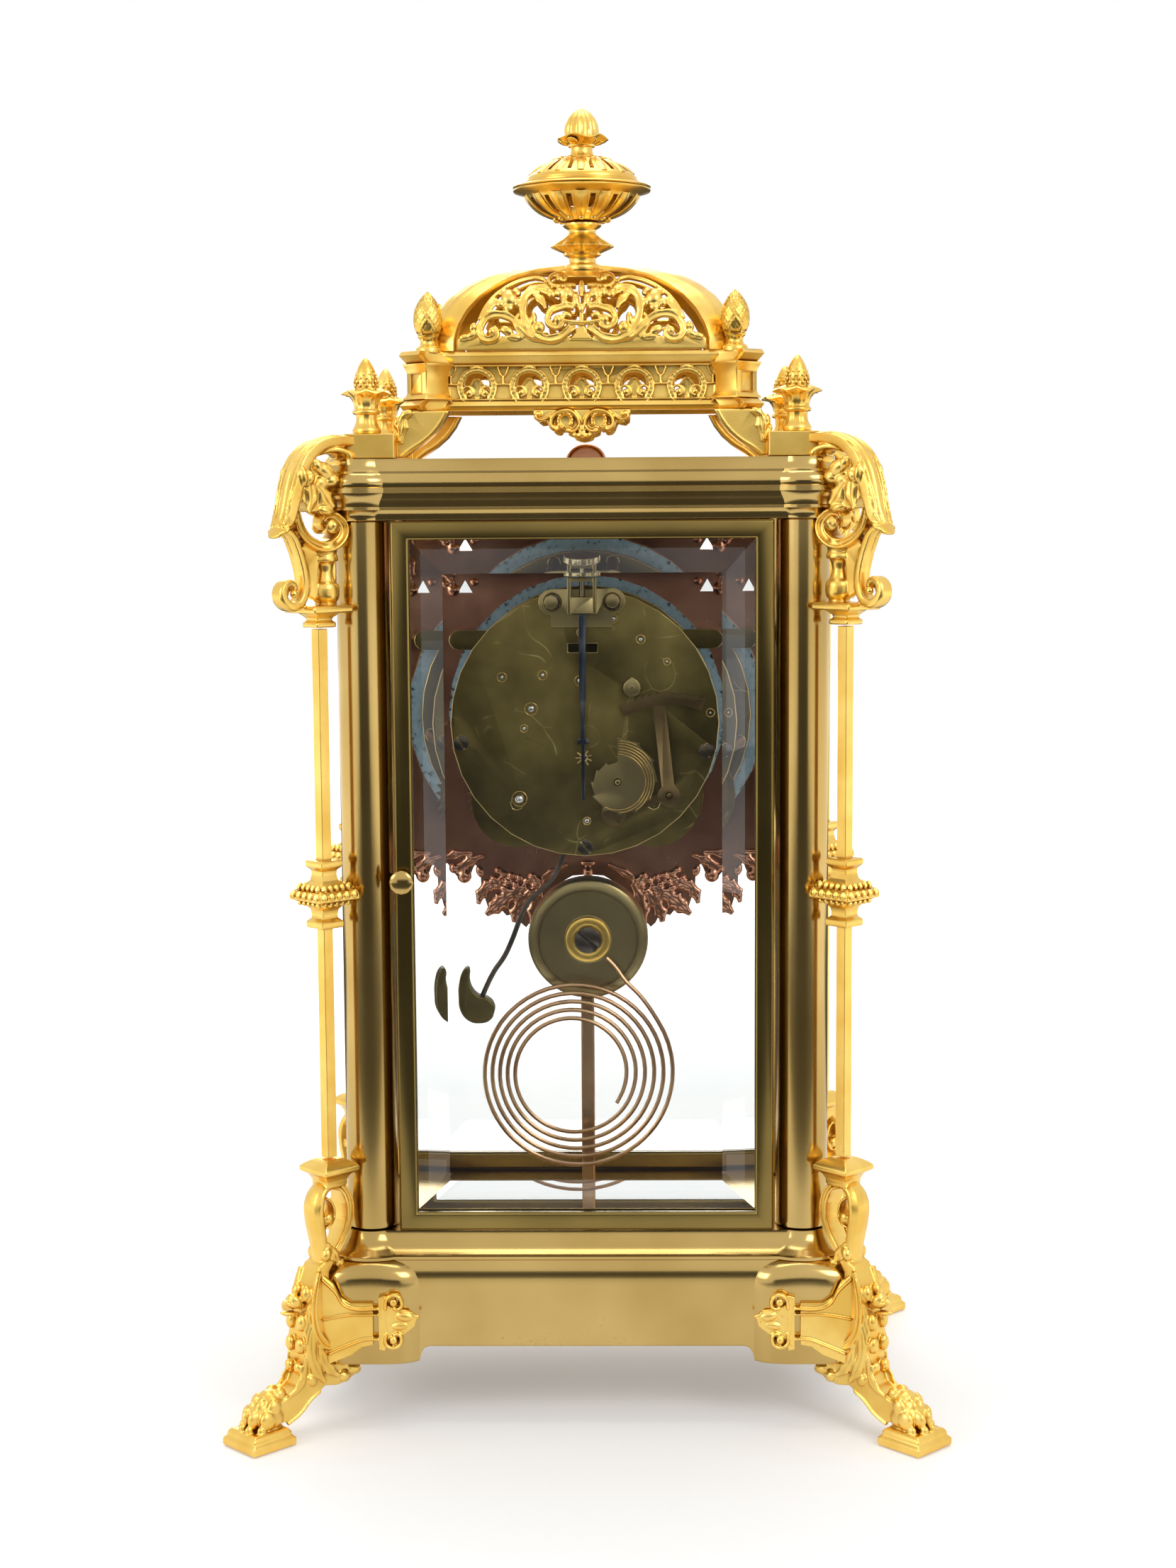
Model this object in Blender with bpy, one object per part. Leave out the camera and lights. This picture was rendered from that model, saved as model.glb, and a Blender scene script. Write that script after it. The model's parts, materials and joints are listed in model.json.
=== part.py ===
# Crystal regulator mantel clock, seen by default from its back door.
# Metres, +Z up. The dial faces -Y and the back door faces +Y. The origin is on the floor,
# midway between the four feet. Left and right are those of someone who faces the dial.
# A sheet is the side of the square in which a piece is drawn. The points of its outlines are
# shares of that sheet.

import bpy
import bmesh
from math import acos, atan2, cos, hypot, pi, radians, sin, sqrt
from mathutils import Matrix, Vector

# Fits
GAP = 0.0003                     # seat between two pieces that touch
RUN = 0.0004                     # running clearance round a shaft
OVERRUN = 0.004                  # how far a cutter or a joined end passes a face
WELD = 0.000001                  # corners nearer than this are one
FLAT_ANGLE = 0.3                 # degrees; faces that meet flatter than this become one

# Case: four round columns stand between base and cornice
COLUMN_X = 0.0776
COLUMN_Y = 0.0360
COLUMN_RADIUS = 0.0093
COLUMN_SIDES = 18
FLOOR_Z = 0.0690                 # top face of the base
CEILING_Z = 0.3235               # underside of the cornice

# Base casting
BASE_BLOCK_HALF = 0.0210         # corner block, half its width
BASE_BLOCK_ROUND = 0.0140        # outer corner radius of the block
BASE_BLOCK_ARM = 0.0050          # radius where the block meets the straight face
BASE_FACE = 0.0170               # straight face, out from the column axis
BASE_RING = 0.0174               # ledge ring round each column
BASE_RING_FACE = 0.0154
BASE_COLLAR = 0.0104             # top of the ogee, round the column foot
BASE_COLLAR_FACE = 0.0090
BASE_LEDGE_Z = 0.0600
BASE_SHOULDER_Z = 0.0550
BASE_SKIRT_Z = 0.0287            # lower edge between the corner blocks
BASE_BLOCK_Z = 0.0233            # lower edge of the corner blocks
BASE_NOTCH = 0.0030              # slope where the skirt meets a block
BASE_WALL = 0.0028
BASE_PLATE = 0.0032              # thickness of the top face

# Cornice casting
CORNICE_TOP_Z = 0.3447
CORNICE_NECK = 0.0110            # ring round the column head
CORNICE_NECK_FACE = 0.0094
CORNICE_FILLET = 0.0146          # widest fillet
CORNICE_FILLET_FACE = 0.0120
CORNICE_PLATE = 0.0030
POCKET_X = 0.0640                # hollow under the cornice, half its size
POCKET_Y = 0.0310
CREST_HALF = 0.0085              # cast crest on the front of the cornice
CREST_THICK = 0.0034
CREST_FACE = 0.0126              # its front, out from the column axis
CREST_TOP_Z = 0.3520
CREST_BOTTOM_Z = 0.3300

# Side glasses, held in slots in the columns
SIDE_GLASS_THICK = 0.0028
SLOT_DEPTH = 0.0025

# Doors: a channel frame round a bevelled glass
DOOR_SIDE_GAP = 0.0012           # between a door frame and the column beside it
DOOR_HALF = COLUMN_X - COLUMN_RADIUS - DOOR_SIDE_GAP
DOOR_BAR = 0.0066
DOOR_THICK = 0.0080
DOOR_CENTRE_Y = 0.0426
DOOR_SEAT = 0.0004               # gap over and under the frame
DOOR_CHAMFER = 0.0008
GROOVE_DEPTH = 0.0020
GLASS_EDGE = 0.0018              # thickness of the glass at its edge
GLASS_THICK = 0.0030
BEVEL_WIDTH = 0.0118
HINGE_INSET = 0.0036             # hinge axis in from the frame's edge
HINGE_Y = 0.0430
HINGE_PIN_RADIUS = 0.0010
HINGE_PIN_LENGTH = 0.0022
HINGE_HOLE_DEPTH = 0.0030
HINGE_SIDES = 8
KNOB_X = 0.0643
KNOB_Z = 0.1966
KNOB_RADIUS = 0.0043
KNOB_THICK = 0.0022
KNOB_NECK = 0.0018
KNOB_NECK_LENGTH = 0.0028
KNOB_STEM = 0.0010
KNOB_SIDES = 12
LATCH_REACH = 0.0037             # tip of the latch blade, out from the knob's axis
LATCH_WIDTH = 0.0026
LATCH_THICK = 0.0014

# Corner castings lie in the plane that runs from the column axis out along the diagonal
ROD_REACH = 0.0198               # rod axis, out from the column axis
ROD_HALF = 0.0020                # square rod, half its side
KNOP_HALF = 0.0088
KNOP_BOTTOM_Z = 0.1805
KNOP_HEIGHT = 0.0244

# Upper bracket
BRACKET_SHEET = 0.1000
BRACKET_SHEET_Z = 0.2500         # height of the sheet's lower edge
CROWN_WIDTH = 0.0054
CROWN_HALF_DEPTH = 0.0050
LEAF_HALF_DEPTH = 0.0046
VOLUTE_WIDTH = 0.0030
VOLUTE_HALF_DEPTH = 0.0040
VOLUTE_EYE = 0.0027
ARM_WIDTH = 0.0027
ARM_HALF_DEPTH = 0.0026
ARM_EYE = 0.0026
EYE_RISE = 0.0009                # how far an eye stands out of its volute
CURL_RADIUS = 0.0032
CURL_S = 0.0100                  # curl beside the block, out from the column axis
CURL_Z = 0.3487
EYE_SIDES = 8
BALUSTER_REACH = 0.0168
BALUSTER_SIDES = 6
ABACUS_HALF = 0.0085
ABACUS_THICK = 0.0024
ABACUS_Z = 0.2918
SOCKET_Z = 0.2865                # lower face of the socket over the rod
SOCKET_HALF = 0.0042
BLOCK_X = 0.0740                 # square block over each column
BLOCK_Y = 0.0345
BLOCK_HALF = 0.0088
BLOCK_TOP_Z = 0.3535

# Foot
FOOT_SHEET = 0.1000
FOOT_HALF_DEPTH = 0.0055
HARP_HALF_DEPTH = 0.0040
HARP_WIDTH = 0.0032
HARP_BACK_WIDTH = 0.0052
HARP_EYE = 0.0030
CAP_Z = 0.0875                   # lower face of the cap under the rod
CAP_HALF = 0.0077
CAP_TOP_Z = 0.0974
PLINTH_REACH = 0.0530
PLINTH_HALF = 0.0093
PLINTH_HEIGHT = 0.0062
PAW_RADIUS = 0.0082
PAW_HEIGHT = 0.0192
PAW_SIDES = 8
STRAP_THICK = 0.0026

# Urn on each corner block
URN_X = 0.0755
URN_Y = 0.0350
URN_RADIUS = 0.0082
URN_HEIGHT = 0.0262
URN_SIDES = 8

# Gallery over the cornice
GALLERY_X = 0.0520               # outer face of the short walls
GALLERY_Y = 0.0240               # outer face of the long walls
GALLERY_WALL = 0.0024
GALLERY_FLARE = 0.0024           # how far the mouldings stand out
GALLERY_BOTTOM_Z = 0.3618
GALLERY_TOP_Z = 0.3824
ARCH_COUNT = 5
ARCH_END_COUNT = 2
ARCH_PITCH = 0.0186
ARCH_RADIUS = 0.0043
ARCH_Z = 0.3718
ARCH_SILL_Z = 0.3684
CONE_X = 0.0542
CONE_Y = 0.0262
CONE_HEIGHT = 0.0210
CONE_RADIUS = 0.0049
CONE_SIDES = 6
PENDANT_HALF = 0.0173
PENDANT_DROP = 0.0103
LEG_SHEET = 0.1000
LEG_Y = 0.0300
LEG_HALF_DEPTH = 0.0044

# Dome: a pierced four-sided vault with broad hips
DOME_X = 0.0530
DOME_Y = 0.0256
DOME_TOP_Z = 0.4124
DOME_WALL = 0.0018
DOME_LONG_PANES = 7
DOME_SHORT_PANES = 3

# Finial: pierced bowl on a stem, with a lid and a bud
FINIAL_SHEET_WIDTH = 0.1000
FINIAL_SHEET_Z = 0.4000          # height of the sheet's lower edge
FINIAL_SIDES = 16

# Movement
ARBOR_Z = 0.2494                 # height of the hand arbor
PLATE_RADIUS = 0.0489
PLATE_THICK = 0.0020
PLATE_SIDES = 32
BACK_PLATE_Y = 0.0100            # front face of the back plate
FRONT_PLATE_Y = -0.0205          # back face of the front plate
PILLAR_RADIUS = 0.0024
PILLAR_RING = 0.0456             # distance of the pillars from the hand arbor
SCREW_RADIUS = 0.0026
SCREW_HEAD = 0.0012
ROUND_SIDES = 8
EAR_X = 0.0480
EAR_RISE = 0.0286
EAR_Z = ARBOR_Z + EAR_RISE
EAR_HALF = 0.0036
EAR_POST_RADIUS = 0.0025

# Going train
BARREL_X = 0.0250
BARREL_DROP = 0.0294
BARREL_Z = ARBOR_Z - BARREL_DROP
BARREL_TEETH = 40
BARREL_MODULE = 0.00095
BARREL_DRUM = 0.0170
BARREL_WHEEL_Y = -0.0140
BARREL_WHEEL_THICK = 0.0018
BARREL_DRUM_END_Y = 0.0066
BARREL_ARBOR = 0.0018
BARREL_TAIL_Y = 0.0121           # rear end of the barrel arbor
WINDING_SQUARE = 0.0021
WINDING_END_Y = -0.0362
PINION_LEAVES = 8
SECOND_TEETH = 36
SECOND_MODULE = 0.00090
SECOND_WHEEL_Y = -0.0182
SECOND_WHEEL_THICK = 0.0014
SECOND_ARBOR = 0.0012
MESH_SLACK = 0.00018             # extra centre distance of each pair
CENTRE_WHEEL_RADIUS = 0.0165
CENTRE_WHEEL_Y = -0.0080
CENTRE_WHEEL_THICK = 0.0012
CENTRE_ARBOR = 0.0014
CENTRE_NOSE_Y = -0.0385
PIVOT_END = 0.0003               # shake between an arbor and a plate

# Dial, mask and hands
DIAL_RADIUS = 0.0526
DIAL_THICK = 0.0014
DIAL_FACE_Y = -0.0330
DIAL_SIDES = 28
DIAL_HOLE = 0.0034
DIAL_FOOT_RADIUS = 0.0016
DIAL_FOOT_RING = 0.0430
WINDING_HOLE = 0.0029
MASK_HALF = 0.06805
MASK_THICK = 0.0014
MASK_BOTTOM_Z = 0.1664
MASK_FRINGE = 0.0246             # height of the scalloped lower edge
MASK_HOLE = 0.0488
VENT_X = 0.0460
VENT_Z = 0.2970
VENT_HALF = 0.0032
HOUR_REACH = 0.0270
HOUR_Y = -0.0362
HOUR_PIPE = 0.0029
HOUR_WHEEL_RADIUS = 0.0120
HOUR_WHEEL_Y = -0.0240
HOUR_WHEEL_THICK = 0.0010
MINUTE_REACH = 0.0410
MINUTE_Y = -0.0378
HAND_THICK = 0.0006
HAND_HUB = 0.0042
HOUR_ANGLE = 305                 # degrees from twelve, clockwise from the front
MINUTE_ANGLE = 60

# Suspension and crutch
SUSPENSION_X = 0.0006
SUSPENSION_Y = 0.0186
SUSPENSION_FOOT_Y = 0.0123
SUSPENSION_FOOT_THICK = 0.0012
SUSPENSION_EAR_RISE = 0.0441
SUSPENSION_EAR_Z = ARBOR_Z + SUSPENSION_EAR_RISE
SUSPENSION_EAR_HALF = 0.0048
SUSPENSION_FOOT_RISE = 0.0351
SUSPENSION_FOOT_Z = ARBOR_Z + SUSPENSION_FOOT_RISE
CHEEK_HALF = 0.0052
CHEEK_THICK = 0.0012
CHEEK_END_Y = 0.0214
BRIDGE_RISE = 0.0516
BRIDGE_Z = ARBOR_Z + BRIDGE_RISE
BRIDGE_THICK = 0.0016
CHOP_TOP_RISE = 0.0461
CHOP_TOP_Z = ARBOR_Z + CHOP_TOP_RISE
CHOP_BOTTOM_RISE = 0.0401
CHOP_BOTTOM_Z = ARBOR_Z + CHOP_BOTTOM_RISE
CHOP_HALF_DEPTH = 0.0021
RATING_RISE = 0.0536
RATING_Z = ARBOR_Z + RATING_RISE
RATING_RADIUS = 0.0066
RATING_THICK = 0.0024
RATING_NOTCHES = 12
RATING_NOTCH_DEPTH = 0.0006
RATING_SCREW = 0.0010
FLEX_RISE = 0.0388               # where the suspension spring bends
FLEX_Z = ARBOR_Z + FLEX_RISE
LEADER_TOP_RISE = 0.0398
LEADER_TOP_Z = ARBOR_Z + LEADER_TOP_RISE
LEADER_WIDTH = 0.0024
LEADER_THICK = 0.0005
LEADER_ROD = 0.0013
LEADER_ROD_RISE = 0.0086         # top of the rod under the spring
LEADER_ROD_Z = ARBOR_Z + LEADER_ROD_RISE
LEADER_END_DROP = 0.0273
LEADER_END_Z = ARBOR_Z - LEADER_END_DROP
CRUTCH_RISE = 0.0327             # pallet arbor
CRUTCH_Z = ARBOR_Z + CRUTCH_RISE
CRUTCH_ARBOR = 0.0010
CRUTCH_WIRE = 0.0009
CRUTCH_ARM_Y = 0.0070
CRUTCH_Y = 0.0156
CRUTCH_FORK_DROP = 0.0062
CRUTCH_FORK_Z = ARBOR_Z - CRUTCH_FORK_DROP
CRUTCH_TINE = 0.0010
SLOT_RISE = 0.0274               # opening in the back plate for the crutch
SLOT_Z = ARBOR_Z + SLOT_RISE
SLOT_HALF = 0.0053
SLOT_HALF_HEIGHT = 0.0017

# Strike work on the back plate
STUD_RADIUS = 0.0010
STUD_END_Y = 0.0158
SNAIL_X = -0.0119
SNAIL_DROP = 0.0213
SNAIL_Z = ARBOR_Z - SNAIL_DROP
SNAIL_HIGH = 0.0162
SNAIL_LOW = 0.0072
SNAIL_STEPS = 12
SNAIL_Y = 0.0142
SNAIL_THICK = 0.0008
SNAIL_WHEEL_RADIUS = 0.0062
SNAIL_WHEEL_Y = 0.0131
SNAIL_WHEEL_THICK = 0.0006
SNAIL_HUB = 0.0024
SNAIL_HUB_Y = 0.0124
RACK_X = -0.0305
RACK_DROP = 0.0262
RACK_Z = ARBOR_Z - RACK_DROP
RACK_RADIUS = 0.0378
RACK_TEETH = 12
RACK_TOOTH = 0.0011
RACK_RIM = 0.0036
RACK_START = 62                  # degrees round the rack's stud, from +X
RACK_END = 111
RACK_STEM_ANGLE = 84
RACK_STEM = 0.0046
RACK_HUB = 0.0042
RACK_HUB_Y = 0.0124
RACK_Y = 0.0156
RACK_THICK = 0.0009
RACK_TAIL_X = -0.0105
RACK_TAIL_DROP = 0.0331
RACK_TAIL_Z = ARBOR_Z - RACK_TAIL_DROP
RACK_TAIL_RADIUS = 0.0047
RACK_TAIL_WIDTH = 0.0030
RACK_TAIL_THICK = 0.0006
GATHER_X = -0.0172
GATHER_RISE = 0.0131
GATHER_Z = ARBOR_Z + GATHER_RISE
GATHER_RADIUS = 0.0031
GATHER_ARBOR = 0.0011
GATHER_Y = 0.0150
GATHER_THICK = 0.0018

# Hammer
HAMMER_SHEET = 0.1000            # drawn from the arbor, outward and down
HAMMER_X = 0.0015
HAMMER_DROP = 0.0364
HAMMER_Z = ARBOR_Z - HAMMER_DROP
HAMMER_ARBOR = 0.0012
HAMMER_Y = 0.0020
HAMMER_WIRE = 0.0010
HAMMER_HEAD_HALF_DEPTH = 0.0034

# Gong
BOSS_X = -0.0004
BOSS_Z = 0.1672
BOSS_RADIUS = 0.0224
BOSS_FRONT_Y = -0.0020
BOSS_THICK = 0.0120
BOSS_ROUND = 0.0012
BOSS_SIDES = 20
WASHER_RADIUS = 0.0085
WASHER_HEIGHT = 0.0014
GONG_SCREW_RADIUS = 0.0049
GONG_SCREW_HEIGHT = 0.0014
GONG_SCREW_SHANK = 0.0022
GONG_SCREW_SLOT = 0.0012
POST_HALF = 0.00245
POST_HALF_DEPTH = 0.0030
POST_Y = -0.0080
GONG_X = 0.0040
GONG_Z = 0.1173
GONG_DRIFT = 0.0016              # how far the inner turns stand to one side
GONG_Y = 0.0022
GONG_WIRE_RADIUS = 0.00082
GONG_RADIUS = 0.0366
GONG_PITCH = 0.00318
GONG_START = 40                  # degrees where the outer turn leaves the lead-in
GONG_TURNS = 5.19
GONG_TURN_POINTS = 24

# Corners, with the sides that they stand on
CORNERS = (("back_right", 1, 1), ("back_left", -1, 1),
           ("front_left", -1, -1), ("front_right", 1, -1))

# Finishes
BRASS = ("satin_brass", (0.42, 0.29, 0.09), 0.32, 1.0)
DARK_BRASS = ("dark_brass", (0.26, 0.18, 0.05), 0.38, 1.0)
GILT = ("gilt_bronze", (0.86, 0.56, 0.14), 0.28, 1.0)
COPPER = ("copper_back", (0.62, 0.29, 0.17), 0.35, 1.0)
GLASS = ("clear_glass", (0.95, 0.98, 0.97), 0.02, 0.0)
ENAMEL = ("enamel", (0.85, 0.84, 0.76), 0.15, 0.0)
STEEL = ("dark_steel", (0.10, 0.09, 0.09), 0.35, 1.0)
BLUED = ("blued_steel", (0.05, 0.09, 0.20), 0.30, 1.0)
GONG_METAL = ("gong_bronze", (0.47, 0.28, 0.15), 0.40, 1.0)


def clear_scene():
    for old in list(bpy.data.objects):
        bpy.data.objects.remove(old, do_unlink=True)


def finish_material(finish):
    name, colour, roughness, metallic = finish
    if name in bpy.data.materials:
        return bpy.data.materials[name]
    material = bpy.data.materials.new(name)
    material.use_nodes = True
    shader = material.node_tree.nodes["Principled BSDF"]
    shader.inputs["Base Color"].default_value = (*colour, 1.0)
    shader.inputs["Roughness"].default_value = roughness
    shader.inputs["Metallic"].default_value = metallic
    if finish is GLASS:
        shader.inputs["Transmission Weight"].default_value = 1.0
    return material


def add_piece(name, shape, finish, origin=(0, 0, 0)):
    """Turn a bmesh into a named object whose origin is at the given place."""
    bmesh.ops.recalc_face_normals(shape, faces=shape.faces)
    bmesh.ops.translate(shape, verts=shape.verts, vec=-Vector(origin))
    mesh = bpy.data.meshes.new(name)
    shape.to_mesh(mesh)
    shape.free()
    mesh.materials.append(finish_material(finish))
    mesh.shade_smooth()
    mesh.set_sharp_from_angle(angle=radians(35))
    piece = bpy.data.objects.new(name, mesh)
    piece.location = origin
    bpy.context.collection.objects.link(piece)


def join_rings(rings, closed=False):
    """Skin a list of rings that all have the same number of points, with a face on each end."""
    shape = bmesh.new()
    rows = [[shape.verts.new(point) for point in ring] for ring in rings]
    count = len(rows[0])
    pairs = list(zip(rows, rows[1:]))
    if closed:
        pairs.append((rows[-1], rows[0]))
    for low, high in pairs:
        for i in range(count):
            j = (i + 1) % count
            shape.faces.new((low[i], low[j], high[j], high[i]))
    if not closed:
        shape.faces.new(list(reversed(rows[0])))
        shape.faces.new(rows[-1])
    return shape


def circle(radius, sides, turn=0.0):
    return [(radius * cos(2 * pi * i / sides + turn), radius * sin(2 * pi * i / sides + turn))
            for i in range(sides)]


def lathe(profile, sides, centre=(0, 0), turn=0.0):
    """Solid of revolution about Z from (radius, height) pairs, bottom to top."""
    rings = []
    for radius, height in profile:
        rings.append([(centre[0] + x, centre[1] + y, height) for x, y in circle(radius, sides, turn)])
    return join_rings(rings)


def lathe_along_y(profile, sides, x, z, bored=False, turn=0.0):
    """Solid of revolution about a line along Y from (radius, y) pairs, bored if the profile closes."""
    rings = []
    for radius, y in profile:
        rings.append([(x + a, y, z + b) for a, b in circle(radius, sides, turn)])
    return join_rings(rings, closed=bored)


def rod_along_y(radius, y_low, y_high, x, z, sides=ROUND_SIDES):
    return lathe_along_y(((radius, y_low), (radius, y_high)), sides, x, z)


def rod_along_z(radius, z_low, z_high, x, y, sides=ROUND_SIDES):
    return lathe(((radius, z_low), (radius, z_high)), sides, (x, y))


def square_loft(stations, centre=(0, 0)):
    """Stack of squares from (half side, height) pairs."""
    rings = []
    for half, height in stations:
        rings.append([(centre[0] + half * a, centre[1] + half * b, height)
                      for a, b in ((-1, -1), (1, -1), (1, 1), (-1, 1))])
    return join_rings(rings)


def box(low, high):
    shape = bmesh.new()
    bmesh.ops.create_cube(shape, size=1.0)
    size = Vector(high) - Vector(low)
    middle = (Vector(high) + Vector(low)) / 2
    bmesh.ops.transform(shape, verts=shape.verts,
                        matrix=Matrix.Translation(middle) @ Matrix.Diagonal((*size, 1.0)))
    return shape


def slab_xz(outline, y_low, y_high):
    """Outline in X and Z, pushed along Y."""
    return join_rings([[(x, y_low, z) for x, z in outline], [(x, y_high, z) for x, z in outline]])


def stroke(points, widths, half_depth, chamfer_share=0.0):
    """Band that follows points in X and Z, with its depth along Y on both sides of zero."""
    rings = []
    last = len(points) - 1
    for i, (x, z) in enumerate(points):
        ahead = points[min(i + 1, last)]
        behind = points[max(i - 1, 0)]
        length = hypot(ahead[0] - behind[0], ahead[1] - behind[1])
        nx = -(ahead[1] - behind[1]) / length
        nz = (ahead[0] - behind[0]) / length
        w = widths[i] / 2
        d = half_depth
        c = chamfer_share * w
        if c > 0:
            section = ((w, d - c), (w - c, d), (c - w, d), (-w, d - c),
                       (-w, c - d), (c - w, -d), (w - c, -d), (w, c - d))
        else:
            section = ((w, d), (-w, d), (-w, -d), (w, -d))
        rings.append([(x + nx * a, b, z + nz * a) for a, b in section])
    return join_rings(rings)


def combine(first, second, operation):
    """Boolean of two bmeshes, with Blender's exact solver."""
    objects = []
    for label, shape in (("first", first), ("second", second)):
        bmesh.ops.recalc_face_normals(shape, faces=shape.faces)
        mesh = bpy.data.meshes.new(label)
        shape.to_mesh(mesh)
        shape.free()
        made = bpy.data.objects.new(label, mesh)
        bpy.context.collection.objects.link(made)
        objects.append(made)
    modifier = objects[0].modifiers.new("combine", "BOOLEAN")
    modifier.operation = operation
    modifier.solver = "EXACT"
    modifier.object = objects[1]
    graph = bpy.context.evaluated_depsgraph_get()
    result = bmesh.new()
    result.from_mesh(objects[0].evaluated_get(graph).to_mesh())
    for made in objects:
        mesh = made.data
        bpy.data.objects.remove(made, do_unlink=True)
        bpy.data.meshes.remove(mesh)
    bmesh.ops.remove_doubles(result, verts=result.verts, dist=WELD)
    bmesh.ops.dissolve_degenerate(result, dist=WELD, edges=result.edges)
    bmesh.ops.dissolve_limit(result, angle_limit=radians(FLAT_ANGLE), verts=result.verts, edges=result.edges)
    return without_loose_corners(result)


def without_loose_corners(shape):
    loose = [vertex for vertex in shape.verts if not vertex.link_faces]
    bmesh.ops.delete(shape, geom=loose, context="VERTS")
    return shape


def union(shapes):
    whole = shapes[0]
    for shape in shapes[1:]:
        whole = combine(whole, shape, "UNION")
    return whole


def cut(shape, cutters):
    for cutter in cutters:
        shape = combine(shape, cutter, "DIFFERENCE")
    return shape


def move(shape, matrix):
    bmesh.ops.transform(shape, verts=shape.verts, matrix=matrix)
    return shape


def mirrored(shape, side_x, side_y):
    """Copy of a shape with the signs of its X and Y changed."""
    copy = shape.copy()
    bmesh.ops.transform(copy, verts=copy.verts, matrix=Matrix.Diagonal((side_x, side_y, 1, 1)))
    if side_x * side_y < 0:
        bmesh.ops.reverse_faces(copy, faces=copy.faces)
    return copy


def on_diagonal(shape):
    """Place a casting drawn with X outward and Y across on the back right diagonal."""
    turn = Matrix.Rotation(radians(45), 4, "Z")
    return move(shape, Matrix.Translation((COLUMN_X, COLUMN_Y, 0)) @ turn)


def add_corner_set(name, shape, finish):
    for label, side_x, side_y in CORNERS:
        add_piece(f"{name}_{label}", mirrored(shape, side_x, side_y), finish)
    shape.free()


def around_quadrants(quadrant):
    """Repeat a quadrant outline, given from +X to +Y, round all four quadrants."""
    first = list(quadrant)
    second = [(-x, y) for x, y in reversed(first)]
    third = [(-x, -y) for x, y in first]
    fourth = [(x, -y) for x, y in reversed(first)]
    return first + second + third + fourth


def mix(first, second, share):
    """Plan sizes between two sets of plan sizes."""
    return tuple(a + (b - a) * share for a, b in zip(first, second))


def corner_ring(half, corner_radius, face, arm_radius):
    """Plan of base or cornice: straight runs, with a rounded square round each column."""
    arm_centre = half - arm_radius
    corner_centre = half - corner_radius
    sweep = acos((face - arm_centre) / arm_radius)
    arm_shares = (1, 0.55, 0 if arm_centre > WELD else 0.12)
    arm = []
    for share in arm_shares:
        angle = -sweep * share
        arm.append((arm_centre + arm_radius * cos(angle), arm_radius * sin(angle) - arm_centre))
    corner = []
    corner_steps = 3
    for i in range(corner_steps + 1):
        angle = pi / 2 * i / corner_steps
        corner.append((corner_centre + corner_radius * cos(angle), corner_centre + corner_radius * sin(angle)))
    run = [(face, arm[0][1] - BASE_NOTCH)] + arm
    quadrant = run + corner + [(v, u) for u, v in reversed(run)]
    return around_quadrants([(COLUMN_X + u, COLUMN_Y + v) for u, v in quadrant])


def at_height(outline, height):
    return [(x, y, height) for x, y in outline]


def curve_through(points, steps):
    """Smooth line through hand-placed points, by Catmull-Rom."""
    padded = [points[0]] + list(points) + [points[-1]]
    result = []
    for i in range(1, len(padded) - 2):
        p0, p1, p2, p3 = (Vector(p) for p in padded[i - 1:i + 3])
        for k in range(steps):
            t = k / steps
            result.append(tuple(0.5 * (2 * p1 + (p2 - p0) * t + (2 * p0 - 5 * p1 + 4 * p2 - p3) * t ** 2
                                       + (3 * p1 - p0 - 3 * p2 + p3) * t ** 3)))
    result.append(tuple(points[-1]))
    return result


def pierced_shell(outer, inner, missing):
    """Two skins that meet at their first rings and close at their last, with walled holes."""
    shape = bmesh.new()
    out_rows = [[shape.verts.new(point) for point in ring] for ring in outer]
    in_rows = [[shape.verts.new(point) for point in ring] for ring in inner]
    count = len(outer[0])
    for rows in (out_rows, in_rows):
        for k in range(len(rows) - 1):
            for i in range(count):
                if (k, i) not in missing:
                    j = (i + 1) % count
                    shape.faces.new((rows[k][i], rows[k][j], rows[k + 1][j], rows[k + 1][i]))
        shape.faces.new(rows[-1])
    for i in range(count):
        j = (i + 1) % count
        shape.faces.new((out_rows[0][i], out_rows[0][j], in_rows[0][j], in_rows[0][i]))
    for k, i in sorted(missing):
        j = (i + 1) % count
        sides = (((k - 1, i), (k, i), (k, j)), ((k + 1, i), (k + 1, i), (k + 1, j)),
                 ((k, (i - 1) % count), (k, i), (k + 1, i)), ((k, j), (k, j), (k + 1, j)))
        for neighbour, start, end in sides:
            if neighbour not in missing:
                shape.faces.new((out_rows[start[0]][start[1]], out_rows[end[0]][end[1]],
                                 in_rows[end[0]][end[1]], in_rows[start[0]][start[1]]))
    return without_loose_corners(shape)


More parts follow.
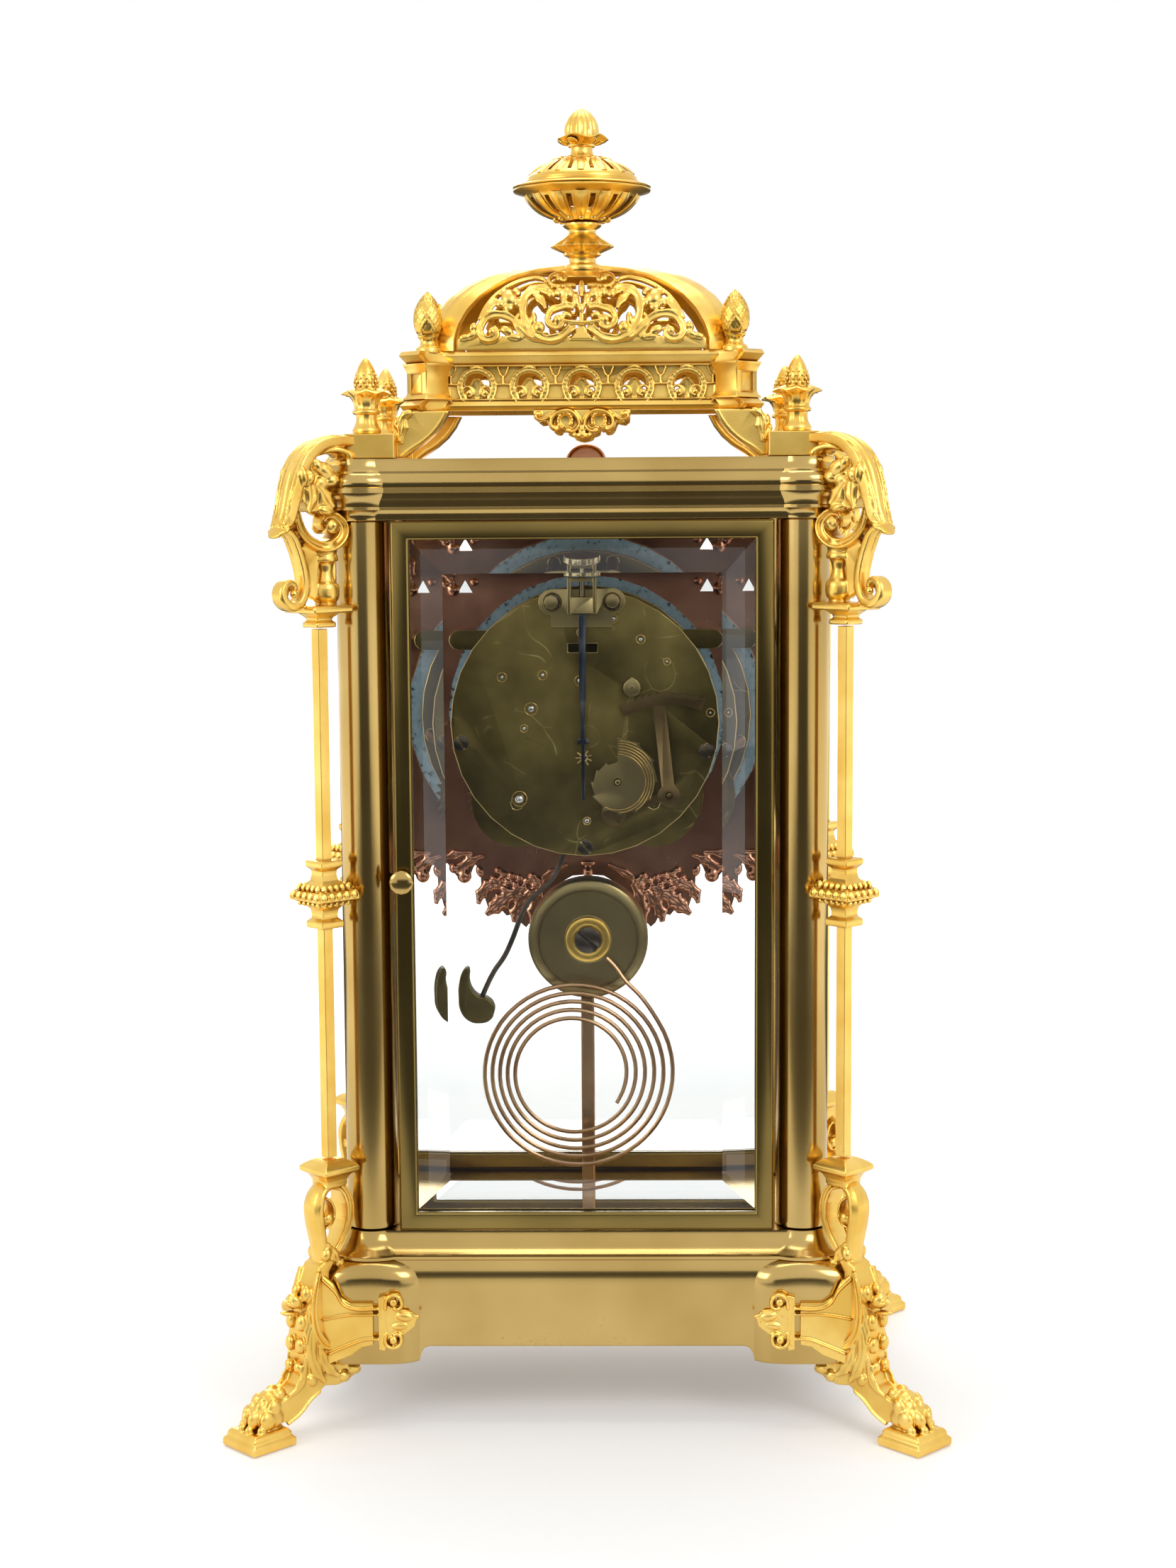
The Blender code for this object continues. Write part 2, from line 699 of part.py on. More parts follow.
# Case
def base_moulding():
    """Hollow casting, open underneath, with a round collar and a block at each column."""
    collar = (BASE_COLLAR, BASE_COLLAR, BASE_COLLAR_FACE, BASE_COLLAR)
    ring = (BASE_RING, BASE_RING, BASE_RING_FACE, BASE_RING)
    block = (BASE_BLOCK_HALF, BASE_BLOCK_ROUND, BASE_FACE, BASE_BLOCK_ARM)
    hollow = corner_ring(BASE_BLOCK_HALF - BASE_WALL, BASE_BLOCK_ROUND - BASE_WALL,
                         BASE_FACE - BASE_WALL, BASE_BLOCK_ARM)
    throat = corner_ring(*(size - BASE_WALL for size in collar))
    rounding_shares = ((0.0, 0.0), (0.25, 0.7), (1.0, 1.0))
    ogee_shares = ((0.88, 0.16), (0.5, 0.32), (0.08, 0.62), (0.0, 1.0))
    inside = [at_height(throat, FLOOR_Z - BASE_PLATE),
              at_height(hollow, BASE_SHOULDER_Z - BASE_WALL),
              skirt_edge(hollow)]
    outside = [skirt_edge(corner_ring(*block))]
    for inward, up in rounding_shares:
        height = BASE_SHOULDER_Z + (BASE_LEDGE_Z - BASE_SHOULDER_Z) * up
        outside.append(at_height(corner_ring(*mix(block, ring, inward)), height))
    for out, up in ogee_shares:
        height = BASE_LEDGE_Z + (FLOOR_Z - BASE_LEDGE_Z) * up
        outside.append(at_height(corner_ring(*mix(collar, ring, out)), height))
    return cut(join_rings(inside + outside), hinge_holes(FLOOR_Z, -1))


def skirt_edge(outline):
    """Lower edge of the base: higher between the corner blocks."""
    count = len(outline) // 4
    return [(x, y, BASE_SKIRT_Z if i % count in (0, count - 1) else BASE_BLOCK_Z)
            for i, (x, y) in enumerate(outline)]


def hinge_holes(face_z, side):
    """Cutters for the door pins, from a face down (side -1) or up (side 1) into a casting."""
    hinge_x = DOOR_HALF - HINGE_INSET
    ends = sorted((face_z - side * OVERRUN, face_z + side * HINGE_HOLE_DEPTH))
    radius = HINGE_PIN_RADIUS + GAP
    return [rod_along_z(radius, *ends, -hinge_x, HINGE_Y, HINGE_SIDES),
            rod_along_z(radius, *ends, hinge_x, -HINGE_Y, HINGE_SIDES)]


def cornice():
    neck = (CORNICE_NECK, CORNICE_NECK, CORNICE_NECK_FACE, CORNICE_NECK)
    fillet = (CORNICE_FILLET, CORNICE_FILLET, CORNICE_FILLET_FACE, CORNICE_FILLET)
    moulding_shares = ((0.0, 0.0), (0.0, 0.2), (0.6, 0.28), (0.64, 0.4), (1.0, 0.48), (1.0, 0.54),
                       (0.7, 0.7), (0.2, 0.82), (0.2, 1.0))
    rise = CORNICE_TOP_Z - CEILING_Z
    rings = [at_height(corner_ring(*mix(neck, fillet, out)), CEILING_Z + rise * up)
             for out, up in moulding_shares]
    pocket = box((-POCKET_X, -POCKET_Y, CEILING_Z - OVERRUN),
                 (POCKET_X, POCKET_Y, CORNICE_TOP_Z - CORNICE_PLATE))
    shape = cut(join_rings(rings), [pocket] + hinge_holes(CEILING_Z, 1))
    return union([shape, crest()])


def crest():
    """Cast plate with a round top, at the middle of the cornice's front."""
    centre_z = CREST_TOP_Z - CREST_HALF
    steps = 8
    arch = [(CREST_HALF * cos(pi * i / steps), centre_z + CREST_HALF * sin(pi * i / steps))
            for i in range(steps + 1)]
    outline = [(-CREST_HALF, CREST_BOTTOM_Z), (CREST_HALF, CREST_BOTTOM_Z)] + arch
    face = -COLUMN_Y - CREST_FACE
    return slab_xz(outline, face, face + CREST_THICK)


def column():
    shape = rod_along_z(COLUMN_RADIUS, FLOOR_Z + GAP, CEILING_Z - GAP, COLUMN_X, COLUMN_Y, COLUMN_SIDES)
    slot_half = SIDE_GLASS_THICK / 2 + GAP
    inner = COLUMN_Y - COLUMN_RADIUS
    slot = box((COLUMN_X - slot_half, inner - OVERRUN, FLOOR_Z - OVERRUN),
               (COLUMN_X + slot_half, inner + SLOT_DEPTH, CEILING_Z + OVERRUN))
    return cut(shape, [slot])


def side_glass(side):
    reach = COLUMN_Y - COLUMN_RADIUS + SLOT_DEPTH - GAP
    middle = side * COLUMN_X
    return box((middle - SIDE_GLASS_THICK / 2, -reach, FLOOR_Z + GAP),
               (middle + SIDE_GLASS_THICK / 2, reach, CEILING_Z - GAP))


# Doors, drawn at the back of the case
def door_rectangle(inset, y):
    """Rectangle inside the edge of a closed door, at a depth."""
    x = DOOR_HALF - inset
    low = FLOOR_Z + DOOR_SEAT + inset
    high = CEILING_Z - DOOR_SEAT - inset
    return [(-x, y, low), (x, y, low), (x, y, high), (-x, y, high)]


def door_frame():
    half = DOOR_THICK / 2
    c = DOOR_CHAMFER
    groove = GLASS_EDGE / 2 + GAP
    floor = DOOR_BAR - GROOVE_DEPTH
    section = ((0, c - half), (0, half - c), (c, half), (DOOR_BAR - c, half), (DOOR_BAR, half - c),
               (DOOR_BAR, groove), (floor, groove), (floor, -groove), (DOOR_BAR, -groove),
               (DOOR_BAR, c - half), (DOOR_BAR - c, -half), (c, -half))
    shape = join_rings([door_rectangle(inset, DOOR_CENTRE_Y + y) for inset, y in section], closed=True)
    hinge_x = HINGE_INSET - DOOR_HALF
    low = FLOOR_Z + DOOR_SEAT
    high = CEILING_Z - DOOR_SEAT
    shape = union([shape,
                   rod_along_z(HINGE_PIN_RADIUS, low - HINGE_PIN_LENGTH, low + HINGE_PIN_LENGTH,
                               hinge_x, HINGE_Y, HINGE_SIDES),
                   rod_along_z(HINGE_PIN_RADIUS, high - HINGE_PIN_LENGTH, high + HINGE_PIN_LENGTH,
                               hinge_x, HINGE_Y, HINGE_SIDES)])
    hole = rod_along_y(KNOB_STEM + GAP, DOOR_CENTRE_Y - DOOR_THICK, DOOR_CENTRE_Y + DOOR_THICK, KNOB_X, KNOB_Z)
    return cut(shape, [hole])


def door_glass():
    inset = DOOR_BAR - GROOVE_DEPTH + GAP
    back = DOOR_CENTRE_Y - GLASS_EDGE / 2
    return join_rings([door_rectangle(inset, back),
                       door_rectangle(inset, back + GLASS_EDGE),
                       door_rectangle(inset + GROOVE_DEPTH, back + GLASS_EDGE),
                       door_rectangle(inset + GROOVE_DEPTH + BEVEL_WIDTH, back + GLASS_THICK)])


def door_knob():
    """Turned knob outside, with a stem through the frame and a latch blade inside."""
    inner = DOOR_CENTRE_Y - DOOR_THICK / 2 - GAP
    outer = DOOR_CENTRE_Y + DOOR_THICK / 2 + GAP
    button = outer + KNOB_NECK_LENGTH
    button_shares = ((0.8, 0.0), (1.0, 0.25), (1.0, 0.7), (0.72, 1.0))
    profile = [(KNOB_STEM, inner - LATCH_THICK / 2), (KNOB_STEM, outer), (KNOB_NECK, outer),
               (KNOB_NECK, button)]
    profile += [(KNOB_RADIUS * r, button + KNOB_THICK * y) for r, y in button_shares]
    blade = box((KNOB_X - LATCH_WIDTH / 2, inner - LATCH_THICK, KNOB_Z - LATCH_WIDTH / 2),
                (KNOB_X + LATCH_REACH, inner, KNOB_Z + LATCH_WIDTH / 2))
    return union([lathe_along_y(profile, KNOB_SIDES, KNOB_X, KNOB_Z), blade])


def add_door(name, place):
    """Frame, glass and knob of a door; place moves a shape from the back door's position."""
    hinge = place @ Vector((HINGE_INSET - DOOR_HALF, HINGE_Y, 0))
    knob = place @ Vector((KNOB_X, DOOR_CENTRE_Y, KNOB_Z))
    add_piece(f"{name}_frame", move(door_frame(), place), BRASS, hinge)
    add_piece(f"{name}_glass", move(door_glass(), place), GLASS, hinge)
    add_piece(f"{name}_knob", move(door_knob(), place), BRASS, knob)


# Corner castings, drawn with X outward from the column and Y across the diagonal
def corner_rod():
    knop_shares = ((0.53, 0.0), (0.51, 0.13), (0.375, 0.185), (0.41, 0.265), (0.74, 0.37), (1.0, 0.455),
                   (0.98, 0.54), (0.625, 0.615), (0.375, 0.72), (0.375, 0.84), (0.51, 0.9), (0.51, 1.0))
    stations = [(ROD_HALF, CAP_TOP_Z + GAP), (ROD_HALF, KNOP_BOTTOM_Z)]
    stations += [(KNOP_HALF * half, KNOP_BOTTOM_Z + KNOP_HEIGHT * up) for half, up in knop_shares]
    stations += [(ROD_HALF, KNOP_BOTTOM_Z + KNOP_HEIGHT), (ROD_HALF, SOCKET_Z - GAP)]
    return on_diagonal(square_loft(stations, (ROD_REACH, 0)))


def on_sheet(shares, sheet, height=0.0):
    """Outline points from their shares of a sheet whose lower edge is at a height."""
    return [(sheet * x, height + sheet * z) for x, z in shares]


def bracket_points(shares):
    return on_sheet(shares, BRACKET_SHEET, BRACKET_SHEET_Z)


def corner_bracket():
    crown_shares = ((0.03, 1.012), (0.12, 1.013), (0.2, 0.994), (0.25, 0.96), (0.287, 0.91),
                    (0.31, 0.845), (0.335, 0.758), (0.363, 0.706))
    crown_width_shares = (0.75, 0.82, 0.92, 0.96, 1.0, 1.0, 0.96, 0.75)
    volute_shares = ((0.31, 0.83), (0.312, 0.77), (0.285, 0.697), (0.225, 0.651), (0.152, 0.656),
                     (0.114, 0.698), (0.136, 0.736), (0.182, 0.735))
    volute_eye_share = (0.163, 0.715)
    arm_shares = ((0.36, 0.705), (0.3, 0.665), (0.271, 0.59), (0.264, 0.52), (0.278, 0.468), (0.315, 0.443),
                  (0.358, 0.458), (0.368, 0.5), (0.332, 0.524))
    arm_eye_share = (0.325, 0.486)
    leaf_shares = ((0.305, 0.91), (0.265, 0.937), (0.205, 0.938), (0.162, 0.912), (0.155, 0.868),
                   (0.182, 0.846), (0.157, 0.79), (0.19, 0.762), (0.25, 0.76), (0.31, 0.81))
    baluster_shares = ((0.036, 0.435), (0.036, 0.455), (0.048, 0.462), (0.048, 0.51), (0.028, 0.545),
                       (0.034, 0.586), (0.047, 0.595), (0.043, 0.655))
    socket_shares = ((1.0, 0.0), (1.0, 0.27), (0.8, 0.53), (1.3, 1.0))
    crown = [CROWN_WIDTH * share for share in crown_width_shares]
    shapes = [stroke(bracket_points(crown_shares), crown, CROWN_HALF_DEPTH, 0.45),
              slab_xz(bracket_points(leaf_shares), -LEAF_HALF_DEPTH, LEAF_HALF_DEPTH),
              stroke(bracket_points(volute_shares), [VOLUTE_WIDTH] * len(volute_shares), VOLUTE_HALF_DEPTH),
              stroke(bracket_points(arm_shares), [ARM_WIDTH] * len(arm_shares), ARM_HALF_DEPTH),
              lathe(bracket_points(baluster_shares), BALUSTER_SIDES, (BALUSTER_REACH, 0)),
              square_loft(((ABACUS_HALF, ABACUS_Z), (ABACUS_HALF, ABACUS_Z + ABACUS_THICK)), (ROD_REACH, 0)),
              square_loft([(SOCKET_HALF * half, SOCKET_Z + (ABACUS_Z + WELD - SOCKET_Z) * up)
                           for half, up in socket_shares], (ROD_REACH, 0)),
              rod_along_y(CURL_RADIUS, -CROWN_HALF_DEPTH, CROWN_HALF_DEPTH, CURL_S, CURL_Z, EYE_SIDES)]
    for share, radius, half_depth in ((volute_eye_share, VOLUTE_EYE, VOLUTE_HALF_DEPTH + EYE_RISE),
                                      (arm_eye_share, ARM_EYE, ARM_HALF_DEPTH + EYE_RISE)):
        (x, z), = bracket_points([share])
        shapes.append(rod_along_y(radius, -half_depth, half_depth, x, z, EYE_SIDES))
    block = box((BLOCK_X - BLOCK_HALF, BLOCK_Y - BLOCK_HALF, CORNICE_TOP_Z + GAP),
                (BLOCK_X + BLOCK_HALF, BLOCK_Y + BLOCK_HALF, BLOCK_TOP_Z))
    return union([on_diagonal(union(shapes)), block])


def foot():
    body_shares = ((0.242, 0.62), (0.285, 0.6), (0.328, 0.525), (0.36, 0.43), (0.366, 0.23), (0.386, 0.185),
                   (0.48, 0.15), (0.49, 0.07), (0.39, 0.075), (0.305, 0.138), (0.26, 0.155), (0.214, 0.145),
                   (0.13, 0.164), (0.105, 0.2), (0.115, 0.23), (0.243, 0.23), (0.243, 0.57), (0.22, 0.605))
    harp_shares = ((0.205, 0.88), (0.156, 0.85), (0.137, 0.78), (0.145, 0.705), (0.195, 0.635), (0.245, 0.605))
    harp_back_shares = ((0.215, 0.88), (0.256, 0.855), (0.276, 0.8), (0.266, 0.715), (0.25, 0.61))
    harp_eye_share = (0.233, 0.76)
    cap_shares = ((0.57, 0.0), (0.66, 0.38), (1.0, 0.58), (1.0, 0.74), (0.42, 1.0))
    paw_shares = ((0.9, 0.3, 0.0), (1.0, 0.47, 0.0), (0.95, 0.68, 0.12), (0.73, 0.86, 0.3), (0.39, 1.0, 0.49))
    plinth_shares = ((0.98, 0.0), (1.0, 0.47), (0.86, 0.62), (0.8, 1.0))
    sheet = FOOT_SHEET
    paw = [[(PLINTH_REACH - PAW_RADIUS * back + x, y, PAW_HEIGHT * up)
            for x, y in circle(PAW_RADIUS * wide, PAW_SIDES)] for wide, up, back in paw_shares]
    (eye_x, eye_z), = on_sheet([harp_eye_share], sheet)
    eye_depth = HARP_HALF_DEPTH + EYE_RISE
    shapes = [slab_xz(on_sheet(body_shares, sheet), -FOOT_HALF_DEPTH, FOOT_HALF_DEPTH),
              stroke(on_sheet(harp_shares, sheet), [HARP_WIDTH] * len(harp_shares), HARP_HALF_DEPTH),
              stroke(on_sheet(harp_back_shares, sheet), [HARP_BACK_WIDTH] * len(harp_back_shares),
                     HARP_HALF_DEPTH, 0.4),
              rod_along_y(HARP_EYE, -eye_depth, eye_depth, eye_x, eye_z, EYE_SIDES),
              square_loft([(CAP_HALF * half, CAP_Z + (CAP_TOP_Z - CAP_Z) * up) for half, up in cap_shares],
                          (ROD_REACH, 0)),
              square_loft([(PLINTH_HALF * half, PLINTH_HEIGHT * up) for half, up in plinth_shares],
                          (PLINTH_REACH, 0)),
              join_rings(paw)]
    return union([on_diagonal(union(shapes)), strap(False), strap(True)])


def strap(across):
    """Trefoil strap on the back face of the corner block, or on its side face."""
    strap_shares = ((0.154, 0.57), (0.1, 0.49), (0.064, 0.463), (-0.016, 0.465), (-0.046, 0.502),
                    (-0.1, 0.49), (-0.12, 0.455), (-0.178, 0.412), (-0.125, 0.355), (-0.1, 0.305),
                    (-0.046, 0.305), (-0.016, 0.32), (0.05, 0.285), (0.154, 0.25))
    low = BASE_BLOCK_HALF + GAP
    rings = []
    for level in (low, low + STRAP_THICK):
        ring = []
        for u, z in on_sheet(strap_shares, FOOT_SHEET):
            x, y = (level, u) if across else (u, level)
            ring.append((COLUMN_X + x, COLUMN_Y + y, z))
        rings.append(ring)
    return join_rings(rings)


# Gallery, dome and finials
def gallery_leg():
    leg_shares = ((0.649, 0.453), (0.649, 0.535), (0.626, 0.565), (0.614, 0.615), (0.465, 0.615),
                  (0.486, 0.574), (0.516, 0.535), (0.554, 0.502), (0.6, 0.472), (0.625, 0.453))
    sheet_z = GALLERY_BOTTOM_Z - GAP - LEG_SHEET * max(z for x, z in leg_shares)
    return slab_xz(on_sheet(leg_shares, LEG_SHEET, sheet_z), LEG_Y - LEG_HALF_DEPTH, LEG_Y + LEG_HALF_DEPTH)


def urn_finial():
    urn_shares = ((0.585, 0.0), (0.585, 0.07), (0.44, 0.16), (0.6, 0.27), (0.51, 0.33), (0.73, 0.485),
                  (1.0, 0.535), (0.48, 0.62), (0.48, 0.7), (0.2, 0.925), (0.04, 1.0))
    profile = [(URN_RADIUS * r, BLOCK_TOP_Z + GAP + URN_HEIGHT * z) for r, z in urn_shares]
    return lathe(profile, URN_SIDES, (URN_X, URN_Y))


def gallery_frieze():
    """Pierced wall with posts and pinecones at its corners and a scroll pendant on each long side."""
    quadrant_shares = ((1.0, 0.77), (1.045, 0.95), (1.185, 1.1), (1.046, 1.4), (1.015, 1.21), (0.894, 1.0))
    level_shares = ((0.6, 0.0), (1.0, 0.08), (0.08, 0.2), (0.08, 0.79), (1.0, 0.93), (0.7, 1.0))
    outline = around_quadrants([(GALLERY_X * x, GALLERY_Y * y) for x, y in quadrant_shares])
    rise = GALLERY_TOP_Z - GALLERY_BOTTOM_Z
    rings = []
    for out, up in level_shares:
        grow = GALLERY_FLARE * out
        ring = [(x * (1 + grow / GALLERY_X), y * (1 + grow / GALLERY_Y)) for x, y in outline]
        rings.append(at_height(ring, GALLERY_BOTTOM_Z + rise * up))
    hollow = box((GALLERY_WALL - GALLERY_X, GALLERY_WALL - GALLERY_Y, GALLERY_BOTTOM_Z - OVERRUN),
                 (GALLERY_X - GALLERY_WALL, GALLERY_Y - GALLERY_WALL, GALLERY_TOP_Z + OVERRUN))
    shape = cut(join_rings(rings), [hollow])
    quarter = Matrix.Rotation(pi / 2, 4, "Z")
    for i in range(ARCH_COUNT):
        shape = cut(shape, [arch_cutter((i - (ARCH_COUNT - 1) / 2) * ARCH_PITCH)])
    for i in range(ARCH_END_COUNT):
        shape = cut(shape, [move(arch_cutter((i - (ARCH_END_COUNT - 1) / 2) * ARCH_PITCH), quarter)])
    return union([shape, pendant(1), pendant(-1)] + [pinecone(a, b) for name, a, b in CORNERS])


def arch_cutter(x):
    """Cutter through both walls for one pair of arches."""
    steps = 4
    arc = [(x + ARCH_RADIUS * cos(pi * i / steps), ARCH_Z + ARCH_RADIUS * sin(pi * i / steps))
           for i in range(steps + 1)]
    outline = [(x - ARCH_RADIUS, ARCH_SILL_Z), (x + ARCH_RADIUS, ARCH_SILL_Z)] + arc
    return slab_xz(outline, -GALLERY_X - OVERRUN, GALLERY_X + OVERRUN)


def pinecone(side_x, side_y):
    cone_shares = ((0.9, 0.0), (0.9, 0.07), (0.5, 0.14), (0.94, 0.39), (1.0, 0.58), (0.72, 0.82), (0.06, 1.0))
    profile = [(CONE_RADIUS * r, GALLERY_TOP_Z - GAP + CONE_HEIGHT * z) for r, z in cone_shares]
    return lathe(profile, CONE_SIDES, (side_x * CONE_X, side_y * CONE_Y))


def pendant(side):
    drop_shares = ((1.0, 0.0), (0.96, 0.22), (0.78, 0.4), (0.6, 0.26), (0.49, 0.55), (0.3, 0.7), (0.14, 0.9),
                   (0.0, 1.0))
    half = [(PENDANT_HALF * x, GALLERY_BOTTOM_Z + GAP - PENDANT_DROP * z) for x, z in drop_shares]
    outline = half + [(-x, z) for x, z in reversed(half[:-1])]
    faces = sorted((side * GALLERY_Y, side * (GALLERY_Y - GALLERY_WALL)))
    return slab_xz(outline, *faces)


def dome():
    """Rings of panes from the sill up; some panes on each side are left out."""
    level_shares = ((1.0, 1.0, 0.84, 0.68, 0.0), (1.0, 1.0, 0.84, 0.68, 0.12), (0.98, 0.97, 0.81, 0.66, 0.28),
                    (0.95, 0.91, 0.76, 0.59, 0.45), (0.88, 0.81, 0.68, 0.5, 0.61), (0.785, 0.67, 0.575, 0.39, 0.75),
                    (0.6, 0.44, 0.38, 0.22, 0.91), (0.265, 0.215, 0.13, 0.095, 1.0))
    drop_shares = (0.0, 0.0, 0.1, 0.25, 0.4, 0.6, 0.85, 1.0)
    sill = GALLERY_TOP_Z + GAP
    rise = DOME_TOP_Z - sill
    outer = []
    inner = []
    for (x, y, hip_x, hip_y, up), drop in zip(level_shares, drop_shares):
        z = sill + rise * up
        plan = (DOME_X * x, DOME_Y * y, DOME_X * hip_x, DOME_Y * hip_y)
        outer.append(at_height(dome_loop(*plan), z))
        inner_plan = (plan[0] - DOME_WALL, plan[1] - DOME_WALL, plan[2] - DOME_WALL / 2, plan[3] - DOME_WALL / 2)
        inner.append(at_height(dome_loop(*inner_plan), z - DOME_WALL * drop))
    return pierced_shell(outer, inner, dome_openings())


def dome_loop(x, y, hip_x, hip_y):
    """One ring of corners: long side, hip and short side, twice round."""
    half_loop = [(hip_x - 2 * hip_x * i / DOME_LONG_PANES, y) for i in range(DOME_LONG_PANES + 1)]
    half_loop += [(-x, hip_y - 2 * hip_y * i / DOME_SHORT_PANES) for i in range(DOME_SHORT_PANES + 1)]
    return half_loop + [(-a, -b) for a, b in half_loop]


def dome_openings():
    half = DOME_LONG_PANES + DOME_SHORT_PANES + 2
    long_columns = (1, 2, DOME_LONG_PANES - 3, DOME_LONG_PANES - 2)
    short_column = DOME_LONG_PANES + 1 + DOME_SHORT_PANES // 2
    missing = set()
    for start in (0, half):
        for row in (2, 3, 4):
            missing.update((row, start + column) for column in long_columns)
        missing.update((row, start + short_column) for row in (2, 3))
    return missing


def finial_ring(r, z):
    return at_height(circle(FINIAL_SHEET_WIDTH * r, FINIAL_SIDES), FINIAL_SHEET_Z + FINIAL_SHEET_WIDTH * z)


def finial_shell(outer_shares, inner_shares, slot_row):
    missing = {(slot_row, i) for i in range(0, FINIAL_SIDES, 2)}
    return pierced_shell([finial_ring(*share) for share in outer_shares],
                         [finial_ring(*share) for share in inner_shares], missing)


def finial_bowl():
    outer_shares = ((0.249, 0.412), (0.249, 0.403), (0.205, 0.388), (0.151, 0.334), (0.098, 0.308),
                    (0.06, 0.3), (0.07, 0.286), (0.05, 0.27), (0.05, 0.26), (0.11, 0.21), (0.066, 0.184),
                    (0.048, 0.166), (0.05, 0.152), (0.06, 0.127))
    inner_shares = ((0.198, 0.412), (0.195, 0.403), (0.188, 0.386), (0.136, 0.344), (0.086, 0.324))
    return finial_shell(outer_shares, inner_shares, 2)


def finial_lid():
    outer_shares = ((0.246, 0.415), (0.246, 0.423), (0.2, 0.43), (0.19, 0.464), (0.115, 0.508), (0.055, 0.524),
                    (0.037, 0.55), (0.046, 0.566), (0.091, 0.592), (0.06, 0.6), (0.058, 0.627), (0.042, 0.666),
                    (0.003, 0.7))
    inner_shares = ((0.196, 0.415), (0.19, 0.423), (0.182, 0.43), (0.174, 0.458), (0.104, 0.494))
    return finial_shell(outer_shares, inner_shares, 3)


# Movement
def pillar_places():
    """Five pillars as points in X and Z: two high, one each side and one low."""
    angles = (75, 103, -9, 193, 270)
    return [(PILLAR_RING * cos(radians(a)), ARBOR_Z + PILLAR_RING * sin(radians(a))) for a in angles]


def back_plate():
    back = BACK_PLATE_Y + PLATE_THICK
    shapes = [rod_along_y(PLATE_RADIUS, BACK_PLATE_Y, back, 0, ARBOR_Z, PLATE_SIDES)]
    for x, z in pillar_places()[2:]:
        shapes.append(rod_along_y(SCREW_RADIUS, back - GAP, back + SCREW_HEAD, x, z))
    for x, z in ((SNAIL_X, SNAIL_Z), (RACK_X, RACK_Z)):
        shapes.append(rod_along_y(STUD_RADIUS, back - GAP, STUD_END_Y, x, z))
    low = BACK_PLATE_Y - OVERRUN
    high = back + OVERRUN
    cutters = [rod_along_y(BARREL_ARBOR + RUN, low, high, side * BARREL_X, BARREL_Z) for side in (-1, 1)]
    cutters.append(rod_along_y(GATHER_ARBOR + RUN, low, high, GATHER_X, GATHER_Z))
    cutters.append(box((SUSPENSION_X - SLOT_HALF, low, SLOT_Z - SLOT_HALF_HEIGHT),
                       (SUSPENSION_X + SLOT_HALF, high, SLOT_Z + SLOT_HALF_HEIGHT)))
    return cut(union(shapes), cutters)


def front_plate():
    """Front plate with its pillars, and two ears whose posts carry the dial mask."""
    front = FRONT_PLATE_Y - PLATE_THICK
    inside = FRONT_PLATE_Y - PLATE_THICK / 2
    shapes = [rod_along_y(PLATE_RADIUS, front, FRONT_PLATE_Y, 0, ARBOR_Z, PLATE_SIDES),
              box((-EAR_X, front, EAR_Z - EAR_HALF), (EAR_X, FRONT_PLATE_Y, EAR_Z + EAR_HALF))]
    for side in (-1, 1):
        shapes.append(rod_along_y(EAR_HALF, front, FRONT_PLATE_Y, side * EAR_X, EAR_Z, KNOB_SIDES))
        shapes.append(rod_along_y(EAR_POST_RADIUS, DIAL_FACE_Y, inside, side * EAR_X, EAR_Z))
    for x, z in pillar_places():
        shapes.append(rod_along_y(PILLAR_RADIUS, inside, BACK_PLATE_Y - GAP, x, z))
    holes = [(CENTRE_ARBOR, 0, ARBOR_Z), (WINDING_SQUARE, BARREL_X, BARREL_Z),
             (WINDING_SQUARE, -BARREL_X, BARREL_Z)]
    cutters = [rod_along_y(radius + RUN, front - OVERRUN, FRONT_PLATE_Y + OVERRUN, x, z, KNOB_SIDES)
               for radius, x, z in holes]
    return cut(union(shapes), cutters)


# Going train
def second_place():
    """Second arbor, at its meshing distance from the hand arbor and from the time barrel."""
    to_centre = SECOND_MODULE * (SECOND_TEETH + PINION_LEAVES) / 2 + MESH_SLACK
    to_barrel = BARREL_MODULE * (BARREL_TEETH + PINION_LEAVES) / 2 + MESH_SLACK
    line = Vector((BARREL_X, BARREL_Z - ARBOR_Z))
    along = (line.length_squared + to_centre ** 2 - to_barrel ** 2) / (2 * line.length)
    aside = sqrt(to_centre ** 2 - along ** 2)
    line.normalize()
    return line.x * along - line.y * aside, ARBOR_Z + line.y * along + line.x * aside


def gear(teeth, module, x, z, y, thick, first_tooth):
    """Spur gear in X and Z whose first tooth points at an angle."""
    tooth_share = 0.62
    addendum_share = 0.72
    dedendum_share = 1.25
    pitch_radius = teeth * module / 2
    root = pitch_radius - module * dedendum_share
    tip = pitch_radius + module * addendum_share
    half = pi / teeth * tooth_share
    outline = []
    for i in range(teeth):
        angle = first_tooth + 2 * pi * i / teeth
        for radius, offset in ((root, -half), (tip, 0), (root, half)):
            outline.append((x + radius * cos(angle + offset), z + radius * sin(angle + offset)))
    return slab_xz(outline, y, y + thick)


def line_angle(start, end):
    return atan2(end[1] - start[1], end[0] - start[0])


